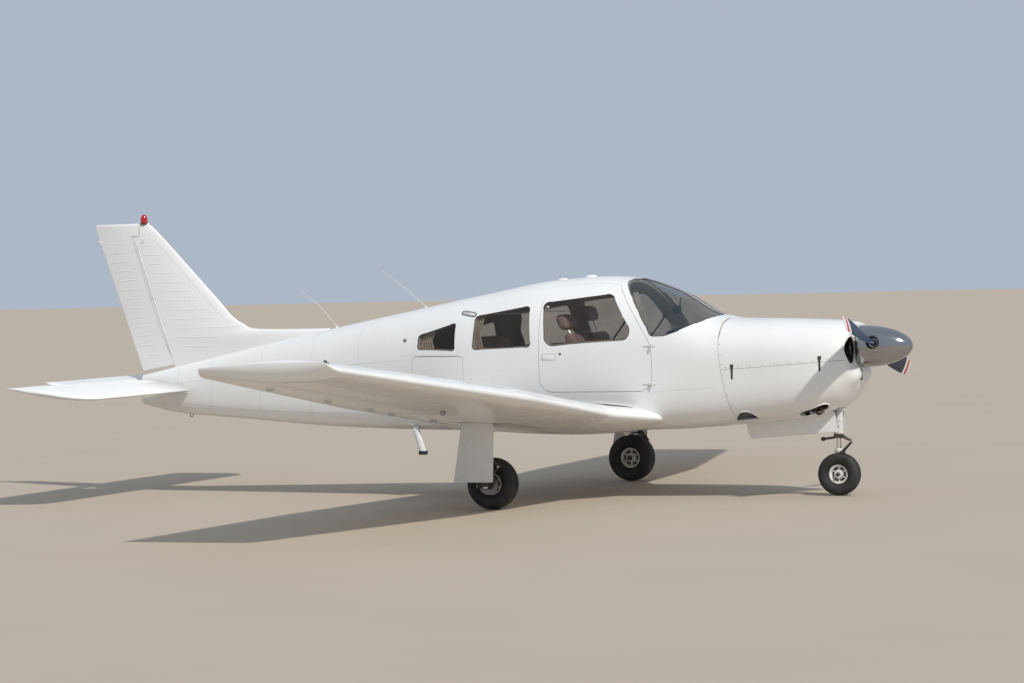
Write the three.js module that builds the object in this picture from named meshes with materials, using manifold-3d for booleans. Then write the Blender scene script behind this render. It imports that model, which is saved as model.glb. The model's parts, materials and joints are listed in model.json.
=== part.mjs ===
// A four-seat light aircraft with a low wing and retractable gear, parked on its three wheels.
// Millimetres. X runs forward to the nose, Y to the left wing, Z up from the ground.
// Stations are counted forward from the main wheels' axle. The outer group then moves the whole
// aircraft ahead, so that the frame's origin is on the ground below the middle of its length.
import * as THREE from "three";
import { mergeVertices } from "three/addons/utils/BufferGeometryUtils.js";
import Module from "manifold-3d";

const wasm = await Module();
wasm.setup();

// Driving dimensions
const AXLE_AHEAD_OF_MIDDLE = 722;
const SEAT_GAP = 0.3;
const RUNNING_GAP = 6;
const WALL = 36;
const SKIN = 6;
const COWL_WALL = 14;
const PANE = { inset: 8, thick: 6, edge: 0.4 };

const FIREWALL = 1600;
const REAR_BULKHEAD = -1300;
const TAIL_END = -4035;
const COWL_FRONT = 2588;
const FLOOR_TOP = 660;

// Flat plates on the floor, under the front feet and under the luggage: rear end, front end, half width
const FLOOR_PLATES = [
  [-1260, -860, 240],
  [760, 1040, 200],
];
const FLOOR_PLATE_THICK = 4;
const ROOF_HALF = 310;
const CENTRE_STRIP = 16;

// How finely the round forms are divided
const CABIN_POINTS = 28;
const CABIN_STEPS = 9;
const COWL_STEPS = 6;
const TAIL_POINTS = 24;
const TAIL_STEPS = 6;

const DIHEDRAL = THREE.MathUtils.degToRad(7);
const INCIDENCE = THREE.MathUtils.degToRad(2);
const WING_BASE_Z = 598;
const WING_TIP = 5437;

const MAIN_AXLE = { y: 1600, z: 206 };
const NOSE_AXLE = { x: 2397, z: 174 };
const PROPELLER = { x: 2745, z: 1214, radius: 960, rest: THREE.MathUtils.degToRad(12.5) };
const SPINNER = { back: 2602, tip: 3035, radius: 172, wall: 6 };

const PIVOT_TUBE = 25;
const RUDDER_PIN = 8;
const PIN_PLAY = 0.6;
const STABILATOR = {
  x: -3700,
  z: 938,
  rest: THREE.MathUtils.degToRad(7.7),
  tabRest: THREE.MathUtils.degToRad(12.3),
};
const RUDDER_HORN = { x: -4030, z: 2288 };
const BAGGAGE = {
  x: -955,
  y: -474,
  turn: THREE.MathUtils.degToRad(-7.9),
  hingeZ: 1192,
  hingeReach: 185,
  seam: 6,
};
const DOOR_HINGE = { x: 1000, y: -584, heights: [946, 1238] };
const DOOR_SEAM = 4;

// The fuselage from the tail to the front of the cowl:
// station, half width, belly, widest height, top, roundness above and below the widest height
const FUSELAGE = [
  [-4035, 48, 790, 915, 1046, 2.0, 2.2],
  [-3710, 92, 716, 915, 1116, 2.2, 2.6],
  [-3000, 186, 655, 930, 1264, 2.3, 3.2],
  [-2000, 325, 582, 960, 1460, 2.4, 4.0],
  [-1300, 430, 560, 1010, 1588, 2.6, 4.5],
  [-650, 520, 552, 1060, 1706, 2.7, 4.5],
  [0, 560, 548, 1090, 1810, 2.7, 4.5],
  [450, 566, 548, 1100, 1833, 2.7, 4.5],
  [720, 566, 550, 1100, 1810, 2.7, 4.5],
  [1060, 562, 556, 1095, 1702, 2.6, 4.3],
  [1447, 546, 575, 1080, 1493, 2.6, 4.0],
  [1600, 536, 588, 1070, 1465, 2.8, 3.8],
  [2000, 520, 622, 1060, 1453, 2.7, 3.4],
  [2300, 490, 662, 1075, 1440, 2.5, 3.0],
  [2480, 440, 745, 1100, 1428, 2.4, 2.6],
  [2588, 375, 880, 1150, 1412, 2.3, 2.4],
];

// The wing in its own frame: span station, leading edge, trailing edge, thickness as a share of the chord
const WING = [
  [380, 1064, -805, 0.128],
  [565, 1045, -805, 0.13],
  [800, 925, -805, 0.139],
  [1050, 795, -805, 0.15],
  [2700, 795, -805, 0.15],
  [5290, 449, -632, 0.15],
  [5400, 425, -625, 0.13],
  [WING_TIP, 370, -600, 0.05],
];
const WING_CAMBER = 0.015;

// Half of the stabilator from its pivot: span station, leading edge, trailing edge, thickness share
const STABILATOR_HALF = [
  [132, 198, -564, 0.1],
  [1700, 198, -564, 0.1],
  [1840, 152, -564, 0.1],
  [1930, 60, -564, 0.09],
  [1965, -60, -564, 0.05],
];

// The fin with its rudder, from the tail cone up: leading edge x and z, trailing edge x and z, thickness
const FIN = [
  [-2240, 1230, -3990, 1010, 60],
  [-2180, 1436, -4034, 1087, 86],
  [-2866, 1443, -4105, 1290, 96],
  [-3022, 1491, -4128, 1360, 96],
  [-3134, 1564, -4160, 1450, 94],
  [-3266, 1708, -4214, 1610, 88],
  [-3822, 2291, -4450, 2290, 58],
  [-3935, 2388, -4479, 2384, 50],
];

// Window outlines seen from the side: corner radius, then points as x, z
const WINDOWS = {
  front: [45, [[56, 1297], [54, 1602], [652, 1676], [787, 1409], [722, 1322]]],
  rear: [42, [[-620, 1243], [-612, 1524], [-90, 1602], [-84, 1263]]],
  aft: [34, [[-1157, 1250], [-1153, 1369], [-792, 1473], [-788, 1236]]],
};
const DOOR = [55, [[0, 902], [0, 2000], [690, 2000], [732, 1811], [820, 1534], [990, 1262], [990, 902]]];
const BAGGAGE_DOOR = [45, [[-250, 705], [-250, 1189], [250, 1189], [250, 705]]];
const WINDSCREEN = [[997, 1334], [778, 1772], [722, 1812], [722, 2000], [1600, 2000], [1600, 1548]];

// Shapes to solids and back
function solid(geometry, matrix) {
  const bare = geometry.index ? geometry.toNonIndexed() : geometry.clone();
  bare.deleteAttribute("normal");
  bare.deleteAttribute("uv");
  if (matrix) bare.applyMatrix4(matrix);
  const merged = mergeVertices(bare, 1e-3);
  const made = new wasm.Mesh({
    numProp: 3,
    vertProperties: merged.attributes.position.array,
    triVerts: new Uint32Array(merged.index.array),
  });
  return new wasm.Manifold(made);
}

function geometryOf(made) {
  const mesh = made.getMesh();
  const corners = new Float32Array(mesh.numVert * 3);
  for (let i = 0; i < mesh.numVert; i++) {
    corners.set(mesh.vertProperties.subarray(i * mesh.numProp, i * mesh.numProp + 3), i * 3);
  }
  const geometry = new THREE.BufferGeometry();
  geometry.setAttribute("position", new THREE.BufferAttribute(corners, 3));
  geometry.setIndex(new THREE.BufferAttribute(mesh.triVerts, 1));
  geometry.computeVertexNormals();
  return geometry;
}

const joined = (first, ...rest) => rest.reduce((whole, piece) => whole.add(piece), first);
const without = (first, ...rest) => rest.reduce((whole, piece) => whole.subtract(piece), first);

function placed(x, y, z) {
  return new THREE.Matrix4().makeTranslation(x, y, z);
}

// A box from its lowest to its highest corner
function block(low, high) {
  const size = high.map((value, i) => value - low[i]);
  const middle = high.map((value, i) => (value + low[i]) / 2);
  return solid(new THREE.BoxGeometry(...size), placed(...middle));
}

// A round bar between two points, with its own radius at each end
function bar(from, to, radiusFrom, radiusTo = radiusFrom, sides = 12) {
  const a = new THREE.Vector3(...from);
  const b = new THREE.Vector3(...to);
  const length = a.distanceTo(b);
  const geometry = new THREE.CylinderGeometry(radiusTo, radiusFrom, length, sides);
  const turn = new THREE.Quaternion().setFromUnitVectors(
    new THREE.Vector3(0, 1, 0),
    b.clone().sub(a).normalize(),
  );
  const middle = a.clone().add(b).multiplyScalar(0.5);
  return solid(geometry, new THREE.Matrix4().compose(middle, turn, new THREE.Vector3(1, 1, 1)));
}

// A closed skin over rings with equal numbers of points, capped at both ends
function loft(rings) {
  const count = rings[0].length;
  const corners = [];
  const add = (a, b, c) => corners.push(...a.toArray(), ...b.toArray(), ...c.toArray());
  const middle = (ring) =>
    ring.reduce((sum, p) => sum.add(p), new THREE.Vector3()).divideScalar(count);
  for (let i = 0; i + 1 < rings.length; i++) {
    for (let j = 0; j < count; j++) {
      const k = (j + 1) % count;
      add(rings[i][j], rings[i + 1][j], rings[i + 1][k]);
      add(rings[i][j], rings[i + 1][k], rings[i][k]);
    }
  }
  const first = rings[0];
  const last = rings[rings.length - 1];
  const firstMiddle = middle(first);
  const lastMiddle = middle(last);
  for (let j = 0; j < count; j++) {
    const k = (j + 1) % count;
    add(firstMiddle, first[j], first[k]);
    add(lastMiddle, last[k], last[j]);
  }
  const geometry = new THREE.BufferGeometry();
  geometry.setAttribute("position", new THREE.Float32BufferAttribute(corners, 3));
  return outward(geometry);
}

// Turns the faces round where the rings ran the other way
function outward(geometry) {
  const corner = geometry.attributes.position;
  const at = (i) => new THREE.Vector3().fromBufferAttribute(corner, i);
  let volume = 0;
  for (let i = 0; i < corner.count; i += 3) {
    volume += at(i).dot(at(i + 1).cross(at(i + 2)));
  }
  if (volume > 0) return geometry;
  for (let i = 0; i < corner.count; i += 3) {
    const b = at(i + 1);
    const c = at(i + 2);
    corner.setXYZ(i + 1, c.x, c.y, c.z);
    corner.setXYZ(i + 2, b.x, b.y, b.z);
  }
  return geometry;
}

// A side-view outline with rounded corners; grow moves its straight edges outwards
function outline(points, radius = 0, grow = 0) {
  const loop = THREE.ShapeUtils.area(points.map(([x, z]) => new THREE.Vector2(x, z))) < 0
    ? [...points].reverse()
    : points;
  const corners = loop.map(([x, z]) => new THREE.Vector2(x, z));
  const count = corners.length;
  const moved = corners.map((p, i) => {
    const before = p.clone().sub(corners[(i + count - 1) % count]).normalize();
    const after = corners[(i + 1) % count].clone().sub(p).normalize();
    const outA = new THREE.Vector2(before.y, -before.x);
    const outB = new THREE.Vector2(after.y, -after.x);
    const spread = outA.clone().add(outB);
    return p.clone().add(spread.multiplyScalar((2 * grow) / spread.lengthSq()));
  });
  const shape = new THREE.Shape();
  moved.forEach((p, i) => {
    const before = moved[(i + count - 1) % count].clone().sub(p);
    const after = moved[(i + 1) % count].clone().sub(p);
    const reach = Math.min(radius + grow, before.length() / 2.1, after.length() / 2.1);
    const start = p.clone().add(before.setLength(Math.max(reach, 0)));
    const end = p.clone().add(after.setLength(Math.max(reach, 0)));
    if (i === 0) shape.moveTo(start.x, start.y);
    else shape.lineTo(start.x, start.y);
    if (reach > 0) shape.quadraticCurveTo(p.x, p.y, end.x, end.y);
  });
  shape.closePath();
  return shape;
}

// A side-view outline carried across from y = low to y = high
function sidePrism(shape, low, high, curveSegments = 3) {
  const geometry = new THREE.ExtrudeGeometry(shape, {
    depth: high - low,
    bevelEnabled: false,
    curveSegments,
  });
  const stand = new THREE.Matrix4().makeRotationX(Math.PI / 2);
  return solid(geometry, placed(0, high, 0).multiply(stand));
}

// A turned shape about the Y axis from a closed or axis-ended profile of radius, height
function turned(profile, segments, axis = "y") {
  const points = profile.map(([radius, along]) => new THREE.Vector2(radius, along));
  const geometry = new THREE.LatheGeometry(points, segments);
  const lay = new THREE.Matrix4();
  if (axis === "x") lay.makeRotationZ(-Math.PI / 2);
  const bare = geometry.toNonIndexed().applyMatrix4(lay);
  bare.deleteAttribute("normal");
  bare.deleteAttribute("uv");
  return solid(outward(bare));
}

// The smooth value of one table column at a station
function along(table, column, x) {
  const rows = [...table].sort((a, b) => a[0] - b[0]);
  const count = rows.length;
  const slopes = [];
  for (let i = 0; i + 1 < count; i++) {
    slopes.push((rows[i + 1][column] - rows[i][column]) / (rows[i + 1][0] - rows[i][0]));
  }
  const tangent = (i) => {
    if (i === 0) return slopes[0];
    if (i === count - 1) return slopes[count - 2];
    if (slopes[i - 1] * slopes[i] <= 0) return 0;
    const left = rows[i][0] - rows[i - 1][0];
    const right = rows[i + 1][0] - rows[i][0];
    const a = 2 * right + left;
    const b = right + 2 * left;
    return (a + b) / (a / slopes[i - 1] + b / slopes[i]);
  };
  let i = 0;
  while (i < count - 2 && x > rows[i + 1][0]) i++;
  const step = rows[i + 1][0] - rows[i][0];
  const t = (x - rows[i][0]) / step;
  const rise = rows[i + 1][column] - rows[i][column];
  const startTangent = tangent(i) * step;
  const endTangent = tangent(i + 1) * step;
  const cubic = startTangent + endTangent - 2 * rise;
  const square = 3 * rise - 2 * startTangent - endTangent;
  return rows[i][column] + t * (startTangent + t * (square + t * cubic));
}

// The fuselage's outline at a station, moved inwards by inset
function fuselageRing(x, inset, points) {
  const [half, belly, widest, top, above, below] = [1, 2, 3, 4, 5, 6].map((column) =>
    along(FUSELAGE, column, x),
  );
  const ring = [];
  for (let j = 0; j < points; j++) {
    const angle = (2 * Math.PI * j) / points;
    const power = 2 / (Math.sin(angle) >= 0 ? above : below);
    const reach = Math.sin(angle) >= 0 ? top - inset - widest : widest - belly - inset;
    const across = Math.sign(Math.cos(angle)) * Math.abs(Math.cos(angle)) ** power;
    const upward = Math.sign(Math.sin(angle)) * Math.abs(Math.sin(angle)) ** power;
    ring.push(new THREE.Vector3(x, (half - inset) * across, widest + reach * upward));
  }
  return ring;
}

// The fuselage between two stations
function fuselage(from, to, inset, steps, points) {
  const rings = [];
  for (let i = 0; i <= steps; i++) {
    rings.push(fuselageRing(from + ((to - from) * i) / steps, inset, points));
  }
  return solid(loft(rings));
}

// Half thickness of an aerofoil as a share of its full thickness, thickest at 40% of the chord
function foilShape(u) {
  if (u < 0.4) return 0.5 * Math.sqrt(1 - ((0.4 - u) / 0.4) ** 2);
  return 0.5 * (1 - 0.975 * ((u - 0.4) / 0.6) ** 1.7);
}

// An aerofoil from its leading to its trailing edge; normal points out of the upper surface
function foilRing(lead, trail, thickness, camber, normal, steps = 7) {
  const upper = [];
  const lower = [];
  for (let i = 0; i <= steps; i++) {
    const u = 0.5 * (1 - Math.cos((Math.PI * i) / steps));
    const middle = lead.clone().lerp(trail, u);
    const bend = 4 * camber * u * (1 - u) * lead.distanceTo(trail);
    const half = thickness * foilShape(u);
    upper.push(middle.clone().addScaledVector(normal, bend + half));
    if (i > 0) lower.push(middle.clone().addScaledVector(normal, bend - half));
  }
  return [...upper.reverse(), ...lower];
}

// Everything behind a hinge line, with a round nose about it; ends are square to the line
function behindHinge(line, extra, short) {
  const axis = line.to.clone().sub(line.from).normalize();
  const up = line.up.clone();
  const forward = up.clone().cross(axis).normalize();
  if (forward.dot(line.forward) < 0) forward.negate();
  const length = line.to.distanceTo(line.from) - 2 * short;
  const start = line.from.clone().addScaledVector(axis, short);
  const end = start.clone().addScaledVector(axis, length);
  const nose = bar(
    start.toArray(),
    end.toArray(),
    line.noses[0] + extra,
    line.noses[1] + extra,
    20,
  );
  const right = axis.clone().cross(forward).normalize();
  const basis = new THREE.Matrix4().makeBasis(axis, forward, right);
  const middle = start.clone().lerp(end, 0.5).addScaledVector(forward, -line.back / 2);
  const slab = solid(
    new THREE.BoxGeometry(length, line.back, line.depth),
    basis.setPosition(middle),
  );
  return nose.add(slab);
}

// Splits a wing-like body into the fixed part and the surface that turns about the line
function splitAtHinge(body, line) {
  const axis = line.to.clone().sub(line.from).normalize();
  const pins = [
    [line.from.clone().addScaledVector(axis, SEAT_GAP), 1],
    [line.to.clone().addScaledVector(axis, -SEAT_GAP), -1],
  ].map(([tip, way]) =>
    bar(tip.toArray(), tip.clone().addScaledVector(axis, way * 3 * RUNNING_GAP).toArray(), 6),
  );
  const moving = body.intersect(behindHinge(line, 0, RUNNING_GAP));
  return {
    fixed: body.subtract(behindHinge(line, RUNNING_GAP, 0)),
    moving: joined(moving, ...pins),
  };
}

// The scene graph
const aircraft = new THREE.Group();
const airframe = new THREE.Group();
airframe.position.x = AXLE_AHEAD_OF_MIDDLE;
aircraft.add(airframe);

function paint(color, roughness = 0.35, metalness = 0) {
  return new THREE.MeshStandardMaterial({ color, roughness, metalness });
}

function addPiece(name, made, material, parent = airframe) {
  const mesh = new THREE.Mesh(geometryOf(made), material);
  mesh.name = name;
  parent.add(mesh);
  return mesh;
}

const white = paint(0xf1f1ee);
const smoked = new THREE.MeshStandardMaterial({
  color: 0x3a3d3c,
  roughness: 0.1,
  transparent: true,
  opacity: 0.4,
});
const darkMetal = paint(0x2c2d2f, 0.5, 0.6);
const vinyl = paint(0x8c6a62, 0.6);
const rubber = paint(0x1b1b1c, 0.85);
const bareMetal = paint(0xc9cbcc, 0.3, 0.9);

const SIDES = [
  ["left", 1],
  ["right", -1],
];

// Cabin shell, with its panels, doors and glass
const cabinOuter = fuselage(REAR_BULKHEAD, FIREWALL, 0, CABIN_STEPS, CABIN_POINTS);
const cabinHollow = fuselage(REAR_BULKHEAD - 1, FIREWALL + 1, WALL, CABIN_STEPS, CABIN_POINTS);
const cabinShell = without(
  cabinOuter,
  cabinHollow.intersect(block([-2000, -1000, FLOOR_TOP], [2000, 1000, 2500])),
);
const paneShell = without(
  fuselage(REAR_BULKHEAD, FIREWALL, PANE.inset, CABIN_STEPS, CABIN_POINTS),
  fuselage(REAR_BULKHEAD - 1, FIREWALL + 1, PANE.inset + PANE.thick, CABIN_STEPS, CABIN_POINTS),
);

function addCabin() {
  const floorCut = FLOOR_TOP + SEAT_GAP;
  const floorPlates = FLOOR_PLATES.map(([rear, front, half]) =>
    block([rear, -half, FLOOR_TOP - 1], [front, half, FLOOR_TOP + FLOOR_PLATE_THICK]),
  );
  const floor = cabinShell.intersect(block([-2000, -1000, 0], [2000, 1000, FLOOR_TOP]));
  addPiece("cabin_floor", joined(floor, ...floorPlates), white);
  const strip = block([-2000, -CENTRE_STRIP, 0], [2000, CENTRE_STRIP, 2500]);
  const screenHole = without(sidePrism(outline(WINDSCREEN), -900, 900), strip);
  const nearSide = (grow) => sidePrism(outline(DOOR[1], DOOR[0], grow), -900, 0);
  const doorSweep = (radius) =>
    bar([DOOR_HINGE.x, DOOR_HINGE.y, 0], [DOOR_HINGE.x, DOOR_HINGE.y, 2500], radius, radius, 96);
  const doorHole = nearSide(DOOR_SEAM).intersect(doorSweep(DOOR_HINGE.x + DOOR_SEAM));
  const baggageHole = baggagePrism(BAGGAGE.seam);
  const hingeSeats = DOOR_HINGE.heights.map((z) =>
    block(
      [DOOR_HINGE.x - 6, DOOR_HINGE.y + 9 + SEAT_GAP, z - 18],
      [DOOR_HINGE.x + 38, -545, z + 18],
    ),
  );
  const baggageEars = [-1, 1].map((end) => {
    const ends = [BAGGAGE.hingeReach + SEAT_GAP, BAGGAGE.hingeReach + 16].map((x) => x * end);
    const ear = block([Math.min(...ends), -16, 1189.4], [Math.max(...ends), 14, 1206]);
    return solid(geometryOf(ear), baggageFrame());
  });
  for (const [side, way] of SIDES) {
    const low = way > 0 ? ROOF_HALF : -1000;
    const high = way > 0 ? 1000 : -ROOF_HALF;
    const half = block([-2000, low, floorCut], [2000, high, 2500]);
    const names = way > 0 ? ["front", "rear", "aft"] : ["rear", "aft"];
    let panel = cabinShell.intersect(half).subtract(screenHole);
    for (const name of names) {
      const [radius, points] = WINDOWS[name];
      const across = way > 0 ? [0, 900] : [-900, 0];
      panel = panel.subtract(sidePrism(outline(points, radius), ...across));
      const pane = sidePrism(outline(points, radius, -PANE.edge), ...across);
      addPiece("window_" + side + "_" + name, paneShell.intersect(pane), smoked);
    }
    if (way < 0) {
      panel = joined(without(panel, doorHole, baggageHole), ...hingeSeats, ...baggageEars);
    }
    addPiece("cabin_side_" + side, panel, white);
    const reach = way > 0 ? [CENTRE_STRIP + PANE.edge, 900] : [-900, -CENTRE_STRIP - PANE.edge];
    const screen = sidePrism(outline(WINDSCREEN, 0, -PANE.edge), ...reach);
    addPiece("windscreen_" + side, paneShell.intersect(screen), smoked);
  }
  const roofEdge = ROOF_HALF - SEAT_GAP;
  const roof = cabinShell
    .intersect(block([-2000, -roofEdge, 1000], [2000, roofEdge, 2500]))
    .subtract(screenHole);
  addPiece("cabin_roof", joined(roof, whip(-1260, 1590, -1675, 1936)), white);

  const nearHalf = block([-2000, -1000, 0], [2000, -ROOF_HALF - 4, 2500]);
  const [frontRadius, frontPoints] = WINDOWS.front;
  const doorHinges = DOOR_HINGE.heights.map((z) =>
    joined(
      bar([DOOR_HINGE.x, DOOR_HINGE.y, z - 18], [DOOR_HINGE.x, DOOR_HINGE.y, z + 18], 9),
      block([DOOR_HINGE.x - 62, DOOR_HINGE.y - 7, z - 14], [DOOR_HINGE.x, DOOR_HINGE.y + 7, z + 14]),
      block([DOOR_HINGE.x - 62, DOOR_HINGE.y - 7, z - 14], [DOOR_HINGE.x - 14, -545, z + 14]),
    ),
  );
  const door = cabinShell
    .intersect(nearSide(0).intersect(doorSweep(DOOR_HINGE.x)))
    .intersect(nearHalf)
    .subtract(sidePrism(outline(frontPoints, frontRadius), -900, 0));
  addPiece("cabin_door", joined(door, ...doorHinges), white);
  const doorPane = sidePrism(outline(frontPoints, frontRadius, -PANE.edge), -900, 0);
  addPiece("door_window", paneShell.intersect(doorPane), smoked);
  const reach = BAGGAGE.hingeReach;
  const hinge = joined(
    bar([-reach, -9, BAGGAGE.hingeZ], [reach, -9, BAGGAGE.hingeZ], 6, 6, 8),
    block([-reach, -14, 1172], [reach, 14, 1190]),
  );
  const aboveSeam = fuselage(REAR_BULKHEAD, FIREWALL, -SEAT_GAP, CABIN_STEPS, CABIN_POINTS).intersect(
    block([-2000, -1000, 1189], [2000, 0, 1400]),
  );
  const knuckle = solid(geometryOf(hinge), baggageFrame()).subtract(aboveSeam);
  addPiece("baggage_door", cabinShell.intersect(baggagePrism(0)).add(knuckle), white);
}

// The baggage door's own frame: along the skin, square to it, up
function baggageFrame() {
  return new THREE.Matrix4().makeRotationZ(BAGGAGE.turn).setPosition(BAGGAGE.x, BAGGAGE.y, 0);
}

function baggagePrism(grow) {
  const [radius, points] = BAGGAGE_DOOR;
  return solid(geometryOf(sidePrism(outline(points, radius, grow), -150, 120)), baggageFrame());
}

// A whip antenna raked aft from its foot to its tip
function whip(footX, footZ, tipX, tipZ) {
  const foot = bar([footX + 30, 0, footZ - 14], [footX, 0, footZ + 12], 16, 9, 8);
  return foot.add(bar([footX, 0, footZ], [tipX, 0, tipZ], 6, 3.5, 6));
}

function addBulkheads() {
  const lining = fuselage(REAR_BULKHEAD, FIREWALL, WALL + SEAT_GAP, CABIN_STEPS, CABIN_POINTS);
  const inside = lining.intersect(block([-2000, -1000, FLOOR_TOP + SEAT_GAP], [2000, 1000, 2500]));
  const slice = (from, to) => inside.intersect(block([from, -1000, 0], [to, 1000, 2500]));
  addPiece("firewall", slice(FIREWALL - 12, FIREWALL), bareMetal);
  addPiece("rear_bulkhead", slice(REAR_BULKHEAD, REAR_BULKHEAD + 12), white);
}

function addTail() {
  const outer = fuselage(TAIL_END, REAR_BULKHEAD - SEAT_GAP, 0, TAIL_STEPS, TAIL_POINTS);
  const hollow = fuselage(TAIL_END + 60, REAR_BULKHEAD + 1, SKIN, TAIL_STEPS, TAIL_POINTS);
  const pivotHole = bar(
    [STABILATOR.x, -400, STABILATOR.z],
    [STABILATOR.x, 400, STABILATOR.z],
    PIVOT_TUBE + PIN_PLAY,
    undefined,
    24,
  );

  const clearOfCone = fuselage(TAIL_END, REAR_BULKHEAD - SEAT_GAP, -SEAT_GAP, TAIL_STEPS, TAIL_POINTS);
  const across = new THREE.Vector3(0, 1, 0);
  const blade = solid(
    loft(
      FIN.map(([leadX, leadZ, trailX, trailZ, thickness]) =>
        foilRing(
          new THREE.Vector3(leadX, 0, leadZ),
          new THREE.Vector3(trailX, 0, trailZ),
          thickness,
          0,
          across,
        ),
      ),
    ),
  );
  const line = {
    from: new THREE.Vector3(-3747, 0, 1135),
    to: new THREE.Vector3(-4125, 0, 2278),
    up: across,
    forward: new THREE.Vector3(1, 0, 0),
    noses: [36, 32],
    back: 700,
    depth: 300,
  };
  const axis = line.to.clone().sub(line.from).normalize();
  const rudderPin = (down, up, radius) =>
    bar(
      line.from.clone().addScaledVector(axis, -down).toArray(),
      line.from.clone().addScaledVector(axis, up).toArray(),
      radius,
    );
  const cone = without(outer, hollow, pivotHole, rudderPin(120, 60, RUDDER_PIN + PIN_PLAY));
  addPiece("tail_cone", joined(cone, whip(-2111, 1442, -2472, 1785)), white);
  const longLine = {
    ...line,
    from: line.from.clone().addScaledVector(axis, -300),
    to: line.to.clone().addScaledVector(axis, 300),
  };
  const horn = (grow, drop) =>
    block([-6000, -300, RUDDER_HORN.z - drop], [RUDDER_HORN.x + grow, 300, 3000]);
  const belowRudder = sidePrism(
    outline([[-3600, 1160], [-4200, 1059], [-4200, 0], [-3600, 0]]),
    -200,
    200,
  );
  const rudderBody = joined(blade.intersect(behindHinge(longLine, 0, 0)), blade.intersect(horn(0, 0)));
  addPiece(
    "fin",
    without(blade, behindHinge(longLine, RUNNING_GAP, 0), horn(8, 10), clearOfCone),
    white,
  );
  addPiece("rudder", joined(rudderBody.subtract(belowRudder), rudderPin(70, 20, RUDDER_PIN)), white);
  const beacon = turned([[0, 0], [34, 0], [34, 30], [30, 62], [18, 84], [0, 92]], 16);
  const stand = new THREE.Matrix4().makeRotationX(Math.PI / 2).setPosition(-3986, 0, 2388.3);
  const lamp = addPiece("beacon", beacon, paint(0xa01218, 0.3));
  lamp.applyMatrix4(stand);
}

function addStabilator() {
  const pivot = new THREE.Group();
  pivot.position.set(STABILATOR.x, 0, STABILATOR.z);
  pivot.rotation.y = STABILATOR.rest;
  airframe.add(pivot);
  const up = new THREE.Vector3(0, 0, 1);
  const half = (way) =>
    solid(
      loft(
        STABILATOR_HALF.map(([span, lead, trail, share]) =>
          foilRing(
            new THREE.Vector3(lead, way * span, 0),
            new THREE.Vector3(trail, way * span, 0),
            share * (lead - trail),
            0,
            up,
          ),
        ),
      ),
    );
  const [root, lead, trail] = STABILATOR_HALF[0];
  const tabEnd = 1330;
  const tabChord = 118;
  const hingeX = trail + tabChord;
  const nose = 16;
  // Each half is hollow ahead of the tab and open at its root, where the tube comes out
  const hollowEnd = 1650;
  const hollow = (way) =>
    solid(
      loft(
        [root - 1, hollowEnd].map((span) =>
          foilRing(
            new THREE.Vector3(lead - 25, way * span, 0),
            new THREE.Vector3(hingeX + nose + 2 * RUNNING_GAP, way * span, 0),
            0.1 * (lead - trail) - 2 * SKIN,
            0,
            up,
          ),
        ),
      ),
    );
  const tube = bar([0, -hollowEnd - 10, 0], [0, hollowEnd + 10, 0], PIVOT_TUBE);
  const both = joined(without(half(1), hollow(1)), without(half(-1), hollow(-1)), tube);
  const line = {
    from: new THREE.Vector3(hingeX, -tabEnd, 0),
    to: new THREE.Vector3(hingeX, tabEnd, 0),
    up,
    forward: new THREE.Vector3(1, 0, 0),
    noses: [nose, nose],
    back: 300,
    depth: 200,
  };
  addPiece("stabilator", both.subtract(behindHinge(line, RUNNING_GAP, 0)), white, pivot);
  const straight = [-tabEnd, tabEnd].map((span) =>
    foilRing(
      new THREE.Vector3(lead, span, 0),
      new THREE.Vector3(trail, span, 0),
      0.1 * (lead - trail),
      0,
      up,
    ),
  );
  const tab = splitAtHinge(solid(loft(straight)), line).moving;
  const hinge = new THREE.Group();
  hinge.position.x = hingeX;
  hinge.rotation.y = STABILATOR.tabRest;
  pivot.add(hinge);
  const mesh = addPiece("stabilator_tab", tab, white, hinge);
  mesh.position.x = -hingeX;
}

// A point of the wing at a span station and a share of the chord, with the half thickness there
function wingPoint(span, share) {
  const lead = along(WING.slice(3, 6), 1, span);
  const trail = along(WING.slice(3, 6), 2, span);
  const chord = lead - trail;
  const x = lead - share * chord;
  const z = 4 * WING_CAMBER * share * (1 - share) * chord - share * chord * Math.tan(INCIDENCE);
  return { at: new THREE.Vector3(x, span, z), half: 0.15 * chord * foilShape(share) };
}

function surfaceLine(from, to, share) {
  const a = wingPoint(from, share);
  const b = wingPoint(to, share);
  return {
    from: a.at,
    to: b.at,
    up: new THREE.Vector3(0, 0, 1),
    forward: new THREE.Vector3(1, 0, 0),
    noses: [a.half, b.half],
    back: 500,
    depth: 500,
  };
}

const FLAP = { from: 622, to: 2688, share: 0.815 };
const AILERON = { from: 2712, to: 4960, share: 0.81 };
const WHEEL_WELL = { front: 235, rear: -235, inner: 1150, outer: 1815, ceiling: 45 };

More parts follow.
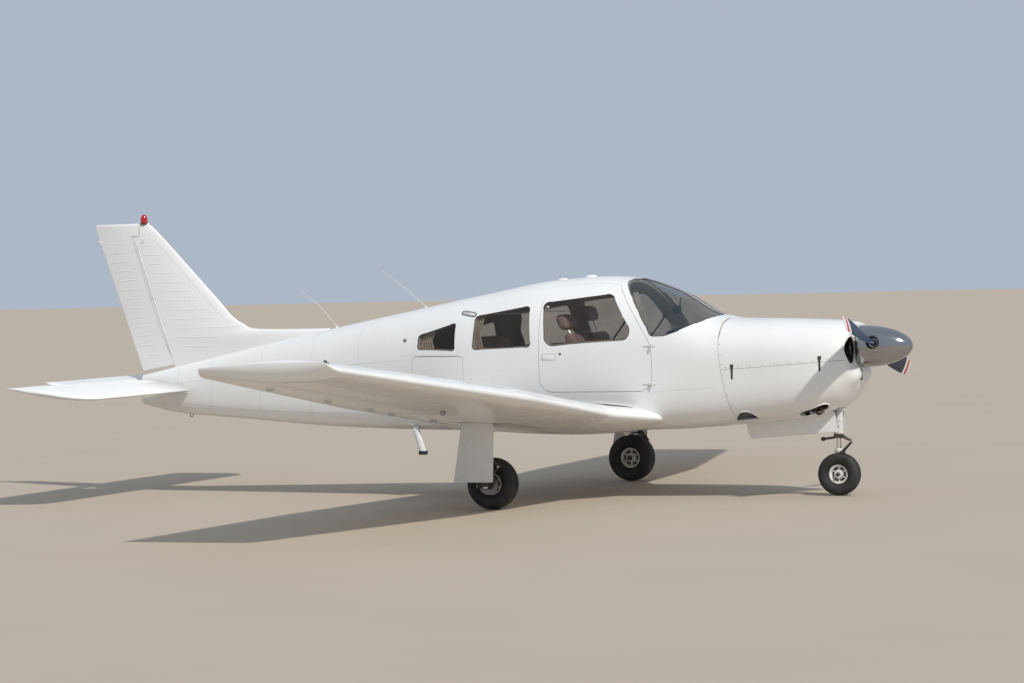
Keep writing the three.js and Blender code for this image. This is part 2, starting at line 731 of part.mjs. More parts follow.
function addWings() {
  const up = new THREE.Vector3(0, 0, 1);
  const frame = new THREE.Matrix4().makeRotationX(DIHEDRAL).setPosition(0, 0, WING_BASE_Z);
  const intoWing = frame.clone().invert();
  const body = fuselage(REAR_BULKHEAD, FIREWALL, -SEAT_GAP, CABIN_STEPS, CABIN_POINTS);
  const cutter = solid(geometryOf(body), intoWing);
  const wing = solid(
    loft(
      WING.map(([span, lead, trail, share]) =>
        foilRing(
          new THREE.Vector3(lead, span, 0),
          new THREE.Vector3(trail, span, -(lead - trail) * Math.tan(INCIDENCE)),
          share * (lead - trail),
          WING_CAMBER,
          up,
        ),
      ),
    ),
  );
  const flap = splitAtHinge(wing, surfaceLine(FLAP.from, FLAP.to, FLAP.share));
  const aileron = splitAtHinge(flap.fixed, surfaceLine(AILERON.from, AILERON.to, AILERON.share));
  const well = block(
    [WHEEL_WELL.rear, WHEEL_WELL.inner, -400],
    [WHEEL_WELL.front, WHEEL_WELL.outer, WHEEL_WELL.ceiling],
  );
  const fixed = without(aileron.fixed, cutter, well);
  for (const [side, way] of SIDES) {
    const mirror = new THREE.Group();
    mirror.scale.y = way;
    airframe.add(mirror);
    const tilt = new THREE.Group();
    tilt.rotation.x = DIHEDRAL;
    tilt.position.z = WING_BASE_Z;
    mirror.add(tilt);
    addPiece("wing_" + side, fixed, white, tilt);
    addPiece("flap_" + side, flap.moving, white, tilt);
    addPiece("aileron_" + side, aileron.moving, white, tilt);
  }
}

// Engine cowl in two halves, the engine as one block, spinner and propeller
const ENGINE_BOTTOM = 870;
const COWL_SPLIT = [[FIREWALL - 50, 1052], [COWL_FRONT + 200, 1130]];

const behindFirewall = () => block([0, -1000, 0], [FIREWALL + SEAT_GAP, 1000, 2500]);

function addNose() {
  const rear = FIREWALL + SEAT_GAP;
  const outer = fuselage(rear, COWL_FRONT, 0, COWL_STEPS, CABIN_POINTS);
  const inner = fuselage(rear - 1, COWL_FRONT - COWL_WALL, COWL_WALL, COWL_STEPS, CABIN_POINTS);
  const shaftHole = bar(
    [COWL_FRONT - 200, 0, PROPELLER.z],
    [COWL_FRONT + 50, 0, PROPELLER.z],
    95,
    95,
    24,
  );
  const intakes = SIDES.map(([, way]) =>
    solid(
      new THREE.CylinderGeometry(1, 1, 200, 24),
      placed(COWL_FRONT, way * 238, 1232)
        .multiply(new THREE.Matrix4().makeRotationZ(Math.PI / 2))
        .scale(new THREE.Vector3(92, 1, 72)),
    ),
  );
  const exhaust = solid(
    new THREE.CylinderGeometry(1, 1, 300, 20),
    placed(2350, -330, 700)
      .multiply(new THREE.Matrix4().makeRotationX(0.6))
      .scale(new THREE.Vector3(110, 1, 34)),
  );
  const outlets = SIDES.map(([, way]) =>
    bar([1800, way * 330, 600], [1800, way * 430, 720], 60, 60, 16),
  );
  const noseWell = block([FIREWALL - 10, -118, 300], [2500, 118, 800]);
  const shell = without(outer, inner, shaftHole, ...intakes, exhaust, ...outlets, noseWell);
  const splitShape = (shift, far) =>
    outline([
      [COWL_SPLIT[0][0], COWL_SPLIT[0][1] + shift],
      [COWL_SPLIT[1][0], COWL_SPLIT[1][1] + shift],
      [COWL_SPLIT[1][0], far],
      [COWL_SPLIT[0][0], far],
    ]);
  const upperHalf = sidePrism(splitShape(SEAT_GAP / 2, 3000), -900, 900);
  const lowerHalf = sidePrism(splitShape(-SEAT_GAP / 2, 0), -900, 900);
  addPiece("cowl_upper", shell.intersect(upperHalf), white);
  addPiece("cowl_lower", shell.intersect(lowerHalf), white);

  const mounts = [];
  for (const [, way] of SIDES) {
    for (const z of [900, 1220]) {
      mounts.push(bar([FIREWALL - 20, way * 300, z], [1750, way * 270, z], 16, 16, 8));
    }
  }
  const shaft = bar([2370, 0, PROPELLER.z], [SPINNER.back - SEAT_GAP, 0, PROPELLER.z], 55, 55, 16);
  const crankcase = block([1720, -390, ENGINE_BOTTOM], [2380, 390, 1285]);
  const engine = joined(crankcase, shaft, ...mounts).subtract(behindFirewall());
  addPiece("engine_block", engine, darkMetal);
}

function addPropeller() {
  const turn = new THREE.Group();
  turn.position.set(0, 0, PROPELLER.z);
  turn.rotation.x = -PROPELLER.rest;
  airframe.add(turn);
  const length = SPINNER.tip - SPINNER.back;
  const ogive = (radius, reach) => {
    const profile = [[0, 0]];
    const steps = 6;
    for (let i = 0; i <= steps; i++) {
      const t = Math.sin((Math.PI / 2) * (i / steps));
      profile.push([radius * Math.sqrt(1 - t ** 2.1) * (i === steps ? 0 : 1), reach * t]);
    }
    return turned(profile, 20, "x");
  };
  const moveTo = (made, x) => solid(geometryOf(made), placed(x, 0, 0));
  const shell = without(
    moveTo(ogive(SPINNER.radius, length), SPINNER.back),
    moveTo(ogive(SPINNER.radius - SPINNER.wall, length - 14), SPINNER.back + SPINNER.wall),
    bar([SPINNER.back - 5, 0, 0], [SPINNER.back + 20, 0, 0], 54 + SEAT_GAP, undefined, 16),
    bar([PROPELLER.x, -250, 0], [PROPELLER.x, 250, 0], 46, 46, 20),
  );
  addPiece("spinner", shell, bareMetal, turn);

  // Blade from the hub out: radius, chord, thickness, pitch in degrees
  const BLADE = [
    [52, 62, 58, 60],
    [150, 66, 56, 55],
    [215, 98, 34, 46],
    [330, 138, 22, 37],
    [520, 152, 15, 27],
    [720, 146, 11, 21],
    [880, 128, 8, 17],
    [940, 104, 6, 16],
    [PROPELLER.radius, 60, 4, 15],
  ];
  const blade = (way) =>
    solid(
      loft(
        BLADE.map(([radius, chord, thickness, pitch]) => {
          const angle = THREE.MathUtils.degToRad(pitch);
          // the edge that leads as the right-hand blade goes down
          const lead = new THREE.Vector3(Math.sin(angle), 0, way * Math.cos(angle));
          const centre = new THREE.Vector3(PROPELLER.x, way * radius, 0);
          const normal = new THREE.Vector3(Math.cos(angle), 0, -way * Math.sin(angle));
          return foilRing(
            centre.clone().addScaledVector(lead, chord * 0.42),
            centre.clone().addScaledVector(lead, -chord * 0.58),
            thickness,
            0.02,
            normal,
            5,
          );
        }),
      ),
    );
  const hub = bar([SPINNER.back + SPINNER.wall + SEAT_GAP, 0, 0], [2820, 0, 0], 58, 52, 16);
  const boss = bar([SPINNER.back + SEAT_GAP, 0, 0], [SPINNER.back + 60, 0, 0], 54, 54, 16);
  const shanks = bar([PROPELLER.x, -150, 0], [PROPELLER.x, 150, 0], 36, 36, 16);
  addPiece("propeller", joined(hub, boss, shanks, blade(1), blade(-1)), darkMetal, turn);
}

// Landing gear
function wheel(name, axle, tyre, parent) {
  const group = new THREE.Group();
  group.position.set(axle.x, axle.y, axle.z);
  parent.add(group);
  const half = tyre.width / 2;
  const bead = tyre.rim;
  const crown = tyre.radius;
  const belly = bead + (crown - bead) * 0.5;
  const rubberRing = [
    [bead, -half * 0.6],
    [belly, -half],
    [crown - 14, -half * 0.8],
    [crown, -half * 0.36],
    [crown, half * 0.36],
    [crown - 14, half * 0.8],
    [belly, half],
    [bead, half * 0.6],
    [bead, -half * 0.6],
  ];
  const seat = bead - SEAT_GAP;
  const disc = half * 0.2;
  const rimRing = [
    [tyre.bore, -half * 0.7],
    [tyre.bore + 16, -half * 0.7],
    [tyre.bore + 18, -disc],
    [seat - 16, -disc],
    [seat - 12, -half * 0.6],
    [seat, -half * 0.6],
    [seat, half * 0.6],
    [seat - 12, half * 0.6],
    [seat - 16, disc],
    [tyre.bore + 18, disc],
    [tyre.bore + 16, half * 0.7],
    [tyre.bore, half * 0.7],
    [tyre.bore, -half * 0.7],
  ];
  const holes = [];
  const holeCentre = (tyre.bore + 18 + seat - 16) / 2;
  for (let i = 0; i < 6; i++) {
    const angle = (Math.PI * i) / 3;
    const x = Math.cos(angle) * holeCentre;
    const z = Math.sin(angle) * holeCentre;
    holes.push(bar([x, -80, z], [x, 80, z], (seat - tyre.bore - 34) * 0.36, undefined, 8));
  }
  addPiece(name + "_tyre", turned(rubberRing, 24), rubber, group);
  addPiece(name + "_rim", without(turned(rimRing, 24), ...holes), bareMetal, group);
}

const MAIN_TYRE = { radius: MAIN_AXLE.z, width: 152, rim: 90, bore: 20 };
const NOSE_TYRE = { radius: NOSE_AXLE.z, width: 122, rim: 72, bore: 16 };
const LEG = { x: -6, y: 1742, radius: 34, trunnionZ: 790 };

function addMainGear() {
  for (const [side, way] of SIDES) {
    const mirror = new THREE.Group();
    mirror.scale.y = way;
    airframe.add(mirror);
    const top = [LEG.x, LEG.y, LEG.trunnionZ];
    const trunnion = bar(
      [WHEEL_WELL.rear + SEAT_GAP, LEG.y, LEG.trunnionZ],
      [WHEEL_WELL.front - SEAT_GAP, LEG.y, LEG.trunnionZ],
      24,
      24,
      12,
    );
    const housing = bar(top, [LEG.x, LEG.y, 420], LEG.radius, LEG.radius, 16);
    const piston = bar([LEG.x, LEG.y, 430], [LEG.x, LEG.y, MAIN_AXLE.z - 30], 22, 22, 12);
    const boot = bar([LEG.x, LEG.y, MAIN_AXLE.z + 45], [LEG.x, LEG.y, MAIN_AXLE.z - 42], 33, 33, 12);
    const axle = bar(
      [0, LEG.y, MAIN_AXLE.z],
      [0, MAIN_AXLE.y - 66, MAIN_AXLE.z],
      MAIN_TYRE.bore - SEAT_GAP * 2,
      undefined,
      16,
    );
    const knee = [115, LEG.y - 6, 350];
    const links = [
      bar([LEG.x + 20, LEG.y - 6, 450], knee, 12, 9, 8),
      bar(knee, [LEG.x + 20, LEG.y - 6, MAIN_AXLE.z + 20], 9, 12, 8),
    ];
    const caliper = block([-100, MAIN_AXLE.y + 92, MAIN_AXLE.z - 20], [-10, LEG.y, MAIN_AXLE.z + 30]);
    addPiece(
      "main_leg_" + side,
      joined(trunnion, housing, piston, boot, axle, ...links, caliper),
      white,
      mirror,
    );
    wheel("main_" + side, { x: 0, y: MAIN_AXLE.y, z: MAIN_AXLE.z }, MAIN_TYRE, mirror);
    const doorOutline = outline(
      [[-262, 225], [-180, 700], [95, 700], [76, 225]],
      12,
    );
    const plate = sidePrism(doorOutline, LEG.y + LEG.radius + SEAT_GAP, LEG.y + LEG.radius + 14);
    addPiece("gear_door_" + side, plate, white, mirror);
  }
}

const NOSE_DOOR = [[1612, 466], [1612, 640], [2000, 690], [2406, 760], [2434, 525]];

function addNoseGear() {
  const lower = 500;
  const top = ENGINE_BOTTOM - SEAT_GAP;
  const housing = bar([NOSE_AXLE.x, 0, top], [NOSE_AXLE.x, 0, lower], 40, 40, 16);
  const brace = SIDES.map(([, way]) =>
    bar([NOSE_AXLE.x - 20, way * 20, 620], [FIREWALL - 20, way * 80, 700], 14, 14, 8),
  );
  addPiece("nose_leg", joined(housing, ...brace).subtract(behindFirewall()), white);
  const side = NOSE_TYRE.width / 2 + 14;
  const crownZ = NOSE_AXLE.z + NOSE_TYRE.radius + 18;
  const piston = bar([NOSE_AXLE.x, 0, lower - SEAT_GAP], [NOSE_AXLE.x, 0, crownZ], 22, 22, 14);
  const collar = bar([NOSE_AXLE.x, 0, lower - SEAT_GAP], [NOSE_AXLE.x, 0, lower - 28], 44, 44, 16);
  const crown = block(
    [NOSE_AXLE.x - 28, -30, crownZ - 8],
    [NOSE_AXLE.x + 28, side + 14, crownZ + 26],
  );
  const arm = block(
    [NOSE_AXLE.x - 24, side, NOSE_AXLE.z - 26],
    [NOSE_AXLE.x + 24, side + 14, crownZ + 10],
  );
  const axle = bar(
    [NOSE_AXLE.x, side + 14, NOSE_AXLE.z],
    [NOSE_AXLE.x, -NOSE_TYRE.width * 0.36, NOSE_AXLE.z],
    NOSE_TYRE.bore - SEAT_GAP * 2,
    undefined,
    16,
  );
  const knee = [NOSE_AXLE.x + 116, 0, 443];
  const links = [
    bar([NOSE_AXLE.x + 30, 0, lower - 14], knee, 12, 9, 8),
    bar(knee, [NOSE_AXLE.x + 10, 0, crownZ + 8], 9, 12, 8),
  ];
  const steer = bar([NOSE_AXLE.x - 20, 0, lower - 16], [NOSE_AXLE.x - 134, 0, 462], 13, 10, 8);
  addPiece(
    "nose_fork",
    joined(piston, collar, crown, arm, axle, ...links, steer),
    bareMetal,
  );
  wheel("nose", { x: NOSE_AXLE.x, y: 0, z: NOSE_AXLE.z }, NOSE_TYRE, airframe);
  for (const [name, way] of SIDES) {
    const inner = 122;
    const span = way > 0 ? [inner, inner + 10] : [-inner - 10, -inner];
    const body = fuselage(FIREWALL + SEAT_GAP, COWL_FRONT, -SEAT_GAP, COWL_STEPS, CABIN_POINTS);
    const panel = sidePrism(outline(NOSE_DOOR, 10), ...span).subtract(body);
    addPiece("nose_door_" + name, panel, white);
  }
}

// Cabin fittings
function addInterior() {
  const inside = fuselage(REAR_BULKHEAD, FIREWALL, WALL + SEAT_GAP, CABIN_STEPS, CABIN_POINTS);
  const board = inside.intersect(block([1150, -1000, 1030], [1190, 1000, 1372]));
  const shield = inside.intersect(block([1100, -1000, 1372], [1190, 1000, 1392]));
  const yokes = SIDES.map(([, way]) =>
    bar([1160, way * 265, 1190], [985, way * 265, 1190], 12, 12, 10).add(
      block([975, way * 265 - 130, 1175], [1000, way * 265 + 130, 1205]),
    ),
  );
  addPiece("instrument_panel", joined(board, shield, ...yokes), paint(0x26272a, 0.7));

  const frontSeat = [
    [250, FLOOR_TOP + SEAT_GAP], [700, FLOOR_TOP + SEAT_GAP], [700, 880], [742, 900], [742, 985],
    [372, 968], [262, 1385], [150, 1385], [238, 900], [250, 880],
  ];
  const rearSeat = [
    [-640, FLOOR_TOP + SEAT_GAP], [-190, FLOOR_TOP + SEAT_GAP], [-190, 860], [-160, 880],
    [-160, 962], [-520, 945], [-640, 1370], [-750, 1370], [-660, 880], [-640, 860],
  ];
  for (const [side, way] of SIDES) {
    const span = way > 0 ? [55, 445] : [-445, -55];
    const rest = way > 0 ? [145, 385] : [-385, -145];
    const head = sidePrism(outline([[215, 1380], [130, 1380], [88, 1560], [178, 1560]], 20), ...rest);
    const seat = sidePrism(outline(frontSeat, 22), ...span).add(head);
    addPiece("seat_front_" + side, seat, vinyl);
  }
  addPiece("seat_rear", sidePrism(outline(rearSeat, 22), -410, 410), paint(0xb9824a, 0.7));
  const clear = fuselage(REAR_BULKHEAD, FIREWALL, -SEAT_GAP, CABIN_STEPS, CABIN_POINTS);
  const tube = bar([-1240, -350, 640], [-1162, -350, 367], 17, 17, 12);
  const tread = block([-1192, -410, 355], [-1132, -290, 380]);
  addPiece("boarding_step", joined(tube, tread).subtract(clear), white);
}

addCabin();
addBulkheads();
addTail();
addStabilator();
addWings();
addNose();
addPropeller();
addMainGear();
addNoseGear();
addInterior();

export default aircraft;
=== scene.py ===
import json
import math
import bpy
import numpy as np
from mathutils import Matrix, Vector
from mathutils.bvhtree import BVHTree

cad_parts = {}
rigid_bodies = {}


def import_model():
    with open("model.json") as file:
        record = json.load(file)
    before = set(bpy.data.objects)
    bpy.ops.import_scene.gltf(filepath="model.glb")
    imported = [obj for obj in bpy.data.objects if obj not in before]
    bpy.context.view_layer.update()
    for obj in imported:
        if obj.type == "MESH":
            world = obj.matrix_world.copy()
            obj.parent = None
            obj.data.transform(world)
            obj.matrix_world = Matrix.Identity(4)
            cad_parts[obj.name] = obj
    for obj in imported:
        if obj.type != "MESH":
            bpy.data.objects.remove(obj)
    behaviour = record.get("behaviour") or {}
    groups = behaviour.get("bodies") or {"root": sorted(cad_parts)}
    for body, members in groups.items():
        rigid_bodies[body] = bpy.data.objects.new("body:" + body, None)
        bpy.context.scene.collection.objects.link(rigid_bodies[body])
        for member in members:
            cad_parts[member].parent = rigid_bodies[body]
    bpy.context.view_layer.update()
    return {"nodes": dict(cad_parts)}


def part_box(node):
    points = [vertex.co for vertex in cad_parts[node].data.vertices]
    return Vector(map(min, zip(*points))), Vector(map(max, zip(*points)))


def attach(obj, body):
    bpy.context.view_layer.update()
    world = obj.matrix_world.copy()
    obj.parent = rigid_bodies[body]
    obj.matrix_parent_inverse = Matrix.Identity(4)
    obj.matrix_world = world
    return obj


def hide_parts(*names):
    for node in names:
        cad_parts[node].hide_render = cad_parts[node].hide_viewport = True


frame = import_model()
nodes = frame["nodes"]
print("frame loaded:", len(nodes), "nodes")

# Everything below is in millimetres ahead of the main axle, left of the middle and above the ground.
# placeMesh turns that into the frame's metres.
axleLow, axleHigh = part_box("main_right_rim")
axleX = (axleLow.x + axleHigh.x) / 2
scene = bpy.context.scene


# meshes from points
def placeMesh(name, points, faces, material=None, edges=()):
    mesh = bpy.data.meshes.new(name)
    spots = np.asarray(points, float).reshape(-1, 3) / 1000 + [axleX, 0, 0]
    mesh.from_pydata(spots.tolist(), list(edges), [list(f) for f in faces])
    mesh.update()
    piece = bpy.data.objects.new(name, mesh)
    scene.collection.objects.link(piece)
    if material:
        mesh.materials.append(material)
    return piece


def turnOutward(piece):
    # a closed mesh whose volume counts negative is inside out
    mesh = piece.data
    mesh.calc_loop_triangles()
    spots = np.empty(len(mesh.vertices) * 3)
    mesh.vertices.foreach_get("co", spots)
    spots = spots.reshape(-1, 3)
    corners = np.empty(len(mesh.loop_triangles) * 3, int)
    mesh.loop_triangles.foreach_get("vertices", corners)
    a, b, c = (spots[corners.reshape(-1, 3)[:, i]] - spots.mean(0) for i in range(3))
    if np.einsum("ij,ij->i", a, np.cross(b, c)).sum() < 0:
        mesh.flip_normals()
    return piece


def freeze(piece):
    # the modifiers' result becomes the plain mesh
    graph = bpy.context.evaluated_depsgraph_get()
    mesh = bpy.data.meshes.new_from_object(piece.evaluated_get(graph))
    piece.modifiers.clear()
    old = piece.data
    piece.data = mesh
    mesh.name = piece.name
    if old.users == 0:
        bpy.data.meshes.remove(old)
    return piece


def discard(*pieces):
    for piece in pieces:
        mesh = piece.data
        bpy.data.objects.remove(piece)
        if mesh.users == 0:
            bpy.data.meshes.remove(mesh)


def copyOf(piece, name):
    twin = bpy.data.objects.new(name, piece.data.copy())
    scene.collection.objects.link(twin)
    return twin


def carve(piece, how, *cutters):
    for cutter in cutters:
        cut = piece.modifiers.new("carve", "BOOLEAN")
        cut.operation = how
        cut.solver = "MANIFOLD"
        cut.object = cutter
        freeze(piece)
    return piece


def loftFaces(rows, count, capped=True, round=True):
    faces = []
    span = count if round else count - 1
    for i in range(rows - 1):
        for j in range(span):
            k = (j + 1) % count
            faces.append((i * count + j, i * count + k, (i + 1) * count + k, (i + 1) * count + j))
    if capped:
        faces.append(tuple(range(count))[::-1])
        faces.append(tuple((rows - 1) * count + j for j in range(count)))
    return faces


def loft(name, rings, material=None, capped=True, round=True):
    rings = np.asarray(rings, float)
    piece = placeMesh(
        name, rings.reshape(-1, 3), loftFaces(len(rings), rings.shape[1], capped, round), material
    )
    return turnOutward(piece) if capped else piece


def sideBlock(name, way, low, high, material=None):
    # a block on one side, from its corners on the left side
    near, far = sorted((way * low[1], way * high[1]))
    return blockOf(name, (low[0], near, low[2]), (high[0], far, high[2]), material)


def blockOf(name, low, high, material=None):
    points = [(x, y, z) for x in (low[0], high[0]) for y in (low[1], high[1]) for z in (low[2], high[2])]
    faces = [(0, 1, 3, 2), (4, 6, 7, 5), (0, 4, 5, 1), (2, 3, 7, 6), (0, 2, 6, 4), (1, 5, 7, 3)]
    return turnOutward(placeMesh(name, points, faces, material))


def frameAlong(way):
    way = np.asarray(way, float)
    way = way / np.linalg.norm(way)
    side = np.cross(way, (0, 0, 1) if abs(way[2]) < 0.9 else (1, 0, 0))
    side /= np.linalg.norm(side)
    return way, side, np.cross(way, side)


def turned(name, start, way, profile, material=None, sides=32):
    # profile rows are distance along the way and radius; a closed profile makes a ring
    way, side, up = frameAlong(way)
    start = np.asarray(start, float)
    rings = []
    for along, radius in profile:
        angles = np.arange(sides) * 2 * math.pi / sides
        rings.append(
            start
            + way * along
            + radius * (np.cos(angles)[:, None] * side + np.sin(angles)[:, None] * up)
        )
    closed = tuple(profile[0]) == tuple(profile[-1])
    if not closed:
        return loft(name, rings, material)
    rings = np.array(rings[:-1])
    count = len(rings)
    faces = []
    for i in range(count):
        for j in range(sides):
            k, m = (j + 1) % sides, (i + 1) % count
            faces.append((i * sides + j, i * sides + k, m * sides + k, m * sides + j))
    return turnOutward(placeMesh(name, rings.reshape(-1, 3), faces, material))


def rod(name, start, end, radius, material=None, endRadius=None, sides=16, edge=1.5):
    start, end = np.asarray(start, float), np.asarray(end, float)
    length = np.linalg.norm(end - start)
    last = radius if endRadius is None else endRadius
    edge = min(edge, radius * 0.4, last * 0.4, length * 0.3)
    profile = [(0, radius - edge), (edge, radius), (length - edge, last), (length, last - edge)]
    return turned(name, start, end - start, profile, material, sides)


def joinPieces(name, pieces):
    pieces = [p for p in pieces if p]
    first = pieces[0]
    with bpy.context.temp_override(
        active_object=first, object=first, selected_objects=pieces, selected_editable_objects=pieces
    ):
        if len(pieces) > 1:
            bpy.ops.object.join()
    first.name = name
    first.data.name = name
    return first


def fullTurn(count):
    return np.linspace(0, 2 * math.pi, count)


def shadeByAngle(piece, degrees=35):
    mesh = piece.data
    mesh.polygons.foreach_set("use_smooth", [True] * len(mesh.polygons))
    mesh.set_sharp_from_angle(angle=math.radians(degrees))
    return piece


def addShaded(parts, shape, *values, degrees=35, **named):
    parts.append(shadeByAngle(shape(*values, **named), degrees))


def dress(piece, bodyName, slot, *replaced):
    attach(piece, bodyName)
    if replaced:
        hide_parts(*replaced)
    return piece


def roundEdges(piece, width, segments=2, angle=35):
    bevel = piece.modifiers.new("edges", "BEVEL")
    bevel.width = width / 1000
    bevel.segments = segments
    bevel.limit_method = "ANGLE"
    bevel.angle_limit = math.radians(angle)
    freeze(piece)
    return piece


class smoothSkin:
    # a fine smooth form whose normals shade whatever is cut from it
    def __init__(self, pieces):
        spots, faces, normals = [], [], []
        base = 0
        for piece in pieces:
            mesh = piece.data
            mesh.calc_loop_triangles()
            co = np.empty(len(mesh.vertices) * 3)
            mesh.vertices.foreach_get("co", co)
            no = np.empty(len(mesh.vertices) * 3)
            mesh.vertex_normals.foreach_get("vector", no)
            tri = np.empty(len(mesh.loop_triangles) * 3, int)
            mesh.loop_triangles.foreach_get("vertices", tri)
            spots.append(co.reshape(-1, 3))
            normals.append(no.reshape(-1, 3))
            faces.append(tri.reshape(-1, 3) + base)
            base += len(mesh.vertices)
        self.spots = np.vstack(spots)
        self.normals = np.vstack(normals)
        self.faces = np.vstack(faces)
        self.tree = BVHTree.FromPolygons(self.spots.tolist(), self.faces.tolist())

    def normalsAt(self, points, reach):
        found = np.zeros((len(points), 3))
        index = np.full(len(points), -1)
        where = np.zeros((len(points), 3))
        nearest = self.tree.find_nearest
        for i, point in enumerate(points.tolist()):
            spot, _, face, _ = nearest(point, reach)
            if face is not None:
                index[i] = face
                where[i] = spot
        hit = np.nonzero(index >= 0)[0]
        a, b, c = (self.spots[self.faces[index[hit], k]] for k in range(3))
        v0, v1, v2 = b - a, c - a, where[hit] - a
        d00, d01, d11 = (v0 * v0).sum(1), (v0 * v1).sum(1), (v1 * v1).sum(1)
        d20, d21 = (v2 * v0).sum(1), (v2 * v1).sum(1)
        scale = np.maximum(d00 * d11 - d01 * d01, 1e-20)
        v = (d11 * d20 - d01 * d21) / scale
        w = (d00 * d21 - d01 * d20) / scale
        corner = [self.normals[self.faces[index[hit], k]] for k in range(3)]
        mixed = corner[0] * (1 - v - w)[:, None] + corner[1] * v[:, None] + corner[2] * w[:, None]
        found[hit] = mixed / np.maximum(np.linalg.norm(mixed, axis=1), 1e-9)[:, None]
        return found, index >= 0


def polish(piece, skin, reach=0.0006, agree=0.8):
    # faces on the smooth form take its normals, cut edges stay flat
    mesh = piece.data
    co = np.empty(len(mesh.vertices) * 3)
    mesh.vertices.foreach_get("co", co)
    smooth, hit = skin.normalsAt(co.reshape(-1, 3), reach)
    loopVertex = np.empty(len(mesh.loops), int)
    mesh.loops.foreach_get("vertex_index", loopVertex)
    faceNormal = np.empty(len(mesh.polygons) * 3)
    mesh.polygons.foreach_get("normal", faceNormal)
    faceNormal = faceNormal.reshape(-1, 3)
    totals = np.empty(len(mesh.polygons), int)
    mesh.polygons.foreach_get("loop_total", totals)
    loopFace = np.repeat(np.arange(len(mesh.polygons)), totals)
    flat = faceNormal[loopFace]
    lifted = smooth[loopVertex]
    match = hit[loopVertex] & ((flat * lifted).sum(1) > agree)
    result = np.where(match[:, None], lifted, flat)
    mesh.polygons.foreach_set("use_smooth", [True] * len(mesh.polygons))
    mesh.normals_split_custom_set(result.tolist())
    return piece


# outlines seen from the side
def roundedOutline(points, radius=0, grow=0, steps=8):
    loop = [np.array(p, float) for p in points]
    area = sum(
        a[0] * b[1] - b[0] * a[1] for a, b in zip(loop, loop[1:] + loop[:1])
    )
    if area < 0:
        loop = loop[::-1]
    count = len(loop)
    moved = []
    for i, p in enumerate(loop):
        before = p - loop[i - 1]
        after = loop[(i + 1) % count] - p
        before /= np.linalg.norm(before)
        after /= np.linalg.norm(after)
        spread = np.array([before[1], -before[0]]) + np.array([after[1], -after[0]])
        moved.append(p + spread * (2 * grow / (spread @ spread)))
    shape = []
    for i, p in enumerate(moved):
        before = moved[i - 1] - p
        after = moved[(i + 1) % count] - p
        reach = min(radius + grow, np.linalg.norm(before) / 2.1, np.linalg.norm(after) / 2.1)
        if reach <= 0:
            shape.append(p)
            continue
        start = p + before / np.linalg.norm(before) * reach
        end = p + after / np.linalg.norm(after) * reach
        for t in np.linspace(0, 1, steps + 1):
            shape.append((1 - t) ** 2 * start + 2 * t * (1 - t) * p + t * t * end)
    return np.array(shape)


def sidePrism(name, shape, low, high, material=None):
    rings = [[(x, y, z) for x, z in shape] for y in (low, high)]
    return loft(name, rings, material)


def smoothColumns(table):
    # a monotone cubic through every column of a table, as the solids have it
    rows = np.array(sorted(table), float)
    xs = rows[:, 0]
    steps = np.diff(xs)
    slopes = np.diff(rows[:, 1:], axis=0) / steps[:, None]
    tangents = np.zeros_like(rows[:, 1:])
    tangents[0], tangents[-1] = slopes[0], slopes[-1]
    for i in range(1, len(xs) - 1):
        left, right = steps[i - 1], steps[i]
        a, b = 2 * right + left, right + 2 * left
        for k in range(slopes.shape[1]):
            if slopes[i - 1, k] * slopes[i, k] > 0:
                tangents[i, k] = (a + b) / (a / slopes[i - 1, k] + b / slopes[i, k])

    def valueAt(x):
        x = np.atleast_1d(np.asarray(x, float))
        i = np.clip(np.searchsorted(xs, x, side="left") - 1, 0, len(xs) - 2)
        step = steps[i]
        t = ((x - xs[i]) / step)[:, None]
        rise = rows[i + 1, 1:] - rows[i, 1:]
        start = tangents[i] * step[:, None]
        end = tangents[i + 1] * step[:, None]
        return rows[i, 1:] + t * (start + t * ((3 * rise - 2 * start - end) + t * (start + end - 2 * rise)))

    return valueAt


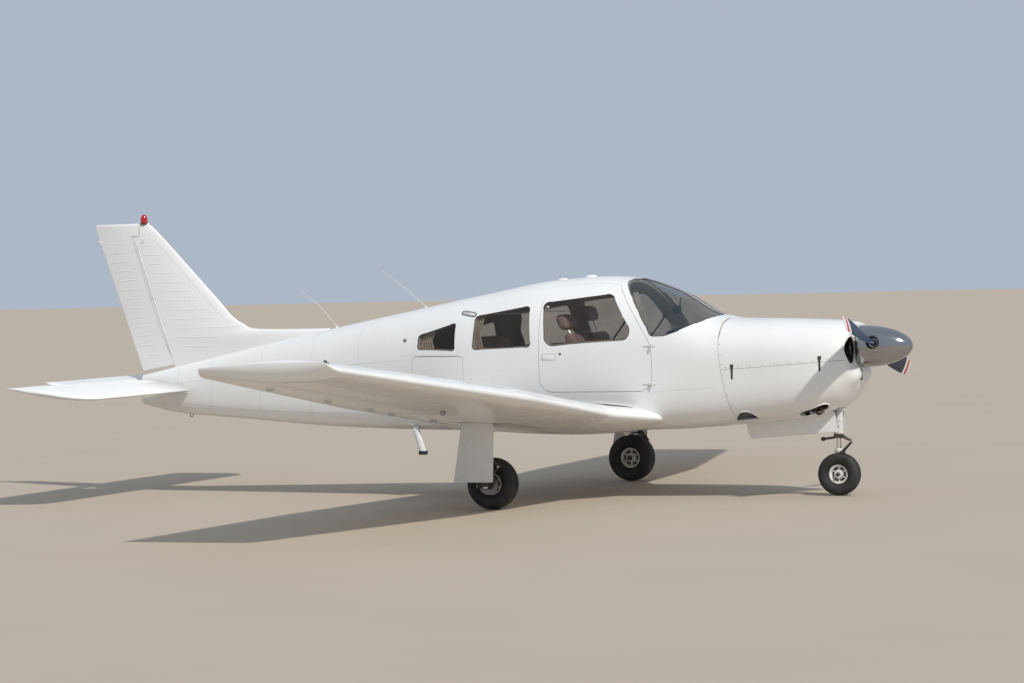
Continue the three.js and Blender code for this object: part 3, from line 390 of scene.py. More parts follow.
# the fuselage's form
body = {
    # station, half width, belly, widest height, top, roundness above and below the widest height
    "stations": [
        (-4035, 48, 790, 915, 1046, 2.0, 2.2), (-3710, 92, 716, 915, 1116, 2.2, 2.6),
        (-3000, 186, 655, 930, 1264, 2.3, 3.2), (-2000, 325, 582, 960, 1460, 2.4, 4.0),
        (-1300, 430, 560, 1010, 1588, 2.6, 4.5), (-650, 520, 552, 1060, 1706, 2.7, 4.5),
        (0, 560, 548, 1090, 1810, 2.7, 4.5), (450, 566, 548, 1100, 1833, 2.7, 4.5),
        (720, 566, 550, 1100, 1810, 2.7, 4.5), (1060, 562, 556, 1095, 1702, 2.6, 4.3),
        (1447, 546, 575, 1080, 1493, 2.6, 4.0), (1600, 536, 588, 1070, 1465, 2.8, 3.8),
        (2000, 520, 622, 1060, 1453, 2.7, 3.4), (2300, 490, 662, 1075, 1440, 2.5, 3.0),
        (2480, 440, 745, 1100, 1428, 2.4, 2.6), (2588, 375, 880, 1150, 1412, 2.3, 2.4),
    ],
    "firewall": 1600, "skinFront": 1720, "rearBulkhead": -1300, "tailEnd": -4035,
    "floorTop": 660, "roofHalf": 310, "centreStrip": 16,
    "skinThick": 8, "linerInset": 18, "linerThick": 16, "paneInset": 3, "paneThick": 6,
    "pointsRound": 144, "stationStep": 18,
    "windows": {
        "front": (48, [(46, 1312), (16, 1626), (616, 1690), (806, 1393), (778, 1309), (408, 1292),
                       (98, 1266)]),
        "rear": (42, [(-620, 1243), (-612, 1524), (-106, 1604), (-76, 1261)]),
        "aft": (34, [(-1157, 1250), (-1153, 1369), (-792, 1473), (-788, 1236)]),
    },
    "door": (60, [(-6, 966), (68, 888), (920, 888), (992, 956), (989, 1200), (962, 1300), (839, 1489),
                  (751, 1621), (664, 1738), (610, 1830), (590, 2000), (-52, 2000), (-38, 1560), (-20, 1237)]),
    "doorHinge": (1000, -584), "doorSeam": 4,
    "windscreen": [(982, 1336), (898, 1478), (822, 1602), (752, 1705), (704, 1768), (684, 1812), (682, 2000),
                   (1600, 2000), (1600, 1560), (1360, 1446), (1187, 1368), (1093, 1337)],
    # where the cowl begins, seen from the side
    "cowlSeam": [(1417, 2500), (1503, 1700), (1536, 1392), (1551, 1224), (1572, 1056), (1608, 860),
                 (1660, 665), (1742, 300)],
    "baggage": (45, [(-250, 705), (-250, 1189), (250, 1189), (250, 705)]),
    "baggageFrame": (-955, -474, -7.9), "baggageSeam": 4,
}
bodyAt = smoothColumns(body["stations"])


def fuselageRing(x, inset=0, count=None):
    count = count or body["pointsRound"]
    half, belly, widest, top, above, below = bodyAt(x)[0]
    angle = fullTurn(1441)
    c, s = np.cos(angle), np.sin(angle)
    power = 2 / np.where(s >= 0, above, below)
    reach = np.where(s >= 0, top - inset - widest, widest - belly - inset)
    across = (half - inset) * np.sign(c) * np.abs(c) ** power
    upward = widest + reach * np.sign(s) * np.abs(s) ** power
    # even steps along the outline, from the left side over the top
    length = np.concatenate([[0], np.cumsum(np.hypot(np.diff(across), np.diff(upward)))])
    even = np.linspace(0, length[-1], count, endpoint=False)
    return np.column_stack(
        [np.full(count, float(x)), np.interp(even, length, across), np.interp(even, length, upward)]
    )


def fuselageForm(name, start, end, inset=0, step=None, count=None):
    steps = max(2, round((end - start) / (step or body["stationStep"])))
    return loft(name, [fuselageRing(x, inset, count) for x in np.linspace(start, end, steps + 1)])


def skinPoint(x, z, side=-1, inset=0):
    # the point of the skin at a station and height, on the right (-1) or left (1) side
    half, belly, widest, top, above, below = bodyAt(x)[0]
    power = above if z >= widest else below
    reach = (top if z >= widest else belly) - widest
    share = min(abs((z - widest) / reach), 1)
    return np.array([x, side * (half * (1 - share ** power) ** (1 / power) - inset), z])


def roofPoint(x, y, inset=0):
    half, _, widest, top, above, _ = bodyAt(x)[0]
    share = min(abs(y / half), 1)
    return np.array([x, y, widest + (top - widest) * (1 - share ** above) ** (1 / above) - inset])


def bellyPoint(x, y, inset=0):
    half, belly, widest, _, _, below = bodyAt(x)[0]
    share = min(abs(y / half), 1)
    return np.array([x, y, widest - (widest - belly) * (1 - share ** below) ** (1 / below) + inset])


def skinNormal(point):
    # square to the fuselage skin at one of its points, from the form's own slope
    def level(p):
        half, belly, widest, top, above, below = bodyAt(p[0])[0]
        power = above if p[2] >= widest else below
        reach = top - widest if p[2] >= widest else widest - belly
        return (abs(p[1] / half) ** power + abs((p[2] - widest) / reach) ** power) ** (1 / power)

    point = np.asarray(point, float)
    slope = np.array([level(point + d) - level(point - d) for d in np.eye(3)])
    return slope / np.linalg.norm(slope)


# camera, light and floor
view = {
    "place": (10.647, -25.115, 1.934), "yaw": -22.48, "pitch": -1.343, "roll": -1.43, "lens": 112.45,
    "sunWay": (1.0, -0.66, 1.22), "sunDistance": 60, "sunSoftness": 2, "sunPower": 2.75,
    "skyStrength": 0.66, "skyColour": (0.64, 0.73, 0.86), "floorColour": (0.47, 0.40, 0.315),
}


def setCamera():
    yaw, pitch, roll = (math.radians(view[k]) for k in ("yaw", "pitch", "roll"))
    ahead = Vector((math.sin(yaw) * math.cos(pitch), math.cos(yaw) * math.cos(pitch), math.sin(pitch)))
    right = Vector((math.cos(yaw), -math.sin(yaw), 0))
    up = right.cross(ahead)
    rolledRight = right * math.cos(roll) + up * math.sin(roll)
    rolledUp = -right * math.sin(roll) + up * math.cos(roll)
    turn = Matrix((rolledRight, rolledUp, -ahead)).transposed().to_4x4()
    camera = bpy.data.objects.new("camera", bpy.data.cameras.new("camera"))
    camera.data.lens = view["lens"]
    camera.data.sensor_width = 36
    camera.data.clip_end = 400
    camera.matrix_world = Matrix.Translation(view["place"]) @ turn
    scene.collection.objects.link(camera)
    scene.camera = camera


def setLight():
    way = Vector(view["sunWay"]).normalized()
    lamp = bpy.data.lights.new("key", "SUN")
    lamp.angle = math.radians(view["sunSoftness"])
    lamp.energy = view["sunPower"]
    lamp.color = (1.0, 0.96, 0.9)
    key = bpy.data.objects.new("key", lamp)
    facing = way.to_track_quat("Z", "Y").to_matrix().to_4x4()
    key.matrix_world = Matrix.Translation(way * view["sunDistance"]) @ facing
    scene.collection.objects.link(key)
    world = bpy.data.worlds.new("studio")
    scene.world = world
    world.use_nodes = True
    sky = world.node_tree.nodes["Background"]
    sky.inputs["Color"].default_value = (*view["skyColour"], 1)
    sky.inputs["Strength"].default_value = view["skyStrength"]
    scene.view_settings.view_transform = "Standard"


# finishes
def makeFinish(name, colour, second=None, amount=0.3, scale=6, stretch=(1, 1, 1), rough=(0.35, 0.45),
               metal=0.0, coat=0.0, bump=None, sheen=0.0, alpha=1.0, specular=0.5):
    # colour wanders to the second one, roughness between two values; bump is scale, depth in mm, kind
    finish = bpy.data.materials.new(name)
    finish.use_nodes = True
    tree = finish.node_tree
    shader = tree.nodes["Principled BSDF"]
    shader.inputs["Metallic"].default_value = metal
    shader.inputs["Coat Weight"].default_value = coat
    shader.inputs["Coat Roughness"].default_value = 0.08
    shader.inputs["Sheen Weight"].default_value = sheen
    shader.inputs["Alpha"].default_value = alpha
    shader.inputs["Specular IOR Level"].default_value = specular
    finish.diffuse_color = (*colour, 1)
    place = tree.nodes.new("ShaderNodeTexCoord")
    lay = tree.nodes.new("ShaderNodeMapping")
    lay.inputs["Scale"].default_value = stretch
    tree.links.new(place.outputs["Object"], lay.inputs["Vector"])

    def noise(size, detail=4, kind="ShaderNodeTexNoise"):
        node = tree.nodes.new(kind)
        node.inputs["Scale"].default_value = size
        if kind == "ShaderNodeTexNoise":
            node.inputs["Detail"].default_value = detail
        tree.links.new(lay.outputs["Vector"], node.inputs["Vector"])
        return node

    patches = noise(scale)
    ramp = tree.nodes.new("ShaderNodeMapRange")
    ramp.inputs["From Min"].default_value = 0.42
    ramp.inputs["From Max"].default_value = 0.72
    ramp.inputs["To Max"].default_value = amount
    tree.links.new(patches.outputs["Fac"], ramp.inputs["Value"])
    mix = tree.nodes.new("ShaderNodeMix")
    mix.data_type = "RGBA"
    mix.inputs["A"].default_value = (*colour, 1)
    mix.inputs["B"].default_value = (*(second or [c * 0.7 for c in colour]), 1)
    tree.links.new(ramp.outputs["Result"], mix.inputs["Factor"])
    tree.links.new(mix.outputs["Result"], shader.inputs["Base Color"])
    gloss = tree.nodes.new("ShaderNodeMapRange")
    gloss.inputs["From Min"].default_value = 0.3
    gloss.inputs["From Max"].default_value = 0.7
    gloss.inputs["To Min"].default_value = rough[0]
    gloss.inputs["To Max"].default_value = rough[1]
    tree.links.new(noise(scale * 3).outputs["Fac"], gloss.inputs["Value"])
    tree.links.new(gloss.outputs["Result"], shader.inputs["Roughness"])
    if bump:
        size, depth, kind = bump
        relief = tree.nodes.new("ShaderNodeBump")
        relief.inputs["Distance"].default_value = depth / 1000
        relief.inputs["Strength"].default_value = 1
        if kind == "grain":
            source = noise(size, 2, "ShaderNodeTexVoronoi")
            tree.links.new(source.outputs["Distance"], relief.inputs["Height"])
        else:
            tree.links.new(noise(size, 5).outputs["Fac"], relief.inputs["Height"])
        tree.links.new(relief.outputs["Normal"], shader.inputs["Normal"])
    return finish


def makeGlass(name, tint, through, rough=0.04):
    # a thin tinted pane: light passes straight through, with a clear gloss on top
    glass = bpy.data.materials.new(name)
    glass.use_nodes = True
    tree = glass.node_tree
    shader = tree.nodes["Principled BSDF"]
    shader.inputs["Base Color"].default_value = (*tint, 1)
    shader.inputs["Specular IOR Level"].default_value = 0.5
    smear = tree.nodes.new("ShaderNodeTexNoise")
    smear.inputs["Scale"].default_value = 5
    smear.inputs["Detail"].default_value = 5
    place = tree.nodes.new("ShaderNodeTexCoord")
    tree.links.new(place.outputs["Object"], smear.inputs["Vector"])
    gloss = tree.nodes.new("ShaderNodeMapRange")
    gloss.inputs["To Min"].default_value = rough
    gloss.inputs["To Max"].default_value = rough + 0.08
    tree.links.new(smear.outputs["Fac"], gloss.inputs["Value"])
    tree.links.new(gloss.outputs["Result"], shader.inputs["Roughness"])
    haze = tree.nodes.new("ShaderNodeMapRange")
    haze.inputs["From Min"].default_value = 0.3
    haze.inputs["From Max"].default_value = 0.8
    haze.inputs["To Min"].default_value = 1 - through
    haze.inputs["To Max"].default_value = 1 - through + 0.1
    tree.links.new(smear.outputs["Fac"], haze.inputs["Value"])
    tree.links.new(haze.outputs["Result"], shader.inputs["Alpha"])
    relief = tree.nodes.new("ShaderNodeBump")
    relief.inputs["Distance"].default_value = 0.0006
    tree.links.new(smear.outputs["Fac"], relief.inputs["Height"])
    tree.links.new(relief.outputs["Normal"], shader.inputs["Normal"])
    glass.diffuse_color = (*tint, 0.4)
    return glass


whitePaint = makeFinish("whitePaint", (0.84, 0.84, 0.83), (0.77, 0.76, 0.73), 0.3, 1.7,
                        rough=(0.24, 0.36), coat=0.25, bump=(9, 0.09, "soft"))
agedWhite = makeFinish("agedWhite", (0.72, 0.72, 0.70), (0.50, 0.47, 0.42), 0.5, 9,
                       rough=(0.35, 0.5), bump=(60, 0.1, "soft"))
seamGrey = makeFinish("seamGrey", (0.20, 0.20, 0.21), (0.10, 0.10, 0.10), 0.6, 30,
                      rough=(0.6, 0.8), bump=(200, 0.1, "soft"))
softSeam = makeFinish("softSeam", (0.46, 0.46, 0.47), (0.36, 0.35, 0.34), 0.6, 20,
                      rough=(0.5, 0.7), bump=(200, 0.1, "soft"))
sealBlack = makeFinish("sealBlack", (0.03, 0.03, 0.032), (0.06, 0.058, 0.055), 0.5, 25,
                       rough=(0.55, 0.75), bump=(120, 0.15, "soft"))
smokedGlass = makeGlass("smokedGlass", (0.03, 0.034, 0.036), 0.8)
screenGlass = makeGlass("screenGlass", (0.045, 0.07, 0.09), 0.74)
brushedMetal = makeFinish("brushedMetal", (0.34, 0.34, 0.345), (0.25, 0.245, 0.24), 0.5, 5,
                          stretch=(1, 9, 9), rough=(0.22, 0.34), metal=1.0, bump=(90, 0.03, "soft"))
bladePaint = makeFinish("bladePaint", (0.02, 0.035, 0.07), (0.014, 0.02, 0.036), 0.5, 8,
                        rough=(0.35, 0.5), bump=(40, 0.08, "soft"), specular=0.25)
tyreRubber = makeFinish("tyreRubber", (0.018, 0.018, 0.019), (0.05, 0.047, 0.042), 0.6, 9,
                        rough=(0.6, 0.8), bump=(160, 0.2, "soft"))
rimWhite = makeFinish("rimWhite", (0.74, 0.73, 0.70), (0.30, 0.26, 0.20), 0.5, 22,
                      rough=(0.35, 0.55), bump=(120, 0.12, "soft"))
darkSteel = makeFinish("darkSteel", (0.07, 0.068, 0.065), (0.16, 0.12, 0.09), 0.5, 18,
                       rough=(0.4, 0.6), metal=0.7, bump=(140, 0.1, "soft"))
polishedMetal = makeFinish("polishedMetal", (0.40, 0.405, 0.42), (0.30, 0.29, 0.28), 0.5, 5,
                           stretch=(1, 4, 4), rough=(0.10, 0.17), metal=1.0, bump=(90, 0.02, "soft"))
chrome = makeFinish("chrome", (0.8, 0.8, 0.8), (0.6, 0.58, 0.55), 0.3, 12,
                    rough=(0.08, 0.2), metal=1.0, bump=(60, 0.02, "soft"))
exhaustBrown = makeFinish("exhaustBrown", (0.22, 0.13, 0.08), (0.35, 0.25, 0.18), 0.7, 25,
                          rough=(0.5, 0.7), metal=0.6, bump=(90, 0.15, "soft"))
brownVinyl = makeFinish("brownVinyl", (0.44, 0.29, 0.25), (0.34, 0.21, 0.18), 0.6, 10,
                        rough=(0.45, 0.6), bump=(330, 0.35, "grain"))
tanVinyl = makeFinish("tanVinyl", (0.50, 0.27, 0.09), (0.40, 0.20, 0.07), 0.6, 10,
                      rough=(0.45, 0.6), bump=(330, 0.35, "grain"))
panelBlack = makeFinish("panelBlack", (0.028, 0.029, 0.031), (0.05, 0.05, 0.05), 0.4, 14,
                        rough=(0.55, 0.7), bump=(500, 0.15, "grain"))
beaconRed = makeFinish("beaconRed", (0.45, 0.008, 0.012), (0.3, 0.004, 0.006), 0.4, 30,
                       rough=(0.08, 0.16), coat=0.6, bump=(80, 0.05, "soft"))
engineGrey = makeFinish("engineGrey", (0.12, 0.12, 0.12), (0.06, 0.05, 0.045), 0.6, 16,
                        rough=(0.45, 0.65), metal=0.5, bump=(70, 0.4, "soft"))
linerBeige = makeFinish("linerBeige", (0.66, 0.57, 0.46), (0.54, 0.46, 0.36), 0.5, 12,
                        rough=(0.7, 0.85), bump=(420, 0.25, "grain"))
tipWhite = makeFinish("tipWhite", (0.78, 0.77, 0.74), (0.55, 0.53, 0.5), 0.5, 30,
                      rough=(0.3, 0.45), bump=(60, 0.05, "soft"))
tipRed = makeFinish("tipRed", (0.55, 0.02, 0.02), (0.36, 0.02, 0.02), 0.5, 30,
                    rough=(0.3, 0.45), bump=(60, 0.05, "soft"))
clearLens = makeGlass("clearLens", (0.75, 0.77, 0.78), 0.6, 0.03)
curtainCloth = makeFinish("curtainCloth", (0.60, 0.50, 0.38), (0.48, 0.39, 0.29), 0.6, 14,
                          rough=(0.85, 0.95), bump=(900, 0.3, "grain"), sheen=0.25)
beltWeb = makeFinish("beltWeb", (0.03, 0.03, 0.032), (0.055, 0.052, 0.05), 0.5, 30,
                     stretch=(1, 1, 6), rough=(0.8, 0.9), bump=(500, 0.3, "grain"))
dialFace = makeFinish("dialFace", (0.012, 0.012, 0.013), (0.02, 0.02, 0.02), 0.3, 50,
                      rough=(0.2, 0.3), coat=0.6, bump=(100, 0.02, "soft"))
dialWhite = makeFinish("dialWhite", (0.75, 0.75, 0.72), (0.6, 0.6, 0.57), 0.3, 50,
                       rough=(0.4, 0.5), bump=(100, 0.02, "soft"))
brakeDisc = makeFinish("brakeDisc", (0.32, 0.31, 0.30), (0.20, 0.15, 0.12), 0.5, 25,
                       stretch=(1, 6, 1), rough=(0.3, 0.5), metal=1.0, bump=(200, 0.05, "soft"))
walkBlack = makeFinish("walkBlack", (0.025, 0.025, 0.026), (0.05, 0.048, 0.045), 0.6, 12,
                       rough=(0.85, 0.95), bump=(900, 0.5, "grain"))
carpetBrown = makeFinish("carpetBrown", (0.16, 0.11, 0.08), (0.10, 0.07, 0.05), 0.7, 40,
                         rough=(0.9, 1.0), bump=(260, 1.2, "soft"), sheen=0.3)
floorPale = makeFinish("floorPale", view["floorColour"], [c * 0.93 for c in view["floorColour"]], 0.5, 0.6,
                       rough=(0.75, 0.9), bump=(30, 0.6, "soft"))
print("finishes made")

setCamera()
setLight()
floor = placeMesh("floor", [(-150000, -150000, -1.5), (150000, -150000, -1.5), (150000, 150000, -1.5),
                            (-150000, 150000, -1.5)], [(0, 1, 2, 3)], floorPale)


# fuselage skins, liner and glass
def baggageShape(grow):
    radius, points = body["baggage"]
    x, y, degrees = body["baggageFrame"]
    shape = roundedOutline(points, radius, grow)
    c, s = math.cos(math.radians(degrees)), math.sin(math.radians(degrees))
    return [
        [(x + u * c - v * s, y + u * s + v * c, z) for u, z in shape] for v in (-150, 120)
    ]


def doorSweep(name, radius):
    x, y = body["doorHinge"]
    return turned(name, (x, y, 0), (0, 0, 1), [(0, radius), (2500, radius)], sides=256)


def makeFuselage():
    b = body
    rear, firewall = b["rearBulkhead"], b["firewall"]
    outer = fuselageForm("outer", rear, b["skinFront"])
    shell = copyOf(outer, "shell")
    inner = fuselageForm("inner", rear - 1, b["skinFront"] + 1, b["skinThick"])
    ahead = sidePrism("ahead", b["cowlSeam"] + [(3000, 300), (3000, 2500)], -900, 900)
    carve(shell, "DIFFERENCE", inner, ahead)
    linerOut = fuselageForm("linerOut", rear + 14, firewall - 14, b["linerInset"], 40, 96)
    linerIn = fuselageForm("linerIn", rear, firewall, b["linerInset"] + b["linerThick"], 40, 96)
    liner = copyOf(linerOut, "cabinLiner")
    carve(liner, "DIFFERENCE", linerIn)
    skin = smoothSkin([outer, inner])
    linerSkin = smoothSkin([linerOut, linerIn])
    pane = fuselageForm("pane", rear, firewall, b["paneInset"])
    paneIn = fuselageForm("paneIn", rear - 1, firewall + 1, b["paneInset"] + b["paneThick"])
    paneSkin = smoothSkin([pane, paneIn])
    carve(pane, "DIFFERENCE", paneIn)

    strip = b["centreStrip"]
    screenShape = roundedOutline(b["windscreen"], 26)
    screenHole = sidePrism("screenHole", screenShape, -900, 900)
    stripBlock = blockOf("stripBlock", (-2000, -strip, 0), (2000, strip, 2500))
    carve(screenHole, "DIFFERENCE", stripBlock)
    holes, linerHoles = {}, {}
    for side, way in (("left", 1), ("right", -1)):
        for name, (radius, points) in b["windows"].items():
            across = (0, 900) if way > 0 else (-900, 0)
            holes[side, name] = sidePrism("hole", roundedOutline(points, radius), *across)
            linerHoles[side, name] = sidePrism("hole", roundedOutline(points, radius, -10), *across)

    def part(name, low, high):
        piece = copyOf(shell, name)
        box = blockOf("box", low, high)
        carve(piece, "INTERSECT", box)
        discard(box)
        return piece

    roofHalf, floorTop = b["roofHalf"], b["floorTop"]
    floorSkin = part("cabinFloorSkin", (-2000, -1000, 0), (2000, 1000, floorTop))
    roof = part("cabinRoofSkin", (-2000, -roofHalf, 1000), (2000, roofHalf, 2500))
    carve(roof, "DIFFERENCE", screenHole)
    left = part("cabinSideLeftSkin", (-2000, roofHalf, floorTop), (2000, 1000, 2500))
    carve(left, "DIFFERENCE", screenHole, *(holes["left", n] for n in b["windows"]))
    right = part("cabinSideRightSkin", (-2000, -1000, floorTop), (2000, -roofHalf, 2500))
    radius, points = b["door"]
    seam = b["doorSeam"]
    hinge = b["doorHinge"]
    doorHole = sidePrism("doorHole", roundedOutline(points, radius, seam), -900, 0)
    sweep = doorSweep("sweep", hinge[0] + seam)
    carve(doorHole, "INTERSECT", sweep)
    discard(sweep)
    baggageHole = loft("baggageHole", baggageShape(b["baggageSeam"]))
    carve(right, "DIFFERENCE", screenHole, holes["right", "rear"], holes["right", "aft"], doorHole,
          baggageHole)

    door = part("cabinDoorSkin", (-2000, -1000, 0), (2000, -roofHalf - 4, 2500))
    doorBody = sidePrism("doorBody", roundedOutline(points, radius), -900, 0)
    sweep = doorSweep("sweep", hinge[0])
    carve(doorBody, "INTERSECT", sweep)
    discard(sweep)
    carve(door, "INTERSECT", doorBody)
    carve(door, "DIFFERENCE", holes["right", "front"])
    baggageBody = loft("baggageBody", baggageShape(0))
    baggageDoor = copyOf(shell, "baggageDoorSkin")
    carve(baggageDoor, "INTERSECT", baggageBody)
    for piece in (floorSkin, roof, left, right, door, baggageDoor):
        piece.data.materials.clear()
        piece.data.materials.append(whitePaint)
        polish(piece, skin)

    # liner: the cabin's inside, open at every window and at the door
    keepAbove = blockOf("keepAbove", (-2000, -1000, floorTop + 1), (2000, 1000, 2500))
    carve(liner, "INTERSECT", keepAbove)
    screenLiner = sidePrism("screenLiner", roundedOutline(b["windscreen"], 26, 14), -900, 900)
    carve(liner, "DIFFERENCE", screenLiner, *linerHoles.values())
    doorLiner = copyOf(liner, "doorLiner")
    innerDoor = sidePrism("innerDoor", roundedOutline(points, radius, -14), -900, -roofHalf - 20)
    sweep = doorSweep("sweep", hinge[0] - 18)
    carve(innerDoor, "INTERSECT", sweep)
    carve(doorLiner, "INTERSECT", innerDoor)
    doorOpening = sidePrism("doorOpening", roundedOutline(points, radius, seam), -900, -roofHalf)
    baggageLiner = copyOf(liner, "baggageLiner")
    baggageInner = loft("baggageInner", baggageShape(-12))
    carve(baggageLiner, "INTERSECT", baggageInner)
    carve(liner, "DIFFERENCE", doorOpening, baggageHole)
    for piece in (liner, doorLiner, baggageLiner):
        piece.data.materials.clear()
        piece.data.materials.append(linerBeige)
        polish(piece, linerSkin)

    panes = {}
    for (side, name), hole in holes.items():
        if side == "right" and name == "front":
            label = "doorPane"
        else:
            label = "pane" + side.capitalize() + name.capitalize()
        panes[side, name] = carve(copyOf(pane, label), "INTERSECT", hole)
    for side, way in (("Left", 1), ("Right", -1)):
        reach = (strip, 900) if way > 0 else (-900, -strip)
        half = sidePrism("half", screenShape, *reach)
        panes[side, "screen"] = carve(copyOf(pane, "windscreen" + side + "Pane"), "INTERSECT", half)
        discard(half)
    for key, piece in panes.items():
        piece.data.materials.clear()
        piece.data.materials.append(screenGlass if key[1] == "screen" else smokedGlass)
        polish(piece, paneSkin)
    discard(outer, shell, inner, ahead, linerOut, linerIn, pane, paneIn, screenHole, stripBlock, doorHole,
            baggageHole, doorBody, baggageBody, keepAbove, screenLiner, innerDoor, sweep, doorOpening,
            baggageInner, *holes.values(), *linerHoles.values())

    dress(floorSkin, "airframe", "white_paint", "cabin_floor")
    dress(roof, "airframe", "white_paint", "cabin_roof")
    dress(left, "airframe", "white_paint", "cabin_side_left")
    dress(right, "airframe", "white_paint", "cabin_side_right")
    dress(door, "cabin_door", "white_paint", "cabin_door")
    dress(baggageDoor, "baggage_door", "white_paint", "baggage_door")
    dress(liner, "airframe", "tan_vinyl")
    dress(doorLiner, "cabin_door", "tan_vinyl")
    dress(baggageLiner, "baggage_door", "tan_vinyl")
    for (side, name), piece in panes.items():
        if name == "screen":
            dress(piece, "airframe", "smoked_glass", "windscreen_" + side.lower())
        elif piece.name == "doorPane":
            dress(piece, "cabin_door", "smoked_glass", "door_window")
        else:
            dress(piece, "airframe", "smoked_glass", f"window_{side}_{name}")


makeFuselage()
print("fuselage made")


# tail cone
def makeTailCone():
    start, end = body["tailEnd"], body["rearBulkhead"] - 0.3
    rings = [fuselageRing(x, 0, 96) for x in np.linspace(start, end, 130)]
    first = rings[0]
    middle = first.mean(0)
    for share, back in ((0.35, 22), (0.7, 15), (0.9, 7)):
        cap = middle + (first - middle) * share
        cap[:, 0] = start - back
        rings.insert(len(rings) - 130, cap)
    cone = loft("tailConeSkin", rings, whitePaint)
    form = loft("form", [fuselageRing(x, 0, 96) for x in np.linspace(start, end + 60, 134)])
    skin = smoothSkin([form])
    polish(cone, skin, 0.0009, 0.8)
    discard(form)
    dress(cone, "airframe", "white_paint", "tail_cone")


makeTailCone()
print("tail cone made")


# cowl
cowl = {
    "wall": 10, "seam": 1.2, "spinnerAxis": 1214, "shaftHole": 156,
    "face": 2592, "chinReach": 54, "chinHeight": 992, "chinAcross": 150, "chinSpread": (100, 66),
    "intake": (254, 1192, 124, 108), "lip": 12,
    "splitLine": ((1550, 1052), (2788, 1130)),
    # centre, half length, half height and tilt
    "exhaust": (2294, 702, 126, 56, 11), "outlet": (1750, 640, 90, 112, 2), "rear": 1480, "seamGap": 3,
    "noseWell": (118, 2440), "roundSteps": 168,
}


def cowlRows(inset):
    # rings from the firewall forward, then in over the front face, with every meridian rounded
    c = cowl
    count = c["roundSteps"]
    stations = np.linspace(c["rear"], 2588, 78)
    rows = [fuselageRing(x, inset, count) for x in stations]
    last = rows[-1]
    centre = np.array([0, 0, c["spinnerAxis"]])
    for share in np.linspace(0.96, 0.12, 24):
        row = centre + (last - centre) * share
        y, z = row[:, 1], row[:, 2]
        swell = np.exp(-((z - c["chinHeight"]) / c["chinSpread"][1]) ** 2)
        swell *= np.exp(-((np.abs(y) - c["chinAcross"]) / c["chinSpread"][0]) ** 2)
        row[:, 0] = c["face"] - inset + c["chinReach"] * swell
        rows.append(row)
    grid = np.array(rows)
    smoothed = grid.copy()
    for j in range(count):
        line = grid[:, j]
        length = np.concatenate([[0], np.cumsum(np.linalg.norm(np.diff(line, axis=0), axis=1))])
        up = (line[48, 2] - 1100) / 330
        width = 24 if up < 0.4 else 24 - 15 * min((up - 0.4) / 0.5, 1)
        even = np.arange(0, length[-1], 4.0)
        dense = np.column_stack([np.interp(even, length, line[:, k]) for k in range(3)])
        half = 18
        kernel = np.exp(-0.5 * (np.arange(-half, half + 1) * 4.0 / width) ** 2)
        kernel /= kernel.sum()
        padded = np.vstack([
            2 * dense[0] - dense[half:0:-1], dense, 2 * dense[-1] - dense[-2:-half - 2:-1]
        ])
        soft = np.column_stack([np.convolve(padded[:, k], kernel, "valid") for k in range(3)])
        smoothed[:, j] = np.column_stack([np.interp(length, even, soft[:, k]) for k in range(3)])
    smoothed[0] = grid[0]
    return smoothed


def slotOutline(name, way, grow=0, steps=40):
    # an opening's outline on the skin, its middle and the way it faces
    x, z, long, high, tilt = cowl[name]
    middle = skinPoint(x, z, way)
    out = skinNormal(middle)
    turn = math.radians(tilt)
    along = np.array([math.cos(turn), 0, math.sin(turn)])
    along -= out * (along @ out)
    along /= np.linalg.norm(along)
    up = np.cross(out, along)
    up *= np.sign(up[2])
    long, high = long + grow, high + grow
    angles = np.arange(steps) * 2 * math.pi / steps
    if name == "exhaust":
        straight = long - high
        points = [middle + along * (math.copysign(straight, math.cos(a)) * (abs(math.cos(a)) > 1e-6)
                                    + high * math.cos(a)) + up * high * math.sin(a) for a in angles]
    else:
        points = [
            middle + along * long * math.cos(a) + up * (high * max(math.sin(a), 0) - 6 * (math.sin(a) < 0))
            for a in angles
        ]
    return np.array(points), middle, out


def sideSlot(name, way):
    points, _, out = slotOutline(name, way)
    return loft("cut", [points - out * 90, points + out * 90])


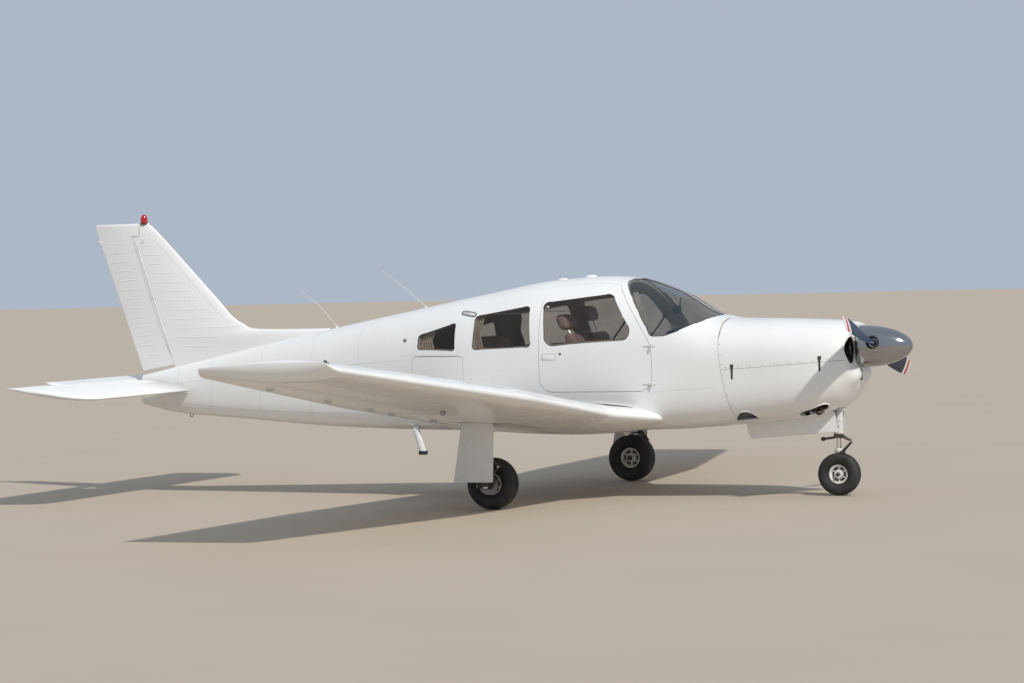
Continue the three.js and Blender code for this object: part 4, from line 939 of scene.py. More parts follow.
def makeCowl():
    c = cowl
    outer = loft("cowlOuter", cowlRows(0))
    inner = loft("cowlInner", cowlRows(c["wall"]) - [c["wall"] * 0.2, 0, 0])
    skin = smoothSkin([outer, inner])
    back = blockOf("back", (c["rear"] - 60, -900, 300), (c["rear"] + 2, 900, 1700))
    carve(inner, "UNION", back)
    shell = copyOf(outer, "cowlShell")
    carve(shell, "DIFFERENCE", inner)
    axis = c["spinnerAxis"]
    cutters = [rod("cut", (2380, 0, axis), (2700, 0, axis), c["shaftHole"], sides=64)]
    y, z, wide, high = c["intake"]
    for way in (1, -1):
        ring = np.arange(64) * 2 * math.pi / 64
        oval = [
            np.column_stack([
                np.full(64, x), way * y + (wide + flare) * np.cos(ring), z + (high + flare) * np.sin(ring)
            ])
            for x, flare in ((2470, -6), (2560, 0), (2700, 10))
        ]
        cutters.append(loft("cut", oval))
    cutters.append(sideSlot("exhaust", -1))
    for way in (1, -1):
        cutters.append(sideSlot("outlet", way))
    seam = [(x + c["seamGap"], z) for x, z in body["cowlSeam"]]
    cutters.append(sidePrism("cut", seam + [(0, 300), (0, 2500)], -900, 900))
    half, front = c["noseWell"]
    cutters.append(blockOf("cut", (1590, -half, 300), (front, half, 800)))
    carve(shell, "DIFFERENCE", *cutters)
    (x0, z0), (x1, z1) = c["splitLine"]
    for name, far, shift, node in (
        ("cowlUpperSkin", 3000, c["seam"], "cowl_upper"), ("cowlLowerSkin", 0, -c["seam"], "cowl_lower")
    ):
        shape = [(x0, z0 + shift), (x1, z1 + shift), (x1, far), (x0, far)]
        half = sidePrism("half", shape, -900, 900)
        piece = copyOf(shell, name)
        carve(piece, "INTERSECT", half)
        discard(half)
        piece.data.materials.clear()
        piece.data.materials.append(whitePaint)
        polish(piece, skin, 0.0008, 0.7)
        dress(piece, "airframe", "white_paint", node)
    discard(outer, inner, back, shell, *cutters)
    return skin


cowlSkin = makeCowl()
print("cowl made")


# wing, stabilator and fin sections
def foilShape(u):
    u = np.asarray(u, float)
    front = 0.5 * np.sqrt(np.clip(1 - ((0.4 - u) / 0.4) ** 2, 0, 1))
    back = 0.5 * (1 - 0.975 * (np.clip(u - 0.4, 0, 1) / 0.6) ** 1.7)
    return np.where(u < 0.4, front, back)


def foilRing(lead, trail, thickness, camber=0.0, normal=(0, 0, 1), steps=36):
    lead, trail, normal = (np.asarray(v, float) for v in (lead, trail, normal))
    u = 0.5 * (1 - np.cos(math.pi * np.arange(steps + 1) / steps))
    middle = lead + (trail - lead) * u[:, None]
    bend = 4 * camber * u * (1 - u) * np.linalg.norm(trail - lead)
    half = thickness * foilShape(u)
    upper = middle + normal * (bend + half)[:, None]
    lower = middle[1:] + normal * (bend[1:] - half[1:])[:, None]
    return np.vstack([upper[::-1], lower])


def behindHinge(start, end, up, ahead, noses, extra, short=0, back=700, depth=500):
    # what lies behind a hinge line, with a round nose about the line
    start, end, up = (np.asarray(v, float) for v in (start, end, up))
    axis = (end - start) / np.linalg.norm(end - start)
    forward = np.cross(up, axis)
    forward /= np.linalg.norm(forward)
    if forward @ np.asarray(ahead, float) < 0:
        forward = -forward
    length = np.linalg.norm(end - start)
    start, end = start + axis * short, end - axis * short
    share = short / length
    n0 = noses[0] + (noses[1] - noses[0]) * share + extra
    n1 = noses[1] - (noses[1] - noses[0]) * share + extra
    right = np.cross(axis, forward)
    rings = []
    for spot, nose in ((start, n0), (end, n1)):
        angles = np.linspace(0, 2 * math.pi, 72, endpoint=False)
        rings.append(spot + nose * (np.cos(angles)[:, None] * forward + np.sin(angles)[:, None] * right))
    roller = loft("roller", rings)
    slab = loft("slab", [
        [spot + right * depth / 2, spot - right * depth / 2,
         spot - right * depth / 2 - forward * back, spot + right * depth / 2 - forward * back]
        for spot in (start, end)
    ])
    carve(roller, "UNION", slab)
    discard(slab)
    return roller


wing = {
    # span, leading edge, trailing edge, thickness as a share of the chord
    "sections": [
        (380, 1064, -805, 0.128), (565, 1045, -805, 0.13), (800, 925, -805, 0.139),
        (1050, 795, -805, 0.15), (2700, 795, -805, 0.15), (5290, 449, -632, 0.15),
    ],
    "tip": (5437, 370, -600), "camber": 0.015, "incidence": 2, "dihedral": 7, "height": 598,
    "flap": (622, 2688, 0.815), "aileron": (2712, 4960, 0.81), "gap": 6, "rootEnd": 1050,
    "well": (235, -235, 1150, 1815, 45),
}


def wingSection(span):
    rows = np.array(wing["sections"], float)
    if span <= rows[-1, 0]:
        lead, trail, share = (np.interp(span, rows[:, 0], rows[:, k]) for k in (1, 2, 3))
        lift = 0
    else:
        end, lastLead, lastTrail = wing["tip"]
        _, lead0, trail0, share = rows[-1]
        t = min((span - rows[-1, 0]) / (end - rows[-1, 0]), 1)
        fall = 1 - math.sqrt(max(1 - t * t, 0))
        lead = lead0 - (lead0 - lastLead) * (0.35 * t + 0.65 * fall) * 1.0
        trail = trail0 + (lastTrail - trail0) * (0.35 * t + 0.65 * fall)
        share = share * max(math.sqrt(max(1 - t ** 2.2, 0)), 0.06)
        lift = 0.42 * 0.15 * (lead - trail) * (1 - share / 0.15) * 0.9
    chord = lead - trail
    drop = chord * math.tan(math.radians(wing["incidence"]))
    return lead, trail, chord, share, drop, lift


def wingRing(span, steps=36):
    lead, trail, chord, share, drop, lift = wingSection(span)
    return foilRing((lead, span, lift), (trail, span, lift - drop), share * chord, wing["camber"],
                    steps=steps)


def wingPoint(span, share):
    lead, _, chord = wingSection(span)[:3]
    camber = 4 * wing["camber"] * share * (1 - share) * chord
    z = camber - share * chord * math.tan(math.radians(wing["incidence"]))
    return np.array([lead - share * chord, span, z]), 0.15 * chord * float(foilShape(share))


def wingPlace(way):
    turn = Matrix.Rotation(math.radians(wing["dihedral"]), 4, "X")
    lift = Matrix.Translation((0, 0, wing["height"] / 1000))
    return Matrix.Diagonal((1, way, 1, 1)) @ lift @ turn


def moved(piece, matrix):
    piece.data.transform(matrix)
    if matrix.determinant() < 0:
        piece.data.flip_normals()
    return piece


def hingeCut(span, short, extra):
    # the line stays square to the span where the root's chord grows forward
    low, high, share = span
    (a, noseA), (b, noseB) = wingPoint(max(low, wing["rootEnd"]), share), wingPoint(high, share)
    a[1] = low
    return behindHinge(a, b, (0, 0, 1), (1, 0, 0), (noseA, noseB), extra, short)


wingSkins = {}


def makeWings():
    w = wing
    spans = [*np.linspace(380, 1050, 14), *np.linspace(1100, 2700, 17), *np.linspace(2760, 5290, 28)]
    tip = w["tip"][0]
    spans += [5290 + (tip - 5290) * math.sin(t) for t in np.linspace(0.08, math.pi / 2 - 0.02, 14)]
    source = loft("wingForm", [wingRing(s) for s in spans])
    body2 = fuselageForm("bodyForm", body["rearBulkhead"], body["firewall"], 1.0, 60, 96)
    moved(body2, wingPlace(1).inverted())
    front, rear, inner, outer, ceiling = w["well"]
    well = blockOf("well", (rear, inner, -400), (front, outer, ceiling))
    flapHole = hingeCut(w["flap"], 0, w["gap"] + 2)
    flapBody = hingeCut(w["flap"], w["gap"], 0)
    aileronHole = hingeCut(w["aileron"], 0, w["gap"])
    aileronBody = hingeCut(w["aileron"], w["gap"], 0)
    fixed = carve(copyOf(source, "fixed"), "DIFFERENCE", flapHole, aileronHole, body2, well)
    flap = carve(copyOf(source, "flap"), "INTERSECT", flapBody)
    aileron = carve(copyOf(source, "aileron"), "INTERSECT", aileronBody)
    for side, way in (("Left", 1), ("Right", -1)):
        form = moved(copyOf(source, "form"), wingPlace(way))
        skin = smoothSkin([form])
        wingSkins[way] = skin
        for piece, name, bodyName in (
            (fixed, "wing", "airframe"), (flap, "flap", "flap_"), (aileron, "aileron", "aileron_")
        ):
            made = moved(copyOf(piece, name + side + "Skin"), wingPlace(way))
            made.data.materials.clear()
            made.data.materials.append(whitePaint)
            polish(made, skin, 0.0006, 0.6)
            dress(made, bodyName + side.lower() if bodyName.endswith("_") else bodyName, "white_paint",
                  name + "_" + side.lower())
        discard(form)
    discard(source, body2, well, flapHole, flapBody, aileronHole, aileronBody, fixed, flap, aileron)


makeWings()
print("wings made")

tail = {
    "sections": [(132, 198, -564, 0.1), (1700, 198, -564, 0.1), (1840, 152, -564, 0.1),
                 (1930, 60, -564, 0.09), (1965, -60, -564, 0.05)],
    "pivot": (-3700, 938), "rest": 7.7, "tabRest": 12.3, "tabEnd": 1330, "tabChord": 118, "tabNose": 16,
    "tubeRadius": 25, "gap": 6,
    # leading edge x and z, trailing edge x and z, thickness, from the tail cone up
    "fin": [(-2240, 1230, -3990, 1010, 60), (-2180, 1436, -4034, 1087, 86), (-2866, 1443, -4105, 1290, 96),
            (-3022, 1491, -4128, 1360, 96), (-3134, 1564, -4160, 1450, 94), (-3266, 1708, -4214, 1610, 88),
            (-3822, 2291, -4450, 2290, 58), (-3935, 2388, -4479, 2384, 50)],
    "rudderHinge": ((-3747, 0, 1135), (-4125, 0, 2278)), "rudderNoses": (36, 32), "horn": (-4030, 2288),
}


def tailPlace():
    x, z = tail["pivot"]
    return (Matrix.Translation((x / 1000 + axleX, 0, z / 1000))
            @ Matrix.Rotation(math.radians(tail["rest"]), 4, "Y")
            @ Matrix.Translation((-axleX, 0, 0)))


def makeStabilator():
    t = tail
    rows = np.array(t["sections"], float)
    form = smoothColumns([tuple(r) for r in rows[1:]])
    spans = [132, 700, 1300, 1500] + list(1700 + 265 * np.sin(np.linspace(0, math.pi / 2, 20)))
    rings = []
    for way in (-1, 1):
        side = []
        for span in spans:
            lead, trail, share = rows[1, 1:] if span <= 1700 else form(span)[0]
            side.append(foilRing((lead, way * span, 0), (trail, way * span, 0), share * (lead - trail)))
        rings.append(side)
    halves = [loft("half", r) for r in rings]
    lead, trail = rows[0, 1], rows[0, 2]
    hingeX = trail + t["tabChord"]
    line = ((hingeX, -t["tabEnd"], 0), (hingeX, t["tabEnd"], 0), (0, 0, 1), (1, 0, 0), (t["tabNose"],) * 2)
    tube = rod("tube", (0, -150, 0), (0, 150, 0), t["tubeRadius"], sides=40)
    tabHole = behindHinge(*line, t["gap"], 0, 300, 200)
    tabBody = behindHinge(*line, 0, t["gap"], 300, 200)
    straight = loft("straight", [
        foilRing((lead, s, 0), (trail, s, 0), 0.1 * (lead - trail)) for s in np.linspace(-1330, 1330, 20)
    ])
    place = tailPlace()
    skin = smoothSkin([moved(copyOf(p, "form"), place) for p in (*halves, straight)])
    made = []
    for piece in halves:
        carve(piece, "DIFFERENCE", tabHole)
        moved(piece, place)
        piece.data.materials.append(whitePaint)
        made.append(polish(piece, skin, 0.0006, 0.6))
    moved(tube, place)
    tube.data.materials.append(whitePaint)
    shadeByAngle(tube)
    whole = joinPieces("stabilatorSkin", made + [tube])
    dress(whole, "stabilator", "white_paint", "stabilator")
    carve(straight, "INTERSECT", tabBody)
    tabTurn = (Matrix.Translation((hingeX / 1000 + axleX, 0, 0))
               @ Matrix.Rotation(math.radians(t["tabRest"]), 4, "Y")
               @ Matrix.Translation((-hingeX / 1000 - axleX, 0, 0)))
    straightForm = loft("straightForm", [
        foilRing((lead, s, 0), (trail, s, 0), 0.1 * (lead - trail)) for s in np.linspace(-1330, 1330, 20)
    ])
    tabForm = moved(straightForm, place @ tabTurn)
    tab = moved(copyOf(straight, "tabSkin"), place @ tabTurn)
    tab.data.materials.clear()
    tab.data.materials.append(whitePaint)
    polish(tab, smoothSkin([tabForm]), 0.0006, 0.6)
    dress(tab, "stabilator_tab", "white_paint", "stabilator_tab")
    leftovers = [o for o in scene.objects if o.name.split(".")[0] in ("form", "straightForm")]
    discard(tabHole, tabBody, straight, *leftovers)


def finRows():
    # a smooth curve through the leading edge, carried up to the tip
    rows = np.array(tail["fin"], float)
    start = rows[1:]
    dense = []
    for i in range(len(start) - 1):
        p0 = start[max(i - 1, 0)]
        p1, p2 = start[i], start[i + 1]
        p3 = start[min(i + 2, len(start) - 1)]
        steps = 14
        for t in np.linspace(0, 1, steps, endpoint=False):
            a = 2 * p1 + (p2 - p0) * t + (2 * p0 - 5 * p1 + 4 * p2 - p3) * t * t
            dense.append(0.5 * (a + (3 * p1 - p0 - 3 * p2 + p3) * t ** 3))
    dense.append(start[-1])
    return [rows[0]] + dense


def makeFin():
    t = tail
    rings = [
        foilRing((a, 0, b), (c, 0, d), thick, 0, (0, 1, 0))
        for a, b, c, d, thick in finRows()
    ]
    top = t["fin"][-1]
    for share, lift in ((0.93, 5), (0.75, 9), (0.4, 12)):
        a, b, c, d, thick = top
        middle = (a + c) / 2
        rings.append(foilRing((middle + (a - middle) * (0.98 - 0.03 * (1 - share)), 0, b + lift),
                              (middle + (c - middle) * (0.98 - 0.03 * (1 - share)), 0, d + lift),
                              thick * share, 0, (0, 1, 0)))
    blade = loft("finForm", rings)
    skin = smoothSkin([blade])
    start, end = (np.array(p, float) for p in t["rudderHinge"])
    axis = (end - start) / np.linalg.norm(end - start)
    n0, n1 = t["rudderNoses"]
    longLine = (start - axis * 300, end + axis * 300, (0, 1, 0), (1, 0, 0), (n0, n1))
    hornX, hornZ = t["horn"]
    hole = behindHinge(*longLine, t["gap"], 0, 700, 300)
    rear = behindHinge(*longLine, 0, 0, 700, 300)
    hornHole = blockOf("hornHole", (-6000, -300, hornZ - 10), (hornX + 8, 300, 3000))
    hornBody = blockOf("hornBody", (-6000, -300, hornZ), (hornX, 300, 3000))
    cone = fuselageForm("coneForm", body["tailEnd"], body["rearBulkhead"], 2, 40, 72)
    fin = carve(copyOf(blade, "finSkin"), "DIFFERENCE", hole, hornHole, cone)
    below = sidePrism("below", [(-3600, 1160), (-4200, 1059), (-4200, 0), (-3600, 0)], -200, 200)
    rudder = carve(copyOf(blade, "rudderSkin"), "INTERSECT", carve(rear, "UNION", hornBody))
    carve(rudder, "DIFFERENCE", below)
    for piece, bodyName in ((fin, "airframe"), (rudder, "rudder")):
        piece.data.materials.clear()
        piece.data.materials.append(whitePaint)
        polish(piece, skin, 0.0006, 0.6)
        dress(piece, bodyName, "white_paint", "fin" if piece is fin else "rudder")
    discard(blade, hole, rear, hornHole, hornBody, cone, below)
    return skin


makeStabilator()
finSkin = makeFin()
print("tail made")


# propeller and spinner
propeller = {
    "hub": (2745, 1214), "radius": 960, "rest": 12.5, "spinner": (2602, 3035, 172),
    # radius, chord, thickness, pitch
    "blade": [(52, 62, 58, 60), (150, 66, 56, 55), (215, 98, 34, 46), (330, 138, 22, 37), (520, 152, 15, 27),
              (720, 148, 11, 21), (880, 132, 8, 17), (940, 122, 7, 16), (960, 120, 6, 15)],
    # bands near the tips: from, to, and which paint
    "bands": [(812, 862, "tipWhite"), (862, 912, "tipRed"), (912, 990, "tipWhite")], "tipRound": 26,
}


def propPlace():
    _, z = propeller["hub"]
    return Matrix.Translation((0, 0, z / 1000)) @ Matrix.Rotation(math.radians(-propeller["rest"]), 4, "X")


def makePropeller():
    p = propeller
    back, tip, radius = p["spinner"]
    length = tip - back
    hubX = p["hub"][0]
    profile = []
    for t in np.sin(np.linspace(0, math.pi / 2, 60)):
        profile.append((length * t, max(radius * math.sqrt(max(1 - t ** 2.1, 0)), 0.5)))
    spinner = turned("spinnerSkin", (back, 0, 0), (1, 0, 0), [(-1, radius - 5), (0, radius - 1)]
                     + profile[1:], sides=128)
    skin = smoothSkin([moved(copyOf(spinner, "form"), propPlace())])
    inside = [(0, radius - 8)] + [(a - 14, r * 0.95) for a, r in profile if 20 < a < length - 20]
    hollow = turned("hollow", (back + 6, 0, 0), (1, 0, 0), inside, sides=96)
    holes = rod("holes", (hubX, -300, 0), (hubX, 300, 0), 47, sides=64)
    shaft = rod("shaft", (back - 20, 0, 0), (back + 30, 0, 0), 56, sides=48)
    carve(spinner, "DIFFERENCE", hollow, holes, shaft)
    moved(spinner, propPlace())
    spinner.data.materials.clear()
    spinner.data.materials.append(polishedMetal)
    polish(spinner, skin, 0.0008, 0.7)
    dress(spinner, "propeller", "bare_aluminium", "spinner")
    columns = smoothColumns(p["blade"])
    blades = []
    for way in (1, -1):
        rings = []
        for r in [*np.linspace(52, 812, 58), *np.linspace(822, 932, 12), *np.linspace(935, 959.5, 12)]:
            chord, thick, pitch = columns(r)[0]
            cut = p["radius"] - p["tipRound"]
            if r > cut:
                chord -= 2 * p["tipRound"] * (1 - math.sqrt(max(1 - ((r - cut) / p["tipRound"]) ** 2, 0)))
            angle = math.radians(pitch)
            lead = np.array([math.sin(angle), 0, way * math.cos(angle)])
            normal = np.array([math.cos(angle), 0, -way * math.sin(angle)])
            centre = np.array([hubX, way * r, 0])
            ring = foilRing(centre + lead * chord * 0.42, centre - lead * chord * 0.58, thick, 0.02,
                            normal, 20)
            if r < 190:
                # the root is round where it leaves the hub
                blend = min(max((190 - r) / 60, 0), 1)
                middle = ring.mean(0)
                spread = ring - middle
                radial = spread / np.maximum(np.linalg.norm(spread, axis=1), 1e-6)[:, None]
                ring = ring * (1 - blend) + (centre + radial * 31) * blend
            rings.append(ring)
        blade = shadeByAngle(loft("blade", rings, bladePaint), 60)
        paints = {"tipWhite": tipWhite, "tipRed": tipRed}
        for paint in paints.values():
            blade.data.materials.append(paint)
        for face in blade.data.polygons:
            reach = abs(face.center.y) * 1000
            for low, high, paint in p["bands"]:
                if low < reach < high:
                    face.material_index = 1 + list(paints).index(paint)
        blades.append(blade)
    hub = shadeByAngle(rod("hub", (back + 8, 0, 0), (2820, 0, 0), 56, darkSteel, 50, 32))
    # black rings round the blade roots in the spinner's holes: painted shade of the dark gaps there
    bladeHoleShades = []
    for way in (1, -1):
        radii = [(128, 50), (168, 50), (172, 56), (180, 54), (182, 44), (168, 41), (128, 41), (128, 50)]
        bladeHoleShades.append(turned("bladeHoleShade", (hubX, 0, 0), (0, way, 0), radii, sealBlack, 40))
    shanks = shadeByAngle(rod("shanks", (hubX, -150, 0), (hubX, 150, 0), 36, chrome, 36, 32))
    whole = joinPieces("propellerBlades", blades + [shadeByAngle(c) for c in bladeHoleShades] + [hub, shanks])
    moved(whole, propPlace())
    dress(whole, "propeller", "blade_paint", "propeller")
    leftovers = [o for o in scene.objects if o.name.split(".")[0] == "form"]
    discard(hollow, holes, shaft, *leftovers)


makePropeller()
print("propeller made")


# wheels
wheels = {
    "main": {"radius": 206, "width": 152, "bead": 90, "bore": 20, "across": 1600, "grooves": 4},
    "nose": {"radius": 174, "width": 122, "bead": 80, "bore": 16, "ahead": 2397, "grooves": 3},
}


def tyreProfile(size):
    # across the tyre and its radius, from bead to bead over the tread
    half, bead, crown = size["width"] / 2, size["bead"], size["radius"]
    side = [(0.60, bead), (0.66, bead + 5), (0.62, bead + 8), (0.86, bead + 0.22 * (crown - bead)),
            (0.985, bead + 0.48 * (crown - bead)), (1.0, bead + 0.56 * (crown - bead)),
            (0.965, bead + 0.72 * (crown - bead)), (0.86, crown - 15), (0.74, crown - 6.5),
            (0.62, crown - 2.6)]
    tread = []
    grooves = size["grooves"]
    for i in range(grooves):
        middle = (-0.5 + (i + 0.5) / grooves) * 0.92
        for share, deep in ((-0.045, 0), (-0.03, 4), (0.03, 4), (0.045, 0)):
            at = middle + share
            tread.append((at, crown - 3.0 * at * at / 0.4 - deep))
    right = [(-a, r) for a, r in side]
    left = [(a, r) for a, r in side[::-1]]
    return [(a * half, r) for a, r in right + tread + left] + [(-side[0][0] * half, side[0][1])]


def rimProfile(size):
    half, seat, bore = size["width"] / 2, size["bead"] - 0.3, size["bore"]
    disc = half * 0.2
    return [(-half * 0.7, bore), (-half * 0.7, bore + 13), (-half * 0.62, bore + 18), (-disc - 6, bore + 20),
            (-disc, bore + 25), (-disc, seat - 24), (-disc - 5, seat - 18), (-half * 0.56, seat - 13),
            (-half * 0.6, seat - 11), (-half * 0.64, seat - 4), (-half * 0.6, seat), (half * 0.6, seat),
            (half * 0.64, seat - 4), (half * 0.6, seat - 11), (half * 0.56, seat - 13), (disc + 5, seat - 18),
            (disc, seat - 24), (disc, bore + 25), (disc + 6, bore + 20), (half * 0.62, bore + 18),
            (half * 0.7, bore + 13), (half * 0.7, bore), (-half * 0.7, bore)]


def makeWheel(name, size, centre, bodyName):
    tyre = turned(name + "TyreFine", centre, (0, 1, 0), tyreProfile(size), tyreRubber, 96)
    shadeByAngle(tyre, 38)
    rim = turned(name + "RimFine", centre, (0, 1, 0), rimProfile(size), rimWhite, 72)
    seat, bore = size["bead"] - 0.3, size["bore"]
    # six openings with thin spokes between them
    spread = np.radians(np.linspace(-22, 22, 7))
    outline = [(seat - 20, a) for a in spread] + [(bore + 26, a) for a in spread[::-1]]
    cutters = []
    for i in range(6):
        turn = math.pi * i / 3
        shape = [(centre[0] + r * math.cos(turn + a), centre[2] + r * math.sin(turn + a)) for r, a in outline]
        cutters.append(loft("cut", [[(x, centre[1] + y, z) for x, z in shape] for y in (-80, 80)]))
    carve(rim, "DIFFERENCE", *cutters)
    discard(*cutters)
    rim.data.materials.clear()
    rim.data.materials.append(rimWhite)
    roundEdges(rim, 1.2, 1, 50)
    shadeByAngle(rim, 38)
    # a dark disc behind the openings, painted shade so that they read as dark holes
    profile = [(-3, bore + 19), (-3, seat - 14), (3, seat - 14), (3, bore + 19), (-3, bore + 19)]
    web = turned("web", centre, (0, 1, 0), profile, darkSteel, 48)
    rim = joinPieces(name + "RimFine", [rim, shadeByAngle(web)])
    for piece, node, slot in ((tyre, "tyre", "tyre_rubber"), (rim, "rim", "white_paint")):
        dress(piece, bodyName, slot, f"{name}_{node}")


for side, way in (("left", 1), ("right", -1)):
    size = wheels["main"]
    makeWheel("main_" + side, size, (0, way * size["across"], size["radius"]), "main_wheel_" + side)
size = wheels["nose"]
makeWheel("nose", size, (size["ahead"], 0, size["radius"]), "nose_wheel")
print("wheels made")
# node trees: one sweeps a round section along edges, one sets fasteners on points
def newTree(name, sockets):
    tree = bpy.data.node_groups.new(name, "GeometryNodeTree")
    tree.interface.new_socket("Geometry", in_out="INPUT", socket_type="NodeSocketGeometry")
    for label, kind, value in sockets:
        socket = tree.interface.new_socket(label, in_out="INPUT", socket_type="NodeSocket" + kind)
        if value is not None:
            socket.default_value = value
    tree.interface.new_socket("Geometry", in_out="OUTPUT", socket_type="NodeSocketGeometry")
    return tree, tree.nodes.new("NodeGroupInput"), tree.nodes.new("NodeGroupOutput")


def makeSweepTree():
    sockets = [("Radius", "Float", 0.002), ("Sides", "Int", 6), ("Taper", "Float", 0.0)]
    tree, start, end = newTree("sweepAlongEdges", sockets + [("Material", "Material", None)])
    add, link = tree.nodes.new, tree.links.new
    curve = add("GeometryNodeMeshToCurve")
    section = add("GeometryNodeCurvePrimitiveCircle")
    sweep = add("GeometryNodeCurveToMesh")
    along = add("GeometryNodeSplineParameter")
    centred = add("ShaderNodeMath")
    size = add("ShaderNodeMath")
    fall = add("ShaderNodeMath")
    smooth = add("GeometryNodeSetShadeSmooth")
    realize = add("GeometryNodeRealizeInstances")
    paint = add("GeometryNodeSetMaterial")
    radius = add("GeometryNodeSetCurveRadius")
    # one minus taper times the distance from the middle, to the sixth power
    centred.operation, size.operation, fall.operation = "MULTIPLY_ADD", "POWER", "MULTIPLY_ADD"
    link(along.outputs["Factor"], centred.inputs[0])
    centred.inputs[1].default_value, centred.inputs[2].default_value = 2, -1
    even = add("ShaderNodeMath")
    even.operation = "ABSOLUTE"
    link(centred.outputs[0], even.inputs[0])
    link(even.outputs[0], size.inputs[0])
    size.inputs[1].default_value = 6
    lessen = add("ShaderNodeMath")
    lessen.operation = "MULTIPLY"
    link(start.outputs["Taper"], lessen.inputs[0])
    lessen.inputs[1].default_value = -1
    link(size.outputs[0], fall.inputs[0])
    link(lessen.outputs[0], fall.inputs[1])
    fall.inputs[2].default_value = 1
    link(start.outputs["Geometry"], curve.inputs["Mesh"])
    link(curve.outputs["Curve"], radius.inputs["Curve"])
    link(fall.outputs[0], radius.inputs["Radius"])
    link(start.outputs["Sides"], section.inputs["Resolution"])
    link(start.outputs["Radius"], section.inputs["Radius"])
    link(radius.outputs["Curve"], sweep.inputs["Curve"])
    link(section.outputs["Curve"], sweep.inputs["Profile Curve"])
    if "Scale" in sweep.inputs:
        link(fall.outputs[0], sweep.inputs["Scale"])
    sweep.inputs["Fill Caps"].default_value = True
    link(sweep.outputs["Mesh"], smooth.inputs["Geometry"])
    link(smooth.outputs["Geometry"], realize.inputs["Geometry"])
    link(realize.outputs["Geometry"], paint.inputs["Geometry"])
    link(start.outputs["Material"], paint.inputs["Material"])
    link(paint.outputs["Geometry"], end.inputs["Geometry"])
    return tree


def makeFastenerTree():
    tree, start, end = newTree("fastenersOnPoints", [
        ("Radius", "Float", 0.003), ("Height", "Float", 0.001), ("Top", "Float", 0.6), ("Sides", "Int", 8),
        ("Seed", "Int", 3), ("Material", "Material", None)])
    add, link = tree.nodes.new, tree.links.new
    head = add("GeometryNodeMeshCone")
    place = add("GeometryNodeInstanceOnPoints")
    align = add("FunctionNodeAlignRotationToVector")
    facing = add("GeometryNodeInputNamedAttribute")
    spin = add("FunctionNodeRandomValue")
    turn = add("FunctionNodeRotateRotation")
    realize = add("GeometryNodeRealizeInstances")
    paint = add("GeometryNodeSetMaterial")
    top = add("ShaderNodeMath")
    facing.data_type = "FLOAT_VECTOR"
    facing.inputs["Name"].default_value = "facing"
    align.axis = "Z"
    link(facing.outputs["Attribute"], align.inputs["Vector"])
    spin.data_type = "FLOAT"
    around = add("ShaderNodeCombineXYZ")
    lowest, highest = [s for s in spin.inputs if s.type == "VALUE" and s.name in ("Min", "Max")][:2]
    lowest.default_value, highest.default_value = 0, 6.283
    link(start.outputs["Seed"], spin.inputs["Seed"])
    link([s for s in spin.outputs if s.type == "VALUE"][0], around.inputs["Z"])
    turn.rotation_space = "LOCAL"
    link(align.outputs["Rotation"], turn.inputs["Rotation"])
    link(around.outputs["Vector"], turn.inputs["Rotate By"])
    top.operation = "MULTIPLY"
    link(start.outputs["Radius"], top.inputs[0])
    link(start.outputs["Top"], top.inputs[1])
    link(start.outputs["Sides"], head.inputs["Vertices"])
    link(start.outputs["Radius"], head.inputs["Radius Bottom"])
    link(top.outputs[0], head.inputs["Radius Top"])
    link(start.outputs["Height"], head.inputs["Depth"])
    link(start.outputs["Geometry"], place.inputs["Points"])
    link(head.outputs["Mesh"], place.inputs["Instance"])
    link(turn.outputs["Rotation"], place.inputs["Rotation"])
    link(place.outputs["Instances"], realize.inputs["Geometry"])
    link(realize.outputs["Geometry"], paint.inputs["Geometry"])
    link(start.outputs["Material"], paint.inputs["Material"])
    link(paint.outputs["Geometry"], end.inputs["Geometry"])
    return tree


sweepTree, fastenerTree = makeSweepTree(), makeFastenerTree()


def runTree(piece, tree, material, **values):
    nodes = piece.modifiers.new("tree", "NODES")
    nodes.node_group = tree
    known = {s.name: s.identifier for s in tree.interface.items_tree if s.in_out == "INPUT"}
    for label, value in values.items():
        nodes[known[label]] = value
    nodes[known["Material"]] = material
    freeze(piece)
    piece.data.materials.clear()
    piece.data.materials.append(material)
    return piece


def sweepPaths(name, paths, radius, material, sides=6, taper=0.0):
    # every path is a row of points in mm; a path whose last point is its first is a ring
    points, edges = [], []
    for path in paths:
        path = np.asarray(path, float)
        closed = np.linalg.norm(path[0] - path[-1]) < 0.01
        if closed:
            path = path[:-1]
        base = len(points)
        points += path.tolist()
        edges += [(base + i, base + i + 1) for i in range(len(path) - 1)]
        if closed:
            edges.append((base + len(path) - 1, base))
    piece = placeMesh(name, points, [], None, edges)
    return runTree(piece, sweepTree, material, Radius=radius / 1000, Sides=sides, Taper=taper)


def setFasteners(name, points, facings, radius, height, material, top=0.6, sides=8, seed=3):
    piece = placeMesh(name, points, [])
    facing = piece.data.attributes.new("facing", "FLOAT_VECTOR", "POINT")
    facing.data.foreach_set("vector", np.asarray(facings, float).ravel())
    return runTree(piece, fastenerTree, material, Radius=radius / 1000, Height=height / 1000, Top=top,
                   Sides=sides, Seed=seed)


def onSkin(skin, points, ways, lift=0.0):
    # points brought straight onto a skin against their ways; gives the places and which way the skin faces
    places, facings = [], []
    for point, way in zip(np.atleast_2d(np.asarray(points, float)), np.atleast_2d(np.asarray(ways, float))):
        way = way / np.linalg.norm(way)
        origin = point / 1000 + [axleX, 0, 0] + way * 0.5
        spot, normal, _, _ = skin.tree.ray_cast(origin.tolist(), (-way).tolist(), 1.2)
        if spot is None:
            continue
        normal = np.array(normal)
        if normal @ way < 0:
            normal = -normal
        places.append((np.array(spot) - [axleX, 0, 0]) * 1000 + normal * lift)
        facings.append(normal)
    return np.array(places).reshape(-1, 3), np.array(facings).reshape(-1, 3)


